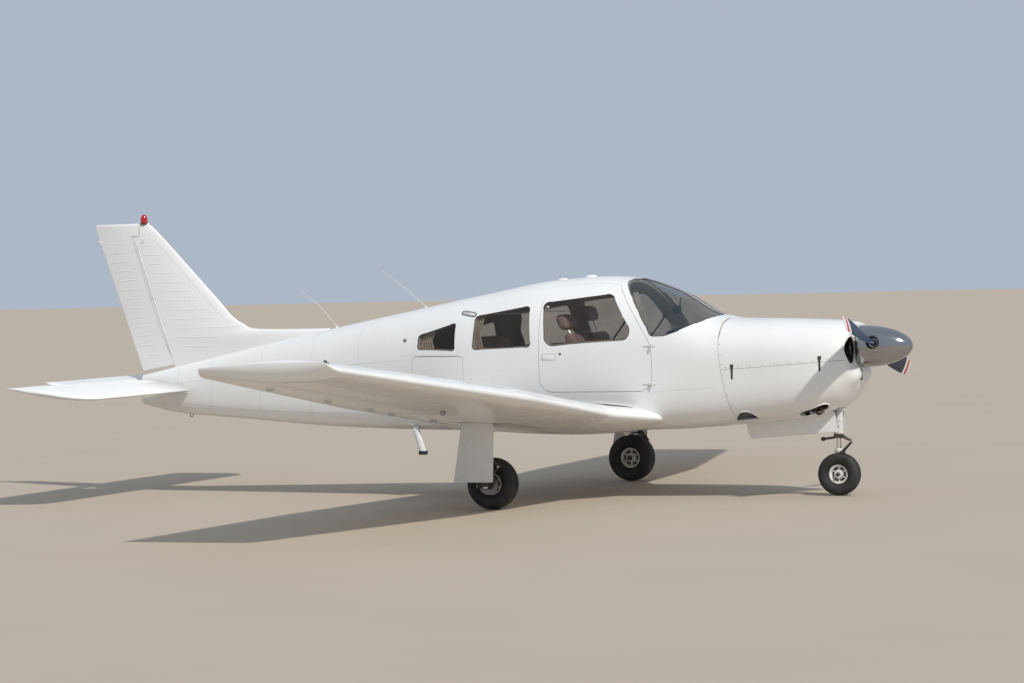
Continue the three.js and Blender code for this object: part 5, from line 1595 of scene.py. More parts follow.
def evenAlong(path, pitch):
    path = np.asarray(path, float)
    length = np.concatenate([[0], np.cumsum(np.linalg.norm(np.diff(path, axis=0), axis=1))])
    count = max(int(round(length[-1] / pitch)), 1)
    at = np.linspace(0, length[-1], count + 1)
    return np.column_stack([np.interp(at, length, path[:, k]) for k in range(3)])


def sideLine(points, side=-1, lift=-1.3, pitch=30):
    # a line on the fuselage's side through stations and heights
    path = evenAlong([(x, 0, z) for x, z in points], pitch)
    spots = np.array([skinPoint(x, z, side) for x, _, z in path])
    outs = np.array([skinNormal(s) for s in spots])
    return spots + outs * lift, outs


def plateOn(name, spots, facings, thick, material, sink=2.0, edge=0.94):
    spots, facings = np.asarray(spots, float), np.asarray(facings, float)
    middle = spots.mean(0)
    top = spots + facings * thick
    rings = [spots - facings * sink, spots + facings * thick * 0.6, middle + (top - middle) * edge]
    return shadeByAngle(loft(name, rings, material), 28)


def ovalOn(middle, out, along, long, high, count=24, power=1.0):
    # an oval round a point of the skin
    out = np.asarray(out, float) / np.linalg.norm(out)
    along = np.asarray(along, float) - out * (np.asarray(along, float) @ out)
    along /= np.linalg.norm(along)
    up = np.cross(out, along)
    angles = np.arange(count) * 2 * math.pi / count
    c, s = np.cos(angles), np.sin(angles)
    c, s = np.sign(c) * np.abs(c) ** power, np.sign(s) * np.abs(s) ** power
    return np.asarray(middle, float) + along * (c * long)[:, None] + up * (s * high)[:, None]


def smoothPath(points, steps=8):
    # a Catmull-Rom curve through points
    p = np.asarray(points, float)
    p = np.vstack([2 * p[0] - p[1], p, 2 * p[-1] - p[-2]])
    path = []
    for i in range(1, len(p) - 2):
        for t in np.linspace(0, 1, steps, endpoint=False):
            a = 2 * p[i] + (p[i + 1] - p[i - 1]) * t + (2 * p[i - 1] - 5 * p[i] + 4 * p[i + 1]
                                                        - p[i + 2]) * t * t
            path.append(0.5 * (a + (3 * p[i] - p[i - 1] - 3 * p[i + 1] + p[i + 2]) * t ** 3))
    path.append(p[-2])
    return np.array(path)


# legs, doors and brakes of the main gear
mainGear = {
    "leg": (-6, 1742), "trunnion": (235, 790, 24), "housingTop": 812, "piston": (176, 21.5),
    "knee": (112, 348), "axleEnd": 1536, "disc": (1690, 84, 7),
    "door": (20, [(-262, 225), (-180, 700), (95, 700), (76, 225)]), "doorAcross": (1778, 1785),
    "doorBulge": 4,
}


def linkArm(lug, knee, spread, material):
    # a torque link: two arms from a wide lug to a narrow knee, with a web between them
    (lx, ly, lz), (kx, ky, kz) = lug, knee
    arms = [rod("arm", (lx, ly + way * spread, lz), (kx, ky + way * 9, kz), 8.5, material, 7, 12)
            for way in (1, -1)]
    arms.append(rod("lug", (lx, ly - spread - 9, lz), (lx, ly + spread + 9, lz), 11, material, sides=20))
    web = []
    for t in (0.12, 0.8):
        x, z = lx + (kx - lx) * t, lz + (kz - lz) * t
        half = spread + (9 - spread) * t
        rise = 3.2
        web.append([(x, ly - half, z - rise), (x, ly + half, z - rise), (x, ly + half, z + rise),
                    (x, ly - half, z + rise)])
    arms.append(loft("web", web, material))
    return arms


def makeMainLeg(side, way):
    g = mainGear
    x, y = g["leg"]
    half, high, radius = g["trunnion"]
    parts = [shadeByAngle(rod("trunnion", (-half, y, high), (half, y, high), radius, agedWhite, sides=32))]
    for at in (-half + 26, half - 26):
        radii = [(0, 20), (0, 32), (3, 34), (37, 34), (40, 32), (40, 20)]
        addShaded(parts, turned, "bush", (at - 20, y, high), (1, 0, 0), radii, darkSteel, 32)
    profile = [(0, 12), (4, 30), (10, 34), (60, 36), (64, 34), (120, 34), (124, 38), (150, 38), (154, 34),
               (330, 34), (334, 38.5), (350, 38.5), (354, 36), (384, 36), (388, 30), (392, 23)]
    addShaded(parts, turned, "housing", (x, y, g["housingTop"]), (0, 0, -1), profile, agedWhite, 40,
              degrees=30)
    end, radius = g["piston"]
    addShaded(parts, rod, "piston", (x, y, 428), (x, y, end), radius, chrome, sides=32)
    radii = [(0, 22), (0, 30), (3, 33), (9, 33), (12, 30), (12, 22)]
    addShaded(parts, turned, "wiper", (x, y, 424), (0, 0, -1), radii, sealBlack, 32)
    # the forged foot and the axle
    foot = turned("foot", (x, y, 262), (0, 0, -1),
                  [(0, 22), (2, 29), (10, 31), (40, 31), (50, 33), (70, 33), (76, 20)], darkSteel, 32)
    parts.append(shadeByAngle(foot, 30))
    addShaded(parts, rod, "axle", (0, y + 14, 206), (0, g["axleEnd"], 206), 17.5, darkSteel, sides=28)
    radii = [(0, 18), (0, 26), (12, 26), (15, 20), (20, 9)]
    addShaded(parts, turned, "nut", (0, g["axleEnd"] + 12, 206), (0, -1, 0), radii, darkSteel, 6,
              degrees=20)
    radii = [(0, 20), (0, 40), (3, 42), (9, 42), (12, 40), (12, 20)]
    addShaded(parts, turned, "flange", (0, 1726, 206), (0, -1, 0), radii, darkSteel, 32)
    across, radius, thick = g["disc"]
    disc = turned("disc", (0, across, 206), (0, 1, 0),
                  [(0, 40), (0, radius), (thick, radius), (thick, 40), (0, 40)], brakeDisc, 48)
    parts.append(shadeByAngle(disc))
    caliper = sidePrism("caliper", roundedOutline([(-104, 196), (-96, 236), (-30, 246), (-26, 176),
                                                   (-78, 170)], 9), 1684, 1720, darkSteel)
    addShaded(parts, roundEdges, caliper, 3, 2, 40)
    for z in (190, 226):
        parts.append(rod("bolt", (-84 + (z - 190) * 0.3, 1680, z), (-84 + (z - 190) * 0.3, 1732, z), 6,
                         chrome, sides=8))
    kx, kz = g["knee"]
    for lug in ((x + 36, y, 436), (x + 30, y, 250)):
        parts += [shadeByAngle(p, 40) for p in linkArm(lug, (kx, y, kz), 24, darkSteel)]
    addShaded(parts, rod, "kneeBolt", (kx, y - 20, kz), (kx, y + 20, kz), 7, chrome, sides=10)
    # the folding side brace up into the well
    addShaded(parts, rod, "braceLow", (x, y - 30, 596), (x, 1520, 668), 13, agedWhite, 11, 20)
    addShaded(parts, rod, "braceHigh", (x, 1524, 668), (x, 1290, 738), 13, agedWhite, 13, 20)
    addShaded(parts, rod, "bracePin", (x - 24, 1522, 668), (x + 24, 1522, 668), 9, chrome, sides=12)
    clamp = turned("clamp", (x, y, 610), (0, 0, -1), [(0, 35), (0, 39), (26, 39), (26, 35)], darkSteel, 32)
    parts.append(shadeByAngle(clamp))
    pipe = smoothPath([(x - 20, y - 30, 790), (x - 40, y - 14, 640), (x - 42, y - 10, 470),
                       (x - 66, y - 20, 400), (x - 86, y - 22, 320), (x - 84, y - 30, 236)], 7)
    parts.append(sweepPaths("brakePipe", [pipe], 5, sealBlack, 8))
    leg = joinPieces("mainLeg" + side.capitalize() + "Fine", parts)
    if way < 0:
        moved(leg, Matrix.Diagonal((1, -1, 1, 1)))
    dress(leg, "airframe", "gear_steel", "main_leg_" + side)


def makeLegDoor(side, way):
    # slightly crowned, with beads pressed in and rods to the leg
    g = mainGear
    x, y = g["leg"]
    radius, outline = g["door"]
    shape = roundedOutline(outline, radius, 0, 6)
    low, high = g["doorAcross"]
    rows = []
    centre = shape.mean(0)
    for share in (1.0, 0.9, 0.7, 0.45, 0.2):
        ring = centre + (shape - centre) * share
        rows.append([(a, high - g["doorBulge"] * share ** 2 + 4, b) for a, b in ring])
    back = [[(a, v - 5, b) for a, v, b in row] for row in rows[::-1]]
    door = shadeByAngle(loft("panel", rows[::-1] + back[::-1], whitePaint), 40)
    parts = [door]
    beads = []
    for t in (0.2, 0.4, 0.6, 0.8):
        z = 225 + 475 * t
        a, b = -262 + 82 * t + 34, 76 + 19 * t - 34
        beads.append([(a + (b - a) * s, low - 1.5, z) for s in np.linspace(0, 1, 12)])
    parts.append(sweepPaths("beads", beads, 5, whitePaint, 8, 1.0))
    rim = [(a, high - 1.4, b) for a, b in centre + (shape - centre) * 0.985]
    parts.append(sweepPaths("rim", [rim + rim[:1]], 2.4, agedWhite, 6))
    for z in (300, 560):
        addShaded(parts, rod, "stay", (x, y + 30, z + 30), (x - 20, low + 1, z), 8, darkSteel, sides=12)
    piece = joinPieces("gearDoor" + side.capitalize() + "Fine", parts)
    if way < 0:
        moved(piece, Matrix.Diagonal((1, -1, 1, 1)))
    dress(piece, "airframe", "white_paint", "gear_door_" + side)


def makeMainLegs():
    for side, way in (("left", 1), ("right", -1)):
        makeMainLeg(side, way)
        makeLegDoor(side, way)


makeMainLegs()
print("main legs made")

# nose leg, fork and doors
noseGear = {
    "ahead": 2397, "housingTop": 868, "braceFoot": (1592, 80, 700), "piston": (480, 366, 21.5),
    "collar": 500, "arm": (76, 88), "knee": (2511, 443), "steer": (2262, 462),
    "doors": (16, [(1684, 473), (1646, 600), (2402, 694), (2434, 525)]), "doorAcross": (123, 131),
}


def makeNoseLeg():
    g = noseGear
    x = g["ahead"]
    profile = [(0, 14), (4, 34), (12, 38), (90, 38), (94, 42), (118, 42), (122, 38), (240, 38), (244, 41),
               (262, 41), (266, 38), (340, 38), (344, 42), (362, 42), (367, 36), (367.5, 23)]
    parts = [shadeByAngle(turned("housing", (x, 0, g["housingTop"]), (0, 0, -1), profile, agedWhite, 40), 30)]
    fx, fy, fz = g["braceFoot"]
    for way in (1, -1):
        addShaded(parts, rod, "brace", (x - 16, way * 26, 742), (fx, way * fy, fz), 13, agedWhite, 13, 20)
        addShaded(parts, rod, "drag", (x - 10, way * 30, 560), (1990, way * 64, 700), 10, agedWhite, 10,
                  16)
        radii = [(0, 12), (0, 30), (6, 34), (14, 34)]
        addShaded(parts, turned, "foot", (fx + 8, way * fy, fz), (-1, 0, 0), radii, darkSteel, 20)
    addShaded(parts, rod, "crossPin", (x, -52, 742), (x, 52, 742), 14, darkSteel, sides=20)
    addShaded(parts, rod, "lowerPin", (x, -48, 560), (x, 48, 560), 12, darkSteel, sides=20)
    # a hose beside the leg
    pipe = smoothPath([(x - 30, 34, 840), (x - 46, 40, 700), (x - 44, 42, 560), (x - 30, 40, 512)], 8)
    parts.append(sweepPaths("pipe", [pipe], 4.5, sealBlack, 8))
    leg = joinPieces("noseLegFine", parts)
    dress(leg, "airframe", "gear_steel", "nose_leg")


def makeFork():
    g = noseGear
    x = g["ahead"]
    start, end, radius = g["piston"]
    parts = [shadeByAngle(rod("piston", (x, 0, start), (x, 0, end), radius, chrome, sides=36))]
    collar = [(0.5, 24), (1, 38), (3, 42), (9, 43), (11, 39), (19, 39), (21, 43), (27, 42), (30, 30)]
    addShaded(parts, turned, "collar", (x, 0, g["collar"]), (0, 0, -1), collar, darkSteel, 40, degrees=30)
    bar = loft("steeringBar", [
        [(x + a, y, 486 + b) for a, b in ((-15, -8), (15, -8), (15, 8), (-15, 8))] for y in (-92, -80, 80, 92)
    ], darkSteel)
    addShaded(parts, roundEdges, bar, 3, 2, 40)
    for way in (1, -1):
        addShaded(parts, rod, "horn", (x, way * 80, 474), (x, way * 80, 498), 13, darkSteel, sides=16)
        parts.append(rod("bolt", (x, way * 80, 466), (x, way * 80, 474), 7, chrome, sides=6))
    sx, sz = g["steer"]
    addShaded(parts, rod, "steerArm", (x - 30, -26, 474), (sx + 14, -22, sz), 11, darkSteel, 10, 16)
    profile = [(0, 8), (0, 15), (4, 17), (32, 17), (36, 15), (36, 8)]
    addShaded(parts, turned, "roller", (sx + 12, -40, sz), (0, 1, 0), profile, sealBlack, 24)
    kx, kz = g["knee"]
    for lug in ((x + 36, 0, 480), (x + 30, 0, 356)):
        parts += [shadeByAngle(p, 40) for p in linkArm(lug, (kx, 0, kz), 26, darkSteel)]
    addShaded(parts, rod, "kneeBolt", (kx, -22, kz), (kx, 22, kz), 7.5, chrome, sides=10)
    # crown over the wheel and the single arm down its left side
    profile = [(0, 22), (3, 31), (12, 34), (26, 34), (34, 29), (36, 10)]
    crown = turned("crown", (x, 0, 386), (0, 0, -1), profile, agedWhite, 32)
    parts.append(shadeByAngle(crown, 30))
    a, b = g["arm"]
    section = [(-34, -9), (-26, -12), (26, -12), (34, -9), (34, 9), (26, 12), (-26, 12), (-34, 9)]
    rings = [
        [(x + u, y, z + v) for u, v in section] for y, z in ((-20, 362), (10, 364), (60, 360), (b, 350))
    ]
    addShaded(parts, loft, "shoulder", rings, agedWhite, degrees=40)
    arm = sidePrism("arm", roundedOutline([(x - 34, 372), (x + 34, 372), (x + 25, 150), (x - 25, 150)],
                                          18), a, b, agedWhite)
    addShaded(parts, roundEdges, arm, 4, 2, 40)
    addShaded(parts, rod, "axle", (x, 101, 174), (x, -58, 174), 14, darkSteel, sides=28)
    profile = [(0, 8), (3, 22), (14, 24)]
    addShaded(parts, turned, "nut", (x, 102, 174), (0, -1, 0), profile, darkSteel, 6, degrees=20)
    profile = [(0, 4), (2, 10), (6, 13), (22, 14)]
    addShaded(parts, turned, "hubCap", (x, -64, 174), (0, 1, 0), profile, darkSteel, 24)
    fork = joinPieces("noseForkFine", parts)
    dress(fork, "nose_fork", "gear_steel", "nose_fork")


def makeNoseDoors():
    g = noseGear
    radius, outline = g["doors"]
    shape = roundedOutline(outline, radius, 0, 6)
    low, high = g["doorAcross"]
    centre = shape.mean(0)
    for side, way in (("left", 1), ("right", -1)):
        rows = []
        for share in (1.0, 0.93, 0.7, 0.4, 0.15):
            ring = centre + (shape - centre) * share
            rows.append([(p, high - 5 * share ** 2, q) for p, q in ring])
        back = [[(p, v - 4, q) for p, v, q in row] for row in rows]
        parts = [shadeByAngle(loft("panel", rows[::-1] + back, whitePaint), 40)]
        rim = [(p, low + 1, q) for p, q in centre + (shape - centre) * 0.985]
        parts.append(sweepPaths("rim", [rim + rim[:1]], 2.6, agedWhite, 6))
        stiffener = [[(1720 + 660 * s, low, 500 + 50 * s + 40) for s in np.linspace(0, 1, 14)]]
        parts.append(sweepPaths("stiffener", stiffener, 7, whitePaint, 8, 1.0))
        for hx, hz in ((1720, 578), (1980, 612), (2240, 645)):
            addShaded(parts, rod, "hinge", (hx - 34, low - 4, hz - 22), (hx + 34, low - 4, hz - 14), 6,
                      agedWhite, sides=12)
        piece = joinPieces("noseDoor" + side.capitalize() + "Fine", parts)
        if way < 0:
            moved(piece, Matrix.Diagonal((1, -1, 1, 1)))
        dress(piece, "airframe", "white_paint", "nose_door_" + side)


makeNoseLeg()
makeFork()
makeNoseDoors()
print("nose gear made")

# seats: foam swollen by a cloth simulation, on frames and rails
seats = {
    "voxel": 0.014, "pressure": 4, "frames": 20, "cap": 0.012, "across": 250, "half": 190,
    # side outlines of cushion, back and headrest of a front seat
    "cushion": [(262, 885), (735, 905), (738, 972), (470, 972), (372, 960), (262, 950)],
    "back": [(258, 968), (352, 972), (338, 1090), (300, 1220), (250, 1378), (160, 1378), (205, 1150)],
    "headrest": [(62, 1516), (104, 1392), (206, 1392), (176, 1516), (118, 1530)],
    "lift": {"left": 62, "right": 0},
    "bench": [(-634, 868), (-196, 866), (-166, 886), (-166, 948), (-360, 950), (-520, 940)],
    "benchBack": [(-640, 955), (-530, 950), (-560, 1080), (-640, 1362), (-742, 1362), (-700, 1150)],
    "benchHalf": 400,
}


def foamBlock(name, outline, low, high, material, radius=26):
    # a crowned closed block whose sides pull in between its corners
    shape = roundedOutline(outline, radius, -6, 6)
    middle = shape.mean(0)
    rings = []
    half, centre = (high - low) / 2, (high + low) / 2
    for t in (-1.0, -0.985, -0.94, -0.86, -0.7, -0.45, -0.15, 0.15, 0.45, 0.7, 0.86, 0.94, 0.985, 1.0):
        shrink = 1 - 0.10 * max(abs(t) - 0.8, 0) / 0.2 * (abs(t) > 0.8) - (0.28 if abs(t) == 1 else 0)
        ring = middle + (shape - middle) * shrink
        rings.append([(a, centre + t * half, b) for a, b in ring])
    return loft(name, rings, material)


def swell(piece, cap=None):
    # remesh, let the cloth puff up, keep every point within the cap, then one subdivision
    even = piece.modifiers.new("even", "REMESH")
    even.mode, even.voxel_size = "VOXEL", seats["voxel"]
    freeze(piece)
    mesh = piece.data
    before = np.empty(len(mesh.vertices) * 3)
    mesh.vertices.foreach_get("co", before)
    puff = piece.modifiers.new("puff", "CLOTH")
    puff.settings.use_pressure = True
    puff.settings.uniform_pressure_force = seats["pressure"]
    puff.settings.effector_weights.gravity = 0
    puff.settings.tension_stiffness = 12
    puff.point_cache.frame_start, puff.point_cache.frame_end = 1, seats["frames"]
    for step in range(1, seats["frames"] + 1):
        scene.frame_set(step)
    graph = bpy.context.evaluated_depsgraph_get()
    shown = piece.evaluated_get(graph).to_mesh()
    after = np.empty(len(shown.vertices) * 3)
    shown.vertices.foreach_get("co", after)
    piece.evaluated_get(graph).to_mesh_clear()
    piece.modifiers.clear()
    scene.frame_set(1)
    move = (after - before).reshape(-1, 3)
    far = np.linalg.norm(move, axis=1)
    limit = cap or seats["cap"]
    move *= np.minimum(1, limit / np.maximum(far, 1e-9))[:, None]
    mesh.vertices.foreach_set("co", (before.reshape(-1, 3) + move).ravel())
    mesh.update()
    finer = piece.modifiers.new("finer", "SUBSURF")
    finer.levels = finer.render_levels = 1
    freeze(piece)
    return shadeByAngle(piece, 180)


def channelsOn(piece, lines, ways, radius, material, name):
    # piping laid on a swollen piece along rows of points
    tree = smoothSkin([piece])
    paths = []
    for line, way in zip(lines, ways):
        spots, _ = onSkin(tree, line, [way] * len(line), 0.5)
        if len(spots) > 2:
            paths.append(spots)
    return sweepPaths(name, paths, radius, material, 6)


def makeSeats():
    s = seats
    for side, way in (("left", 1), ("right", -1)):
        low, high = sorted((way * (s["across"] - s["half"]), way * (s["across"] + s["half"])))
        slot = "brown_vinyl"
        lift = s["lift"][side]
        cushion = swell(foamBlock(f"seatCushion{side.capitalize()}", s["cushion"], low, high, brownVinyl))
        back = swell(foamBlock(f"seatBack{side.capitalize()}", s["back"], low + 4, high - 4, brownVinyl))
        rest = swell(foamBlock(f"headrest{side.capitalize()}", [(a, b + lift) for a, b in s["headrest"]],
                               low + 72, high - 72, brownVinyl, 30), 0.008)
        for piece in (cushion, back, rest):
            piece.data.materials.clear()
            piece.data.materials.append(brownVinyl)
            dress(piece, "airframe", slot)
        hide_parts("seat_front_" + side)
        # sewn channels across the seat and up the back
        ys = [low + (high - low) * t for t in (0.2, 0.4, 0.6, 0.8)]
        welts = [channelsOn(cushion, [[(x, y, 1000) for x in np.linspace(300, 700, 26)] for y in ys],
                            [(0, 0, 1)] * 4, 2.2, sealBlack, "welts")]
        welts.append(channelsOn(back, [[(450, y, z) for z in np.linspace(1000, 1350, 24)] for y in ys],
                                [(1, 0, 0)] * 4, 2.2, sealBlack, "welts"))
        dress(joinPieces("seatWelts" + side.capitalize(), welts), "airframe", "panel_black")
        parts = []
        for y in (low + 40, high - 40):
            parts.append(roundEdges(blockOf("rail", (240, y - 14, 661), (742, y + 14, 674), darkSteel), 2, 1))
            for x, tall in ((300, 880), (690, 900)):
                addShaded(parts, rod, "post", (x, y, 672), (x + 8, y, tall), 11, darkSteel, sides=16)
        pan = foamBlock("pan", [(258, 852), (744, 872), (744, 892), (262, 880)], low + 6, high - 6,
                        panelBlack, 8)
        parts.append(shadeByAngle(pan))
        for y in (way * s["across"] - 60, way * s["across"] + 60):
            parts.append(rod("headPost", (198, y, 1350), (142, y, 1430 + lift), 6, chrome, sides=12))
        lever = smoothPath([(700, low + 30, 860), (752, low + 26, 850), (790, low + 24, 862)], 6)
        parts.append(sweepPaths("lever", [lever], 5, chrome, 8))
        dress(joinPieces("seatFrame" + side.capitalize(), parts), "airframe", "gear_steel")
    half = s["benchHalf"]
    bench = swell(foamBlock("rearBenchCushion", s["bench"], -half, half, tanVinyl))
    back = swell(foamBlock("rearBenchBack", s["benchBack"], -half, half, tanVinyl))
    for piece in (bench, back):
        piece.data.materials.clear()
        piece.data.materials.append(tanVinyl)
        dress(piece, "airframe", "tan_vinyl")
    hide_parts("seat_rear")
    ys = np.linspace(-half, half, 12)[1:-1]
    welts = [channelsOn(bench, [[(x, y, 1000) for x in np.linspace(-480, -200, 20)] for y in ys],
                        [(0, 0, 1)] * len(ys), 2.2, sealBlack, "welts"),
             channelsOn(back, [[(-400, y, z) for z in np.linspace(990, 1330, 24)] for y in ys],
                        [(1, 0, 0)] * len(ys), 2.2, sealBlack, "welts")]
    dress(joinPieces("rearBenchWelts", welts), "airframe", "panel_black")
    base = foamBlock("rearBenchBase", [(-620, 664), (-210, 664), (-200, 860), (-630, 862)], -half + 10,
                     half - 10, panelBlack, 10)
    dress(shadeByAngle(base), "airframe", "panel_black")


def ribbon(name, path, wide, normals, material, thick=1.6):
    # a flat strap along a path
    path, normals = np.asarray(path, float), np.asarray(normals, float)
    normals = np.broadcast_to(normals, path.shape)
    rings = []
    for i, spot in enumerate(path):
        ahead = path[min(i + 1, len(path) - 1)] - path[max(i - 1, 0)]
        across = np.cross(ahead, normals[i])
        across /= np.linalg.norm(across)
        up = normals[i] / np.linalg.norm(normals[i])
        corners = ((-1, -1), (1, -1), (1, 1), (-1, 1))
        rings.append([spot + across * a * wide / 2 + up * b * thick / 2 for a, b in corners])
    return shadeByAngle(loft(name, rings, material), 40)


def makeBelts():
    parts = []
    for way in (1, -1):
        strap = smoothPath([(748, way * 466, 1478), (690, way * 462, 1398), (618, way * 455, 1303),
                            (560, way * 448, 1180), (500, way * 440, 1010)], 6)
        parts.append(ribbon("strap", strap, 44, (1, 0, -0.6), beltWeb, 2.5))
        anchor = sideBlock("anchor", way, (738, 440, 1466), (756, 486, 1496), darkSteel)
        addShaded(parts, roundEdges, anchor, 3, 2)
        lap = smoothPath([(330, way * 452, 905), (360, way * 440, 965), (400, way * 330, 996),
                          (395, way * 240, 1000)], 6)
        parts.append(ribbon("lap", lap, 44, (0.2, 0, 1), beltWeb))
        buckle = sideBlock("buckle", way, (366, 196, 992), (424, 252, 1012), chrome)
        addShaded(parts, roundEdges, buckle, 4, 2)
        rear = smoothPath([(-540, way * 380, 945), (-470, way * 330, 962), (-420, way * 200, 970),
                           (-440, way * 90, 968)], 6)
        parts.append(ribbon("rearLap", rear, 44, (0, 0, 1), beltWeb))
    dress(joinPieces("seatBelts", parts), "airframe", "panel_black")


# instrument panel, yokes and pedals
cockpit = {
    "face": 1152, "back": 1188, "halfAt": [(1032, 478), (1150, 500), (1300, 486), (1374, 430)],
    "dials": [(-150, 1302), (-250, 1302), (-350, 1302), (-150, 1206), (-250, 1206), (-350, 1206)],
    "dialRadius": 39,
    "smallDials": [(-60, 1110), (-130, 1110), (-200, 1110)], "yoke": (265, 1190),
    "switches": (-420, -220, 9), "switchHeight": 1062,
}


def makeInstrumentPanel():
    c = cockpit
    face, back = c["face"], c["back"]
    outline = [(y, z) for z, y in c["halfAt"]] + [(-y, z) for z, y in c["halfAt"][::-1]]
    shape = roundedOutline(outline, 24)
    slices = ((back, 0.97), (back - 4, 1), (face + 5, 1), (face, 0.985))
    rings = [[(x, y * share, z) for y, z in shape] for x, share in slices]
    parts = [shadeByAngle(loft("board", rings, panelBlack))]
    marks = []
    spots = [(way * y, z, c["dialRadius"]) for way in (1, -1) for y, z in c["dials"]]
    spots += [(y * s, z, 24) for s in (1, -1) for y, z in c["smallDials"]]
    for i, (y, z, radius) in enumerate(spots):
        profile = [(0, radius), (0, radius + 5), (6, radius + 5), (8, radius + 3), (8, radius - 2),
                   (0, radius)]
        bezel = turned("bezel", (face + 3, y, z), (-1, 0, 0), profile, darkSteel, 32)
        parts.append(shadeByAngle(bezel))
        parts.append(turned("dial", (face + 2, y, z), (-1, 0, 0), [(0, radius), (3, radius - 0.5)],
                            dialFace, 32))
        swing = math.radians(37 * i + 20)
        tip = (face - 2.2, y + math.sin(swing) * radius * 0.75, z + math.cos(swing) * radius * 0.75)
        parts.append(rod("needle", (face - 2.2, y, z), tip, 1.3, dialWhite, 0.6, 6))
        for k in range(12):
            turn = math.pi * k / 6
            marks.append((face - 1.2, y + math.sin(turn) * radius * 0.84, z + math.cos(turn) * radius * 0.84))
    parts.append(setFasteners("marks", marks, [(-1, 0, 0)] * len(marks), 1.7, 0.8, dialWhite, 0.8, 6))
    # radios in the middle, with their knobs
    knobs = []
    for i in range(4):
        z = 1310 - 50 * i
        box = roundEdges(blockOf("radio", (face - 8, -84, z - 21), (face + 6, 84, z + 21), panelBlack), 3, 2)
        parts.append(shadeByAngle(box))
        parts.append(blockOf("window", (face - 9, -46, z - 6), (face - 7, 46, z + 12), dialFace))
        knobs += [(face - 8, -66, z), (face - 8, 66, z)]
    for _, y, z in knobs:
        addShaded(parts, rod, "knob", (face - 8, y, z), (face - 24, y, z), 9, darkSteel, 8, 16)
    z = c["switchHeight"]
    for y in np.linspace(*c["switches"]):
        addShaded(parts, rod, "switch", (face + 2, y, z), (face - 14, y, z + 5), 4, chrome, 3, 10)
    for y, colour in ((-24, dialFace), (4, tipRed), (32, dialWhite)):
        addShaded(parts, rod, "lever", (face + 4, y, 1120), (face - 62, y, 1112), 5, chrome, 5, 12)
        addShaded(parts, rod, "grip", (face - 60, y, 1112), (face - 84, y, 1108), 13, colour, 11, 20)
    for way in (1, -1):
        y, z = c["yoke"]
        y *= way
        addShaded(parts, rod, "column", (face + 4, y, z), (996, y, z), 13, chrome, sides=24)
        rim = smoothPath([(992, y - 128, z + 78), (990, y - 140, z + 30), (992, y - 120, z - 22),
                          (996, y - 60, z - 40), (998, y, z - 36), (996, y + 60, z - 40),
                          (992, y + 120, z - 22), (990, y + 140, z + 30), (992, y + 128, z + 78)], 6)
        parts.append(sweepPaths("wheel", [rim], 12.5, panelBlack, 12, 0.25))
        hub = roundEdges(blockOf("hub", (976, y - 46, z - 52), (1004, y + 46, z + 12), panelBlack), 8, 3)
        parts.append(shadeByAngle(hub))
        for foot in (-70, 70):
            pedal = roundEdges(blockOf("pedal", (1336, y + foot - 45, 690), (1352, y + foot + 45, 770),
                                       darkSteel), 4, 2)
            parts.append(shadeByAngle(pedal))
            addShaded(parts, rod, "pedalArm", (1350, y + foot, 740), (1382, y + foot, 910), 8, darkSteel,
                      8, 12)
    dress(joinPieces("instrumentPanelFine", parts), "airframe", "panel_black", "instrument_panel")


def makeGlareshield():
    # it rolls over the board and runs to the windscreen's foot
    rings = []
    for t in np.linspace(-1, 1, 41):
        y = 428 * t
        crest = 1396 - 26 * abs(t) ** 2.4
        section = [(1196, crest - 20), (1300, crest + 6), (1296, crest + 20), (1190, crest + 12),
                   (1110, crest + 6), (1084, crest - 2), (1074, crest - 16), (1082, crest - 30),
                   (1094, crest - 26), (1110, crest - 12)]
        rings.append([(x, y, z) for x, z in section])
    shield = shadeByAngle(loft("glareshield", rings, panelBlack), 50)
    dress(shield, "airframe", "panel_black")


def makeCompass():
    # on the centre strip, hanging from its stalk
    parts = [shadeByAngle(turned("case", (1060, 0, 1543), (-1, 0, 0),
                                 [(0, 20), (4, 30), (20, 34), (46, 34), (54, 31), (58, 22)], panelBlack, 32)),
             turned("window", (1001, 0, 1543), (-1, 0, 0), [(0, 24), (3, 22), (5, 14)], dialFace, 24),
             shadeByAngle(rod("stalk", (1050, 0, 1570), (1062, 0, 1640), 6, darkSteel, 6, 12))]
    dress(joinPieces("compass", parts), "airframe", "panel_black")


def makePostPads():
    # padding along the windscreen's posts
    parts = []
    for way in (1, -1):
        spots = [skinPoint(x, z, way, 40) for x, z in ((790, 1690), (830, 1620), (872, 1545), (925, 1450),
                                                       (975, 1360))]
        path = smoothPath(spots, 6)
        outs = [skinNormal(skinPoint(p[0], p[2], way)) for p in path]
        parts.append(ribbon("post", path, 44, outs, linerBeige, 14))
    dress(joinPieces("postPads", parts), "airframe", "tan_vinyl")


carpet = {
    "ends": (-1250, 1380), "height": 661.5, "pile": 2.0, "steps": (50, 25), "half": 500,
    # low strips over the two mounts in the floor
    "strips": ((-1266, -854), (754, 1046)), "stripHalf": 246, "stripHeight": 660.6,
}


def makeCarpet():
    c = carpet
    long, wide = c["steps"]
    rows = []
    for x in np.linspace(*c["ends"], long):
        half = min(abs(skinPoint(x, 668)[1]) - 46, c["half"])
        rows.append([
            (x, y, c["height"] + c["pile"] * (abs(y) < half * 0.985)) for y in np.linspace(-half, half, wide)
        ])
    rows = np.array(rows)
    for low, high in c["strips"]:
        for row in rows:
            inside = (row[:, 0] > low) & (row[:, 0] < high) & (np.abs(row[:, 1]) < c["stripHalf"])
            row[inside, 2] = c["stripHeight"]
    cloth = placeMesh("carpet", rows.reshape(-1, 3), loftFaces(long, wide, False, False), carpetBrown)
    dress(shadeByAngle(cloth), "airframe", "tan_vinyl")


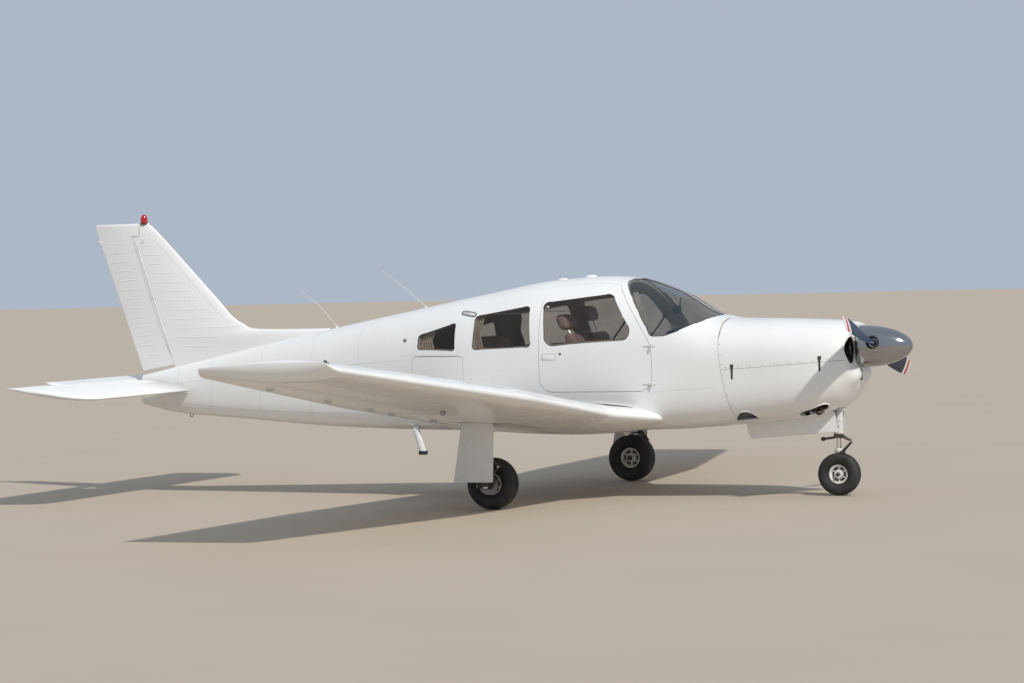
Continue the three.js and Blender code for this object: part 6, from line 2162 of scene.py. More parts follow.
def makeBulkheads():
    sides = [fuselageRing(x, 14, 96) for x in (1584, 1592)]
    plate = shadeByAngle(loft("firewallFine", sides, agedWhite))
    stiff = [[(1582, y, z) for z in np.linspace(700, 1330, 12)] for y in (-320, -160, 0, 160, 320)]
    plate = joinPieces("firewallFine", [plate, sweepPaths("ribs", stiff, 7, agedWhite, 8, 1.0)])
    dress(plate, "airframe", "bare_aluminium", "firewall")
    sides = [fuselageRing(x, 14, 96) for x in (-1294, -1286)]
    plate = shadeByAngle(loft("rearBulkheadFine", sides, linerBeige))
    dress(plate, "airframe", "tan_vinyl", "rear_bulkhead")


engine = {
    "case": ((1760, -110, 1060), (2440, 110, 1270)), "sump": ((1800, -150, 900), (2320, 150, 1066)),
    "baffle": ((2395, -386, 1096), (2400, 386, 1282)),
    # cylinders: stations, how far the banks are staggered, height, and the cooling fins
    "cylinders": (1900, 2260), "stagger": 30, "height": 1165, "fins": (135, 14, 9),
    "finProfile": [(0, 60), (0, 86), (3, 86), (3, 60), (0, 60)], "shaftHeight": 1214,
}


def makeCylinder(x, way):
    high = engine["height"]
    first, pitch, count = engine["fins"]
    parts = [shadeByAngle(rod("barrel", (x, way * 100, high), (x, way * 270, high), 66, engineGrey,
                              sides=32))]
    for k in range(count):
        spot = (x, way * (first + pitch * k), high)
        parts.append(turned("fin", spot, (0, 1, 0), engine["finProfile"], engineGrey, 28))
    head = sideBlock("head", way, (x - 84, 262, 1088), (x + 84, 352, 1242), engineGrey)
    addShaded(parts, roundEdges, head, 18, 2)
    cover = sideBlock("cover", way, (x - 60, 350, 1150), (x + 60, 384, 1225), darkSteel)
    addShaded(parts, roundEdges, cover, 12, 2)
    tube = smoothPath([(x, way * 300, 1095), (x + 10, way * 300, 980), (2150, way * 270, 860),
                       (2200, way * 240, 770)], 8)
    parts.append(sweepPaths("exhaustTube", [tube], 24, exhaustBrown, 14))
    return parts


def makeEngine():
    # crankcase, cylinders, baffle, shaft and sump, seen through the intakes
    e = engine
    parts = [shadeByAngle(roundEdges(blockOf("case", *e["case"], engineGrey), 22, 2))]
    for way in (1, -1):
        for x in e["cylinders"]:
            parts += makeCylinder(x + e["stagger"] * way, way)
    addShaded(parts, roundEdges, blockOf("baffle", *e["baffle"], darkSteel), 1, 1)
    high = e["shaftHeight"]
    profile = [(0, 50), (0, 150), (6, 154), (16, 154), (20, 150), (20, 50)]
    addShaded(parts, turned, "ringGear", (2560, 0, high), (-1, 0, 0), profile, darkSteel, 48)
    addShaded(parts, rod, "shaft", (2430, 0, high), (2598, 0, high), 48, darkSteel, sides=40)
    addShaded(parts, roundEdges, blockOf("sump", *e["sump"], engineGrey), 26, 2)
    for way in (1, -1):
        for x, foot in ((1790, 1000), (2010, 1290)):
            ends = (1594, way * 250, foot), (x, way * 100, 1110)
            addShaded(parts, rod, "mount", *ends, 11, darkSteel, 11, 14)
    dress(joinPieces("engineFine", parts), "airframe", "engine_metal", "engine_block")


# gathered cloth: rear and front end of the rail, height of the rail and of the hem
curtains = {"Rear": (-640, -540, 1535, 1232), "Aft": (-1172, -1010, 1400, 1228)}


def makeCurtains():
    # gathered cloth on rails inside the rear and aft windows
    for side, way in (("Left", 1), ("Right", -1)):
        for name, (x0, x1, top, low) in curtains.items():
            rows = []
            wide = x1 - x0
            folds, steps, levels = 6, 72, 22
            for v in np.linspace(0, 1, levels):
                pinch = 1 - 0.55 * math.exp(-((v - 0.5) / 0.22) ** 2) * (1 if name == "Rear" else 0.5)
                row = []
                for u in np.linspace(0, 1, steps):
                    x = x0 + wide * (0.5 + (u - 0.5) * pinch)
                    z = top - (top - low) * v + (0 if name == "Rear" else 30 * (u - 0.5) * (1 - v))
                    wave = 8.5 * math.sin(2 * math.pi * folds * u + 0.7 * math.sin(3 * v)) * (0.8 + 0.2 * v)
                    inset = 48 + wave
                    row.append(skinPoint(x, z, way, inset))
                rows.append(row)
            rows = np.array(rows)
            faces = loftFaces(levels, steps, False, False)
            cloth = placeMesh(f"curtain{name}{side}", rows.reshape(-1, 3), faces, curtainCloth)
            shadeByAngle(cloth, 180)
            rail = f"curtainRail{name}{side}"
            path = [skinPoint(x, top + (0 if name == "Rear" else 30 * ((x - x0) / wide - 0.5)) + 6, way, 48)
                    for x in np.linspace(x0 - 16, x1 + (500 if name == "Rear" else 160), 24)]
            bar = sweepPaths(rail, [path], 3, chrome, 8)
            dress(bar, "airframe", "bare_aluminium")
            dress(cloth, "airframe", "tan_vinyl")


makeSeats()
makeBelts()
makeInstrumentPanel()
makeGlareshield()
makeCompass()
makePostPads()
makeCarpet()
makeBulkheads()
makeEngine()
makeCurtains()
print("cabin fitted out")

# what is fixed to the skins
fittings = {
    "lampHeight": 985, "baggageLock": 745, "pianoHinge": 1197, "tailRing": -3560,
    "drains": ((560, 0), (-700, 60)), "pitot": (3300, 0.3), "handle": (85, 1174, 62, 27),
    "lock": (190, 1202, 8), "doorHinges": ((956, 1257), (971, 946)), "latches": ((1670, 1097, 976),
        (2390, 1154, 1033)), "vent": ((-753, 1572), (-609, 1519)), "disc": (-1287, 1328, 17),
    "roofBlocks": ((212, 322, 40, 22), (-40, 60, 34, 16)), "rivetPitch": 46, "rivet": (2.7, 0.7),
    "screw": (4.2, 1.2), "sealRadius": 4.0, "seamRadius": 2.4, "whips": (((-1260, 1590), (-1675, 1936)),
        ((-2111, 1479), (-2472, 1785))), "step": ((-1246, -350, 640), (-1166, -350, 384)),
}


def makeSeals():
    # rubber round every window and windscreen pane
    groups = {"airframe": [], "cabin_door": []}
    for side, way in (("left", 1), ("right", -1)):
        for name, (radius, points) in body["windows"].items():
            shape = roundedOutline(points, radius, 1)
            spots = [skinPoint(x, z, way) for x, z in shape]
            spots = [s - skinNormal(s) * 3.4 for s in spots]
            key = "cabin_door" if side == "right" and name == "front" else "airframe"
            groups[key].append(spots + spots[:1])
    for way in (1, -1):
        # the windscreen's foot, its side and the centre strip's edge
        edge = roundedOutline(body["windscreen"], 26, 1)
        edge = [p for p in edge if p[1] < 1800 and p[0] < 1440]
        gap = max(range(len(edge)), key=lambda i: np.linalg.norm(np.subtract(edge[i], edge[i - 1])))
        low = [skinPoint(x, z, way) for x, z in edge[gap:] + edge[:gap]]
        strip = [roofPoint(x, way * body["centreStrip"]) for x in np.linspace(724, 1440, 50)]
        for line in (low, strip):
            groups["airframe"].append([s - skinNormal(s) * 2.6 for s in line])
    for bodyName, paths in groups.items():
        made = sweepPaths("windowSeals_" + bodyName, paths, fittings["sealRadius"], sealBlack, 8)
        dress(made, bodyName, "tyre_rubber")


# fuselage seams: side lines as stations and heights with the sides they run on, and frames
seams = {
    "lines": [([(994, 878), (1240, 897), (1520, 916)], (-1, 1)), ([(-1290, 1200), (-760, 1207)], (-1, 1)),
              ([(-745, 1520), (-648, 1010)], (1,)), ([(-2900, 900), (-1310, 905)], (-1, 1)),
              ([(-3900, 940), (-2900, 1060), (-1310, 1160)], (-1, 1)),
              ([(-3600, 800), (-2900, 735), (-1310, 690), (-900, 672)], (-1, 1))],
    "frames": (-1760, -2240, -2760, -3280, -3640), "rivetRings": (-1286, -1314, 1120, 1360),
    "rowShift": 9, "frameShift": 10, "sideHeight": 1240,
}


def makeSeams():
    lines, rivets, outs = [], [], []
    pitch = fittings["rivetPitch"]

    def addRivet(spot, sink):
        out = skinNormal(spot)
        rivets.append(spot - out * sink)
        outs.append(out)

    for points, sides in seams["lines"]:
        for way in sides:
            lines.append(sideLine(points, way, -1.9)[0])
            for shift in (-seams["rowShift"], seams["rowShift"]):
                for x, _, z in evenAlong([(x, 0, z + shift) for x, z in points], pitch):
                    addRivet(skinPoint(x, z, way), 0.05)
    for x in seams["frames"]:
        ring = fuselageRing(x, 0, 120)
        ring = np.vstack([ring, ring[:1]])
        lines.append(ring - np.array([skinNormal(p) for p in ring]) * 2.0)
        for shift in (-seams["frameShift"], seams["frameShift"]):
            for spot in evenAlong(ring, pitch)[:-1]:
                addRivet(spot + [shift, 0, 0], 0.1)
    for x in seams["rivetRings"]:
        # the ones ahead of the door end below the windscreen
        ring = fuselageRing(x, 0, 120)
        for spot in evenAlong(np.vstack([ring, ring[:1]]), pitch)[:-1]:
            if x < 0 or spot[2] < seams["sideHeight"]:
                addRivet(spot, 0.1)
    made = sweepPaths("fuselageSeams", lines, fittings["seamRadius"], softSeam, 6)
    dress(made, "airframe", "white_paint")
    radius, height = fittings["rivet"]
    dress(setFasteners("fuselageRivets", rivets, outs, radius, height, whitePaint, 0.55, 7), "airframe",
          "white_paint")
    # screws ahead of the cowl's seam and along its split
    screws, ways = [], []
    for t in np.linspace(0.05, 0.95, 10):
        z = 1470 - 830 * t
        seam = body["cowlSeam"][::-1]
        x = float(np.interp(z, [r[1] for r in seam], [r[0] for r in seam]))
        for way in (1, -1):
            spot = skinPoint(x + 15, min(z, bodyAt(x)[0][3] - 6), way)
            screws.append(spot)
            ways.append(skinNormal(spot))
    for t in np.linspace(0.04, 0.96, 9):
        x = 1580 + 900 * t
        z = 1052 + (x - 1550) * 78 / 1238
        for way in (1, -1):
            spots, out = onSkin(cowlSkin, [(x, way * 500, z + 16)], [(0, way, 0)])
            screws += list(spots)
            ways += list(out)
    radius, height = fittings["screw"]
    dress(setFasteners("cowlScrews", screws, ways, radius, height, brushedMetal, 0.7, 10), "airframe",
          "bare_aluminium")


def wingSkinPoint(span, share, upper, way, lift=0.0):
    # a point of the wing's skin in the airframe, and the way it faces
    _, _, chord, thick, _, _ = wingSection(span)
    middle, _ = wingPoint(span, share)
    half = thick * chord * float(foilShape(share))
    local = np.array([middle[0], span, middle[2] + (half if upper else -half)])
    step = 0.012
    ahead, _ = wingPoint(span, max(share - step, 0.001))
    behind, _ = wingPoint(span, min(share + step, 0.999))
    h0 = thick * chord * float(foilShape(max(share - step, 0.001)))
    h1 = thick * chord * float(foilShape(min(share + step, 0.999)))
    sign = 1 if upper else -1
    slope = np.array([behind[0] - ahead[0], 0, (behind[2] + sign * h1) - (ahead[2] + sign * h0)])
    normal = np.array([-slope[2], 0, slope[0]]) if slope[0] > 0 else np.array([slope[2], 0, -slope[0]])
    normal /= np.linalg.norm(normal)
    normal *= sign * np.sign(normal[2] or 1)
    turn = np.array((Matrix.Diagonal((1, way, 1)) @ Matrix.Rotation(math.radians(wing["dihedral"]), 3, "X")))
    spot, out = turn @ local + [0, 0, wing["height"]], turn @ normal
    spots, outs = onSkin(wingSkins[way], [spot], [out], lift)
    if len(spots) and np.linalg.norm(spots[0] - spot) < 12 + abs(lift):
        return spots[0], outs[0]
    return spot + out * lift, out


# seams and fittings of a wing: spans in mm, places along the chord as shares of it
wingDetail = {
    "spars": ((0.13, 1060, 5200, True), (0.38, 700, 5200, True), (0.66, 700, 5200, False)),
    "ribs": (1060, 1500, 1950, 2400, 2700, 3150, 3600, 4050, 4500, 4960, 5285), "seamRibs": (1060, 2700,
        5285), "ribReach": (0.03, 0.78), "tipReach": (0.02, 0.97), "rowShift": 0.007, "cap": (1900, 0.2),
    "covers": (1350, 2250, 3380, 4280), "coverShare": 0.52, "coverRadius": 74, "tieRing": (3020, 0.36),
    "bumps": (1230, (0.045, 0.085)), "brackets": (2900, 3700, 4700, 820, 1700, 2500),
    "bracketShare": 0.79, "bracketShape": [(-26, -6), (46, -6), (38, 12), (8, 20), (-20, 17)],
    "beadPitch": 78, "beadRadius": 14, "beadSink": 12.4, "walkway": (600, 900, 0.1, 0.72),
}


def wingLine(spans, shares, upper, way, lift):
    return [wingSkinPoint(s, t, upper, way, lift)[0] for s, t in zip(spans, shares)]


def makeWingSeams(side, way):
    d = wingDetail
    pitch = fittings["rivetPitch"]
    lines, rivets, outs = [], [], []

    def addRivet(span, share, upper):
        spot, out = wingSkinPoint(span, share, upper, way, -0.05)
        rivets.append(spot)
        outs.append(out)

    for upper in (True, False):
        for share, low, high, seam in d["spars"]:
            if seam:
                lines.append(wingLine(np.linspace(low, high, 60), [share] * 60, upper, way, -1.9))
            for span in np.arange(low, high, pitch):
                for shift in (-d["rowShift"], d["rowShift"]):
                    addRivet(span, share + shift, upper)
        for span in d["ribs"]:
            start, stop = d["tipReach"] if span == d["ribs"][-1] else d["ribReach"]
            if span in d["seamRibs"]:
                lines.append(wingLine([span] * 40, np.linspace(start, stop, 40), upper, way, -1.9))
            for share in np.arange(start, stop, pitch * 1.25 / wingSection(span)[2]):
                addRivet(span, share, upper)
    seamPiece = sweepPaths("wingSeams" + side, lines, fittings["seamRadius"], softSeam, 6)
    dress(seamPiece, "airframe", "white_paint")
    heads = setFasteners("wingRivets" + side, rivets, outs, *fittings["rivet"], whitePaint, 0.55, 6)
    dress(heads, "airframe", "white_paint")


def makeWingFittings(side, way):
    # filler cap, access covers, tie-down ring, bumps under the leading edge, brackets of flap and aileron
    d = wingDetail
    parts = []
    spot, out = wingSkinPoint(*d["cap"], True, way, 0)
    profile = [(0, 44), (3, 44), (5, 41), (5.6, 20), (9, 17), (9.5, 8)]
    addShaded(parts, turned, "cap", spot - out * 3, out, profile, brushedMetal, 32)
    size = d["coverRadius"]
    for span in d["covers"]:
        spot, out = wingSkinPoint(span, d["coverShare"], False, way, 0)
        parts.append(plateOn("cover", ovalOn(spot, out, (1, 0, 0), size, size, 32), [out] * 32, 1.2,
                             whitePaint))
    spot, out = wingSkinPoint(*d["tieRing"], False, way, 0)
    ring = [
        spot + out * (14 + 15 * math.cos(a)) + np.array([1, 0, 0]) * 15 * math.sin(a)
        for a in fullTurn(25)
    ]
    parts.append(sweepPaths("tieRing", [ring], 3.6, darkSteel, 8))
    profile = [(0, 16), (3, 16), (5, 12), (5.5, 4)]
    addShaded(parts, turned, "tieBoss", spot - out * 2, out, profile, darkSteel, 20)
    span, shares = d["bumps"]
    profile = [(0, 24), (4, 23), (10, 17), (14, 8), (15, 2)]
    for share in shares:
        spot, out = wingSkinPoint(span, share, False, way, 0)
        addShaded(parts, turned, "bump", spot - out * 2, out, profile, agedWhite, 20)
    across = np.array([0, way, 0.12])
    for span in d["brackets"]:
        spot, out = wingSkinPoint(span, d["bracketShare"], False, way, 0)
        rings = [
            [spot + np.array([a, 0, 0]) + out * b + across * t for a, b in d["bracketShape"]] for t in (-5, 5)
        ]
        addShaded(parts, loft, "bracket", rings, agedWhite)
    dress(joinPieces("wingFittings" + side, parts), "airframe", "white_paint")


def makeWingDetail():
    w = wing
    for side, way in (("Left", 1), ("Right", -1)):
        makeWingSeams(side, way)
        makeWingFittings(side, way)
        # position light at the tip
        spot = wingSkinPoint(5330, 0.06, True, way, 0)[0]
        lens = turned("lens", spot - np.array([30, way * 2, 4]), (1, way * 0.55, 0.12),
                      [(0, 19), (16, 18), (30, 13), (37, 6), (39, 1)], clearLens, 24)
        bulb = turned("bulb", spot - np.array([34, way * 2, 4]), (1, way * 0.55, 0.12),
                      [(0, 8), (14, 8), (20, 4), (21, 1)], chrome, 16)
        base = turned("base", spot - np.array([38, way * 4, 6]), (1, way * 0.55, 0.12),
                      [(0, 21), (12, 21), (14, 18)], darkSteel, 24)
        centre = wingSkinPoint(5345, 0.10, True, way, 4)[0] - np.array([0, 0, 15])
        profile = [(15 - 15 * math.cos(a), 15 * math.sin(a) + 0.2) for a in np.linspace(0, math.pi, 12)]
        ball = turned("ball", centre, (0, 0, 1), profile, panelBlack, 20)
        for piece in (lens, bulb, base, ball):
            shadeByAngle(piece, 50)
        dress(joinPieces("tipLight" + side, [lens, bulb, base, ball]), "airframe", "smoked_glass")
        # ribs pressed into flap and aileron skins
        for part in ("flap", "aileron"):
            low, high, share = w[part]
            beads = []
            for span in np.arange(low + 50, high - 40, wingDetail["beadPitch"]):
                for upper in (True, False):
                    shares = np.linspace(share + 0.06, 0.955, 10)
                    beads.append(wingLine([span] * 10, shares, upper, way, -wingDetail["beadSink"]))
            beadPiece = sweepPaths(part + "Beads" + side, beads, wingDetail["beadRadius"], whitePaint, 16,
                                   0.6)
            dress(beadPiece, f"{part}_{side.lower()}", "white_paint")
    # non-slip walkway beside the cabin, on the right
    inner, outer, front, rear = wingDetail["walkway"]
    rings = []
    for share in np.linspace(front, rear, 40):
        top, under = (wingLine(np.linspace(inner, outer, 12), [share] * 12, True, -1, lift)
                      for lift in (0.9, -1.5))
        rings.append(top + under[::-1])
    dress(shadeByAngle(loft("walkway", rings, walkBlack), 30), "airframe", "tyre_rubber")


# details of fin and rudder: heights in mm, hinges as shares of the hinge line
tailDetail = {
    "rudderBeads": (1240, 2230, 13), "finBeads": (1300, 2200, 12), "beadRadius": 8, "beadSink": 6.2,
    "stripReach": (1230, 2240), "stripRadius": 9, "rivetReach": (1200, 2270, 40), "capReach": (1500, 2250),
    "hinges": (0.16, 0.52, 0.9), "light": (-4466, 0, 2240), "lens": (-3985, 2236),
    "pivotSlot": (-3700, 938, 118, 17),
}


def makeFinDetail():
    # pressed beads, rivets and the hinge strip on both sides, then the seam of the leading-edge cap
    d = tailDetail
    sink, size = -d["beadSink"], d["beadRadius"]
    a, b = tail["rudderHinge"]
    fin, rudder, finRivets, finOuts = [], [], [], []
    rows = finRows()
    lead = [(r[0], r[1]) for r in rows[1:]]
    trail = [(r[2], r[3]) for r in rows[1:]]

    def stationOn(points, z):
        return float(np.interp(z, [p[1] for p in points], [p[0] for p in points]))

    leadX = lambda z: stationOn(lead, z)
    trailX = lambda z: stationOn(trail, z)
    hingeX = lambda z: stationOn([(a[0], a[2]), (b[0], b[2])], z)
    # the rudder's beads rise a little toward the front
    for z in np.linspace(*d["rudderBeads"]):
        for way in (1, -1):
            x0, x1 = hingeX(z) - 22, trailX(z - 40) + 12
            path = [(x, way * 60, z + (x - x0) * 0.04) for x in np.linspace(x0, x1, 14)]
            rudder.append(onSkin(finSkin, path, [(0, way, 0)] * 14, sink)[0])
    for z in np.linspace(*d["finBeads"]):
        for way in (1, -1):
            x0, x1 = min(leadX(z) - 100, -3060), hingeX(z) + 74
            if x0 - x1 < 120:
                continue
            path = [(x, way * 60, z) for x in np.linspace(x0, x1, 16)]
            fin.append(onSkin(finSkin, path, [(0, way, 0)] * 16, sink)[0])
    strips = []
    for way in (1, -1):
        path = [(hingeX(z) + 50, way * 60, z) for z in np.linspace(*d["stripReach"], 30)]
        strips.append(onSkin(finSkin, path, [(0, way, 0)] * 30, -5.5)[0])
    strips = [path for path in strips if len(path) > 2]
    dress(sweepPaths("hingeStrips", strips, d["stripRadius"], tipWhite, 12), "airframe", "white_paint")
    for z in np.arange(*d["rivetReach"]):
        for way in (1, -1):
            for x in (hingeX(z) + 58, hingeX(z) + 88, leadX(z) - 78):
                if x < leadX(z) - 20 and z > 1480:
                    spots, out = onSkin(finSkin, [(x, way * 60, z)], [(0, way, 0)], -0.05)
                    finRivets += list(spots)
                    finOuts += list(out)
    dress(sweepPaths("rudderBeads", rudder, size, whitePaint, 12, 0.8), "rudder", "white_paint")
    dress(sweepPaths("finBeads", fin, size, whitePaint, 12, 0.8), "airframe", "white_paint")
    heads = setFasteners("finRivets", finRivets, finOuts, *fittings["rivet"], whitePaint, 0.55, 6)
    dress(heads, "airframe", "white_paint")
    lines = []
    for way in (1, -1):
        path = [(leadX(z) - 96, way * 60, z) for z in np.linspace(*d["capReach"], 40)]
        lines.append(onSkin(finSkin, path, [(0, way, 0)] * 40, -1.8)[0])
    lines = [path for path in lines if len(path) > 2]
    dress(sweepPaths("finSeams", lines, fittings["seamRadius"], softSeam, 6), "airframe", "white_paint")


def makeRudderHinges():
    a, b = (np.array(p, float) for p in tail["rudderHinge"])
    shape = [(40, -9), (40, 9), (-22, 12), (-30, 0), (-22, -12)]
    parts = []
    for s in tailDetail["hinges"]:
        spot = a + (b - a) * s
        rings = [[(spot[0] + p, y, spot[2] + q) for p, q in shape] for y in (-6, 6)]
        addShaded(parts, loft, "hinge", rings, darkSteel)
        for way in (1, -1):
            spots, out = onSkin(finSkin, [(spot[0] + 46, way * 60, spot[2])], [(0, way, 0)], -0.6)
            if len(spots):
                oval = ovalOn(spots[0], out[0], (1, 0, 0.2), 26, 9, 20)
                parts.append(plateOn("pad", oval, [out[0]] * 20, 1.4, agedWhite))
    dress(joinPieces("rudderHinges", parts), "airframe", "gear_steel")


def makeTailLight():
    spot = np.array(tailDetail["light"])
    profile = [(0, 15), (14, 15), (24, 11), (29, 5), (30, 1)]
    lens = shadeByAngle(turned("lens", spot + [26, 0, 0], (-1, 0, 0), profile, clearLens, 24), 60)
    profile = [(0, 17), (9, 17), (11, 14)]
    base = shadeByAngle(turned("base", spot + [34, 0, 0], (-1, 0, 0), profile, agedWhite, 24))
    dress(joinPieces("tailLight", [lens, base]), "rudder", "smoked_glass")


def makeBeacon():
    # a dome on its dark ring
    low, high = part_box("beacon")
    centre = np.array([((low.x + high.x) / 2 - axleX) * 1000, 0, low.z * 1000])
    tall = (high.z - low.z) * 1000
    dome = [(10, 28), (14, 31), (30, 32), (52, 30.5), (70, 26), (82, 18), (tall - 3, 9), (tall - 1, 1)]
    ring = turned("ring", centre, (0, 0, 1), [(0, 33), (2, 34), (10, 34), (13, 31), (13, 26)], darkSteel, 40)
    lens = turned("dome", centre, (0, 0, 1), dome, beaconRed, 40)
    turns = fullTurn(41)
    rims = [
        [centre + [r * math.cos(q), r * math.sin(q), h] for q in turns] for h, r in ((30, 31.6), (44, 31))
    ]
    ribs = sweepPaths("ribs", rims, 1.2, beaconRed, 6)
    dress(joinPieces("beaconFine", [shadeByAngle(ring), shadeByAngle(lens, 60), ribs]), "airframe",
          "beacon_red", "beacon")


def makeTailPlates():
    # the fin's small lens, and black plates at the stabilator's root slots as painted shade of the openings
    lensX, lensZ = tailDetail["lens"]
    slotX, slotZ, long, high = tailDetail["pivotSlot"]
    turns = fullTurn(29)[:-1]
    parts = []
    for way in (1, -1):
        spots, out = onSkin(finSkin, [(lensX, way * 60, lensZ)], [(0, way, 0)], 0)
        if len(spots):
            oval = ovalOn(spots[0], out[0], (1, 0, 0), 20, 15, 20)
            parts.append(plateOn("finLens", oval, [out[0]] * 20, 5, clearLens))
        # a black plate: painted shade of the slot's dark opening
        slot = [skinPoint(slotX + long * math.cos(q), slotZ + high * math.sin(q), way) for q in turns]
        parts.append(plateOn("pivotSlot", slot, [skinNormal(p) for p in slot], 0.7, sealBlack))
    dress(joinPieces("tailPlates", parts), "airframe", "panel_black")


def addDoorFittings(airParts):
    # handle, lock, hinges and window knobs; what is fixed beside the door goes to airParts
    f = fittings
    doorParts = []
    x, z, long, high = f["handle"]
    spot = skinPoint(x, z, -1)
    out = skinNormal(spot)
    outline = ovalOn(spot, out, (1, 0, 0), long, high, 40, 0.45)
    facing = [out] * 40
    doorParts.append(sweepPaths("handleRim", [np.vstack([outline, outline[:1]]) - out * 1.2], 2.4,
                                softSeam, 6))
    outline = ovalOn(spot + np.array([-6, 0, 0]), out, (1, 0, 0), long - 12, high - 9, 40, 0.5)
    doorParts.append(plateOn("handlePaddle", outline, facing, 3.2, whitePaint))
    # a dark grey oval at the paddle's end: painted shade of the gap there
    outline = ovalOn(spot + np.array([long - 12, 0, 0]), out, (1, 0, 0), 7, high - 7, 24, 0.7)
    doorParts.append(plateOn("handleGapShade", outline, [out] * 24, 0.8, seamGrey))
    x, z, radius = f["lock"]
    spot = skinPoint(x, z, -1)
    out = skinNormal(spot)
    profile = [(0, radius + 2), (3, radius + 2), (4.4, radius), (4.5, 2)]
    addShaded(doorParts, turned, "lock", spot - out * 2, out, profile, darkSteel, 24)
    hx, hy = body["doorHinge"]
    for x, z in f["doorHinges"]:
        # teardrop hinge leaves on either side of the seam, with a knuckle on the hinge line
        for start, stop, target in ((-92, -3, doorParts), (4, 26, airParts)):
            rows = []
            for t in np.linspace(0, 1, 9):
                at = 1000 + (start + (stop - start) * t)
                fat = 3 + 14 * (t if start < 0 else 1 - t) ** 0.8
                s = skinPoint(at, z, -1)
                o = skinNormal(s)
                up = np.array([0, 0, fat])
                crest = s + o * (1 + fat * 0.45)
                rows.append([s - o * 2 + up, crest + up * 0.5, crest - up * 0.5, s - o * 2 - up])
            addShaded(target, loft, "leaf", rows, agedWhite, degrees=40)
        addShaded(airParts, rod, "knuckle", (hx + 1, hy - 1, z - 16), (hx + 1, hy - 1, z + 16), 8,
                  agedWhite, sides=20)
    # small knobs on its window
    for x, z in ((60, 1592), (738, 1500)):
        s = skinPoint(x, z, -1)
        o = skinNormal(s)
        addShaded(doorParts, turned, "knob", s - o * 3, o, [(0, 9), (5, 9), (8, 6), (9, 2)], tipWhite, 16)
    dress(joinPieces("doorFittings", doorParts), "cabin_door", "bare_aluminium")


def addBaggageFittings(airParts):
    # its lock and pull, and the piano hinge above it
    bx, _, degrees = body["baggageFrame"]
    spot = skinPoint(bx, fittings["baggageLock"], -1)
    out = skinNormal(spot)
    profile = [(0, 12), (3, 12), (4.4, 10), (4.5, 2)]
    lock = shadeByAngle(turned("lock", spot - out * 2, out, profile, darkSteel, 24))
    oval = ovalOn(spot + np.array([0, 0, 46]), out, (1, 0, 0), 40, 15, 32, 0.6)
    pull = plateOn("pull", oval, [out] * 32, 2.4, agedWhite)
    dress(joinPieces("baggageFittings", [lock, pull]), "baggage_door", "bare_aluminium")
    lean = math.cos(math.radians(degrees))
    spots = [skinPoint(bx + u * lean, fittings["pianoHinge"], -1) for u in np.linspace(-190, 190, 60)]
    spots = [p + skinNormal(p) * 0.4 for p in spots]
    tubes = [spots[i:i + 2] for i in range(0, 58, 2)]
    airParts.append(sweepPaths("pianoHinge", tubes, 4.5, agedWhite, 8))


def addLatches(airParts):
    # a wide head above a narrow tongue, set in the lower cowl
    for x, top, low in fittings["latches"]:
        for way in (1, -1):
            for half, z0, z1, paint in ((15, top, top - 36, darkSteel), (9, top - 34, low, darkSteel)):
                corners = [(x - half, z0), (x + half, z0), (x + half * 0.8, z1), (x - half * 0.8, z1)]
                shape = roundedOutline(corners, 5, 0, 3)
                spots, outs = onSkin(cowlSkin, [(a, way * 540, b) for a, b in shape],
                                     [(0, way, 0)] * len(shape))
                airParts.append(plateOn("latch", spots, outs, 3.4 if half > 10 else 2.4, paint))


def addVent(airParts):
    # the black-edged vent above the rear window, and the grey disc behind it
    (x0, z0), (x1, z1) = fittings["vent"]
    along = np.array([x1 - x0, 0, z1 - z0], float)
    mid = skinPoint((x0 + x1) / 2, (z0 + z1) / 2, -1)
    out = skinNormal(mid)
    for long, high, thick, paint in ((78, 24, 2.0, sealBlack), (69, 16, 3.0, agedWhite)):
        oval = ovalOn(mid, out, along, long, high, 36, 0.55)
        airParts.append(plateOn("vent", oval, [out] * 36, thick, paint))
    along /= np.linalg.norm(along)
    up = np.cross(out, along)
    for k in range(-3, 4):
        p = mid + out * 2.6 + along * 17 * k
        airParts.append(sweepPaths("slat", [[p - up * 11, p + up * 11]], 2.2, seamGrey, 6))
    x, z, radius = fittings["disc"]
    spot = skinPoint(x, z, -1)
    out = skinNormal(spot)
    profile = [(0, radius), (3, radius), (4, radius - 3), (4.2, 3)]
    addShaded(airParts, turned, "disc", spot - out * 2, out, profile, seamGrey, 28)


def addAerials(airParts):
    # two white covers on the roof, and the whips on the deck, thinning toward their tips
    for x0, x1, half, tall in fittings["roofBlocks"]:
        rings = []
        for t in np.linspace(0, 1, 14):
            x = x0 + (x1 - x0) * t
            fat = half * math.sqrt(max(1 - (2 * t - 1) ** 2, 0.0)) + 2
            rise = tall * (1 - (2 * t - 1) ** 4) + 1
            rings.append([
                roofPoint(x, fat * math.cos(q), 3) + np.array([0, 0, rise * max(math.sin(q), 0) ** 0.7])
                for q in np.linspace(0, math.pi, 13)
            ])
        addShaded(airParts, loft, "roofBlock", rings, whitePaint, degrees=40)
    profile = [(0, 22), (5, 20), (14, 10), (24, 7)]
    for (x0, z0), (x1, z1) in fittings["whips"]:
        foot = roofPoint(x0, 0)
        base = turned("whipFoot", foot - np.array([0, 0, 4]), (-0.15, 0, 1), profile, agedWhite, 24)
        airParts.append(shadeByAngle(base, 40))
        path = smoothPath([foot + [0, 0, 14], (x0 + (x1 - x0) * 0.45, 0, z0 + (z1 - z0) * 0.5),
                           (x1, 0, z1)], 8)
        airParts.append(rod("whip", path[0], path[8], 3.4, agedWhite, 2.8, 8))
        airParts.append(rod("whip", path[8], path[-1], 2.8, agedWhite, 1.6, 8))


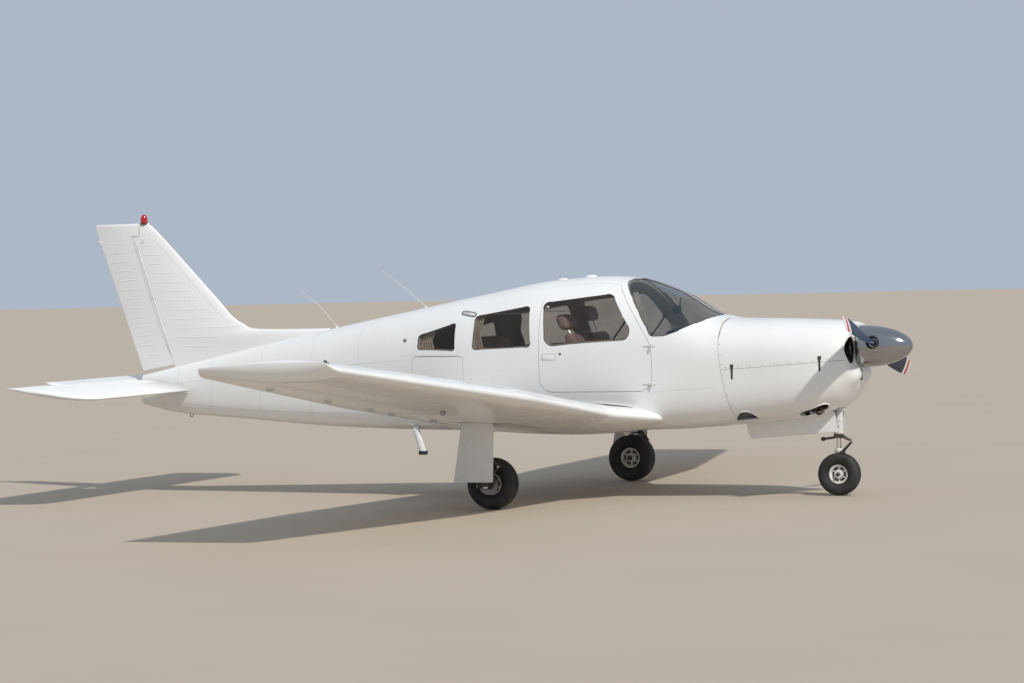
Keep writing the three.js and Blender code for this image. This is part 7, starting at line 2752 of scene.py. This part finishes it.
def addCowlFittings(airParts):
    # exhaust lip and pipes, outlet lips, intake lips, landing light
    for name, way in (("exhaust", -1), ("outlet", 1), ("outlet", -1)):
        points, _, out = slotOutline(name, way, 4, 48)
        spots, _ = onSkin(cowlSkin, points, [out] * len(points))
        if len(spots) == len(points):
            spots = np.vstack([spots, spots[:1]]) + out * 0.5
            airParts.append(sweepPaths("lip", [spots], 7 if name == "exhaust" else 4.5, whitePaint, 12))
    for shift, metal in ((-54, brushedMetal), (26, exhaustBrown)):
        end = skinPoint(cowl["exhaust"][0] + shift, 700, -1)
        start = end + np.array([24, 210, 40.0])
        reach = np.linalg.norm(end - start)
        profile = [(0, 31), (reach, 31), (reach + 3, 29), (reach, 26), (10, 26), (0, 31)]
        addShaded(airParts, turned, "pipe", start, end - start, profile, metal, 32)
    y, z, wide, high = cowl["intake"]
    for way in (1, -1):
        ring = []
        for q in fullTurn(73):
            py, pz = way * y + (wide + 7) * math.cos(q), z + (high + 7) * math.sin(q)
            hit, _ = onSkin(cowlSkin, [(2700, py, pz)], [(1, 0, 0)])
            if len(hit):
                ring.append(hit[0] - np.array([7, 0, 0]))
        airParts.append(sweepPaths("intakeLip", [ring], 9.5, whitePaint, 14))
    spot = onSkin(cowlSkin, [(2700, 0, fittings["lampHeight"])], [(1, 0, 0)])[0][0]
    for profile, paint in (([(-10, 46), (4, 46), (6, 42), (6, 37), (-10, 37), (-10, 46)], darkSteel),
                           ([(-8, 37), (-2, 36), (-1, 10)], chrome),
                           ([(1, 38), (5, 36), (7, 18), (7.5, 2)], clearLens)):
        addShaded(airParts, turned, "lamp", spot, (1, 0, 0), profile, paint, 40)


def mast(name, foot, shape, half):
    # a flat blade standing on its foot; its outline is ahead and up from there
    rings = [[foot + np.array([p, t, q]) for p, q in shape] for t in (-half, half)]
    return shadeByAngle(loft(name, rings, agedWhite))


def addBellyFittings(airParts):
    # tie ring under the tail, two drain masts, and the pitot mast under the left wing
    x = fittings["tailRing"]
    low = bellyPoint(x, 0)[2] - 12
    turns = fullTurn(25)
    ring = [np.array([x + 15 * math.cos(q), 0, low + 15 * math.sin(q)]) for q in turns]
    airParts.append(sweepPaths("tailRing", [ring], 3.6, darkSteel, 8))
    for spot in fittings["drains"]:
        airParts.append(mast("mast", bellyPoint(*spot), [(-60, 6), (40, 6), (10, -52), (-22, -58)], 5))
    spot = wingSkinPoint(*fittings["pitot"], False, 1, 0)[0]
    airParts.append(mast("pitot", spot, [(-46, 8), (40, 8), (30, -92), (-18, -96), (-30, -80)], 8))


def makeBodyFittings():
    airParts = []
    addDoorFittings(airParts)
    addBaggageFittings(airParts)
    addLatches(airParts)
    addVent(airParts)
    addAerials(airParts)
    addCowlFittings(airParts)
    addBellyFittings(airParts)
    dress(joinPieces("bodyFittings", airParts), "airframe", "white_paint")


def makeBoardingStep():
    # a streamlined strut with a black tread
    high, low = (np.array(end, float) for end in fittings["step"])
    turns = fullTurn(25)[:-1]
    rings = []
    for t in np.linspace(0, 1, 6):
        centre = high + (low - high) * t
        rings.append([centre + np.array([31 * math.cos(q), 22 * math.sin(q), 0]) for q in turns])
    parts = [shadeByAngle(loft("strut", rings, whitePaint), 50)]
    tread = roundEdges(blockOf("tread", (-1194, -384, 357), (-1132, -318, 388), walkBlack), 6, 3)
    parts.append(shadeByAngle(tread))
    profile = [(0, 44), (4, 42), (9, 32), (10, 26)]
    foot = turned("stepFoot", (high[0], high[1], 604), (0.29, 0, -1), profile, agedWhite, 28)
    parts.append(shadeByAngle(foot, 40))
    grip = [[(-1187 + 8 * i, -381, 388), (-1187 + 8 * i, -321, 388)] for i in range(7)]
    parts.append(sweepPaths("grip", grip, 1.6, walkBlack, 6))
    dress(joinPieces("boardingStepFine", parts), "airframe", "white_paint", "boarding_step")


makeSeals()
makeSeams()
makeWingDetail()
makeFinDetail()
makeRudderHinges()
makeTailLight()
makeBeacon()
makeTailPlates()
makeBodyFittings()
makeBoardingStep()
print("fittings made")
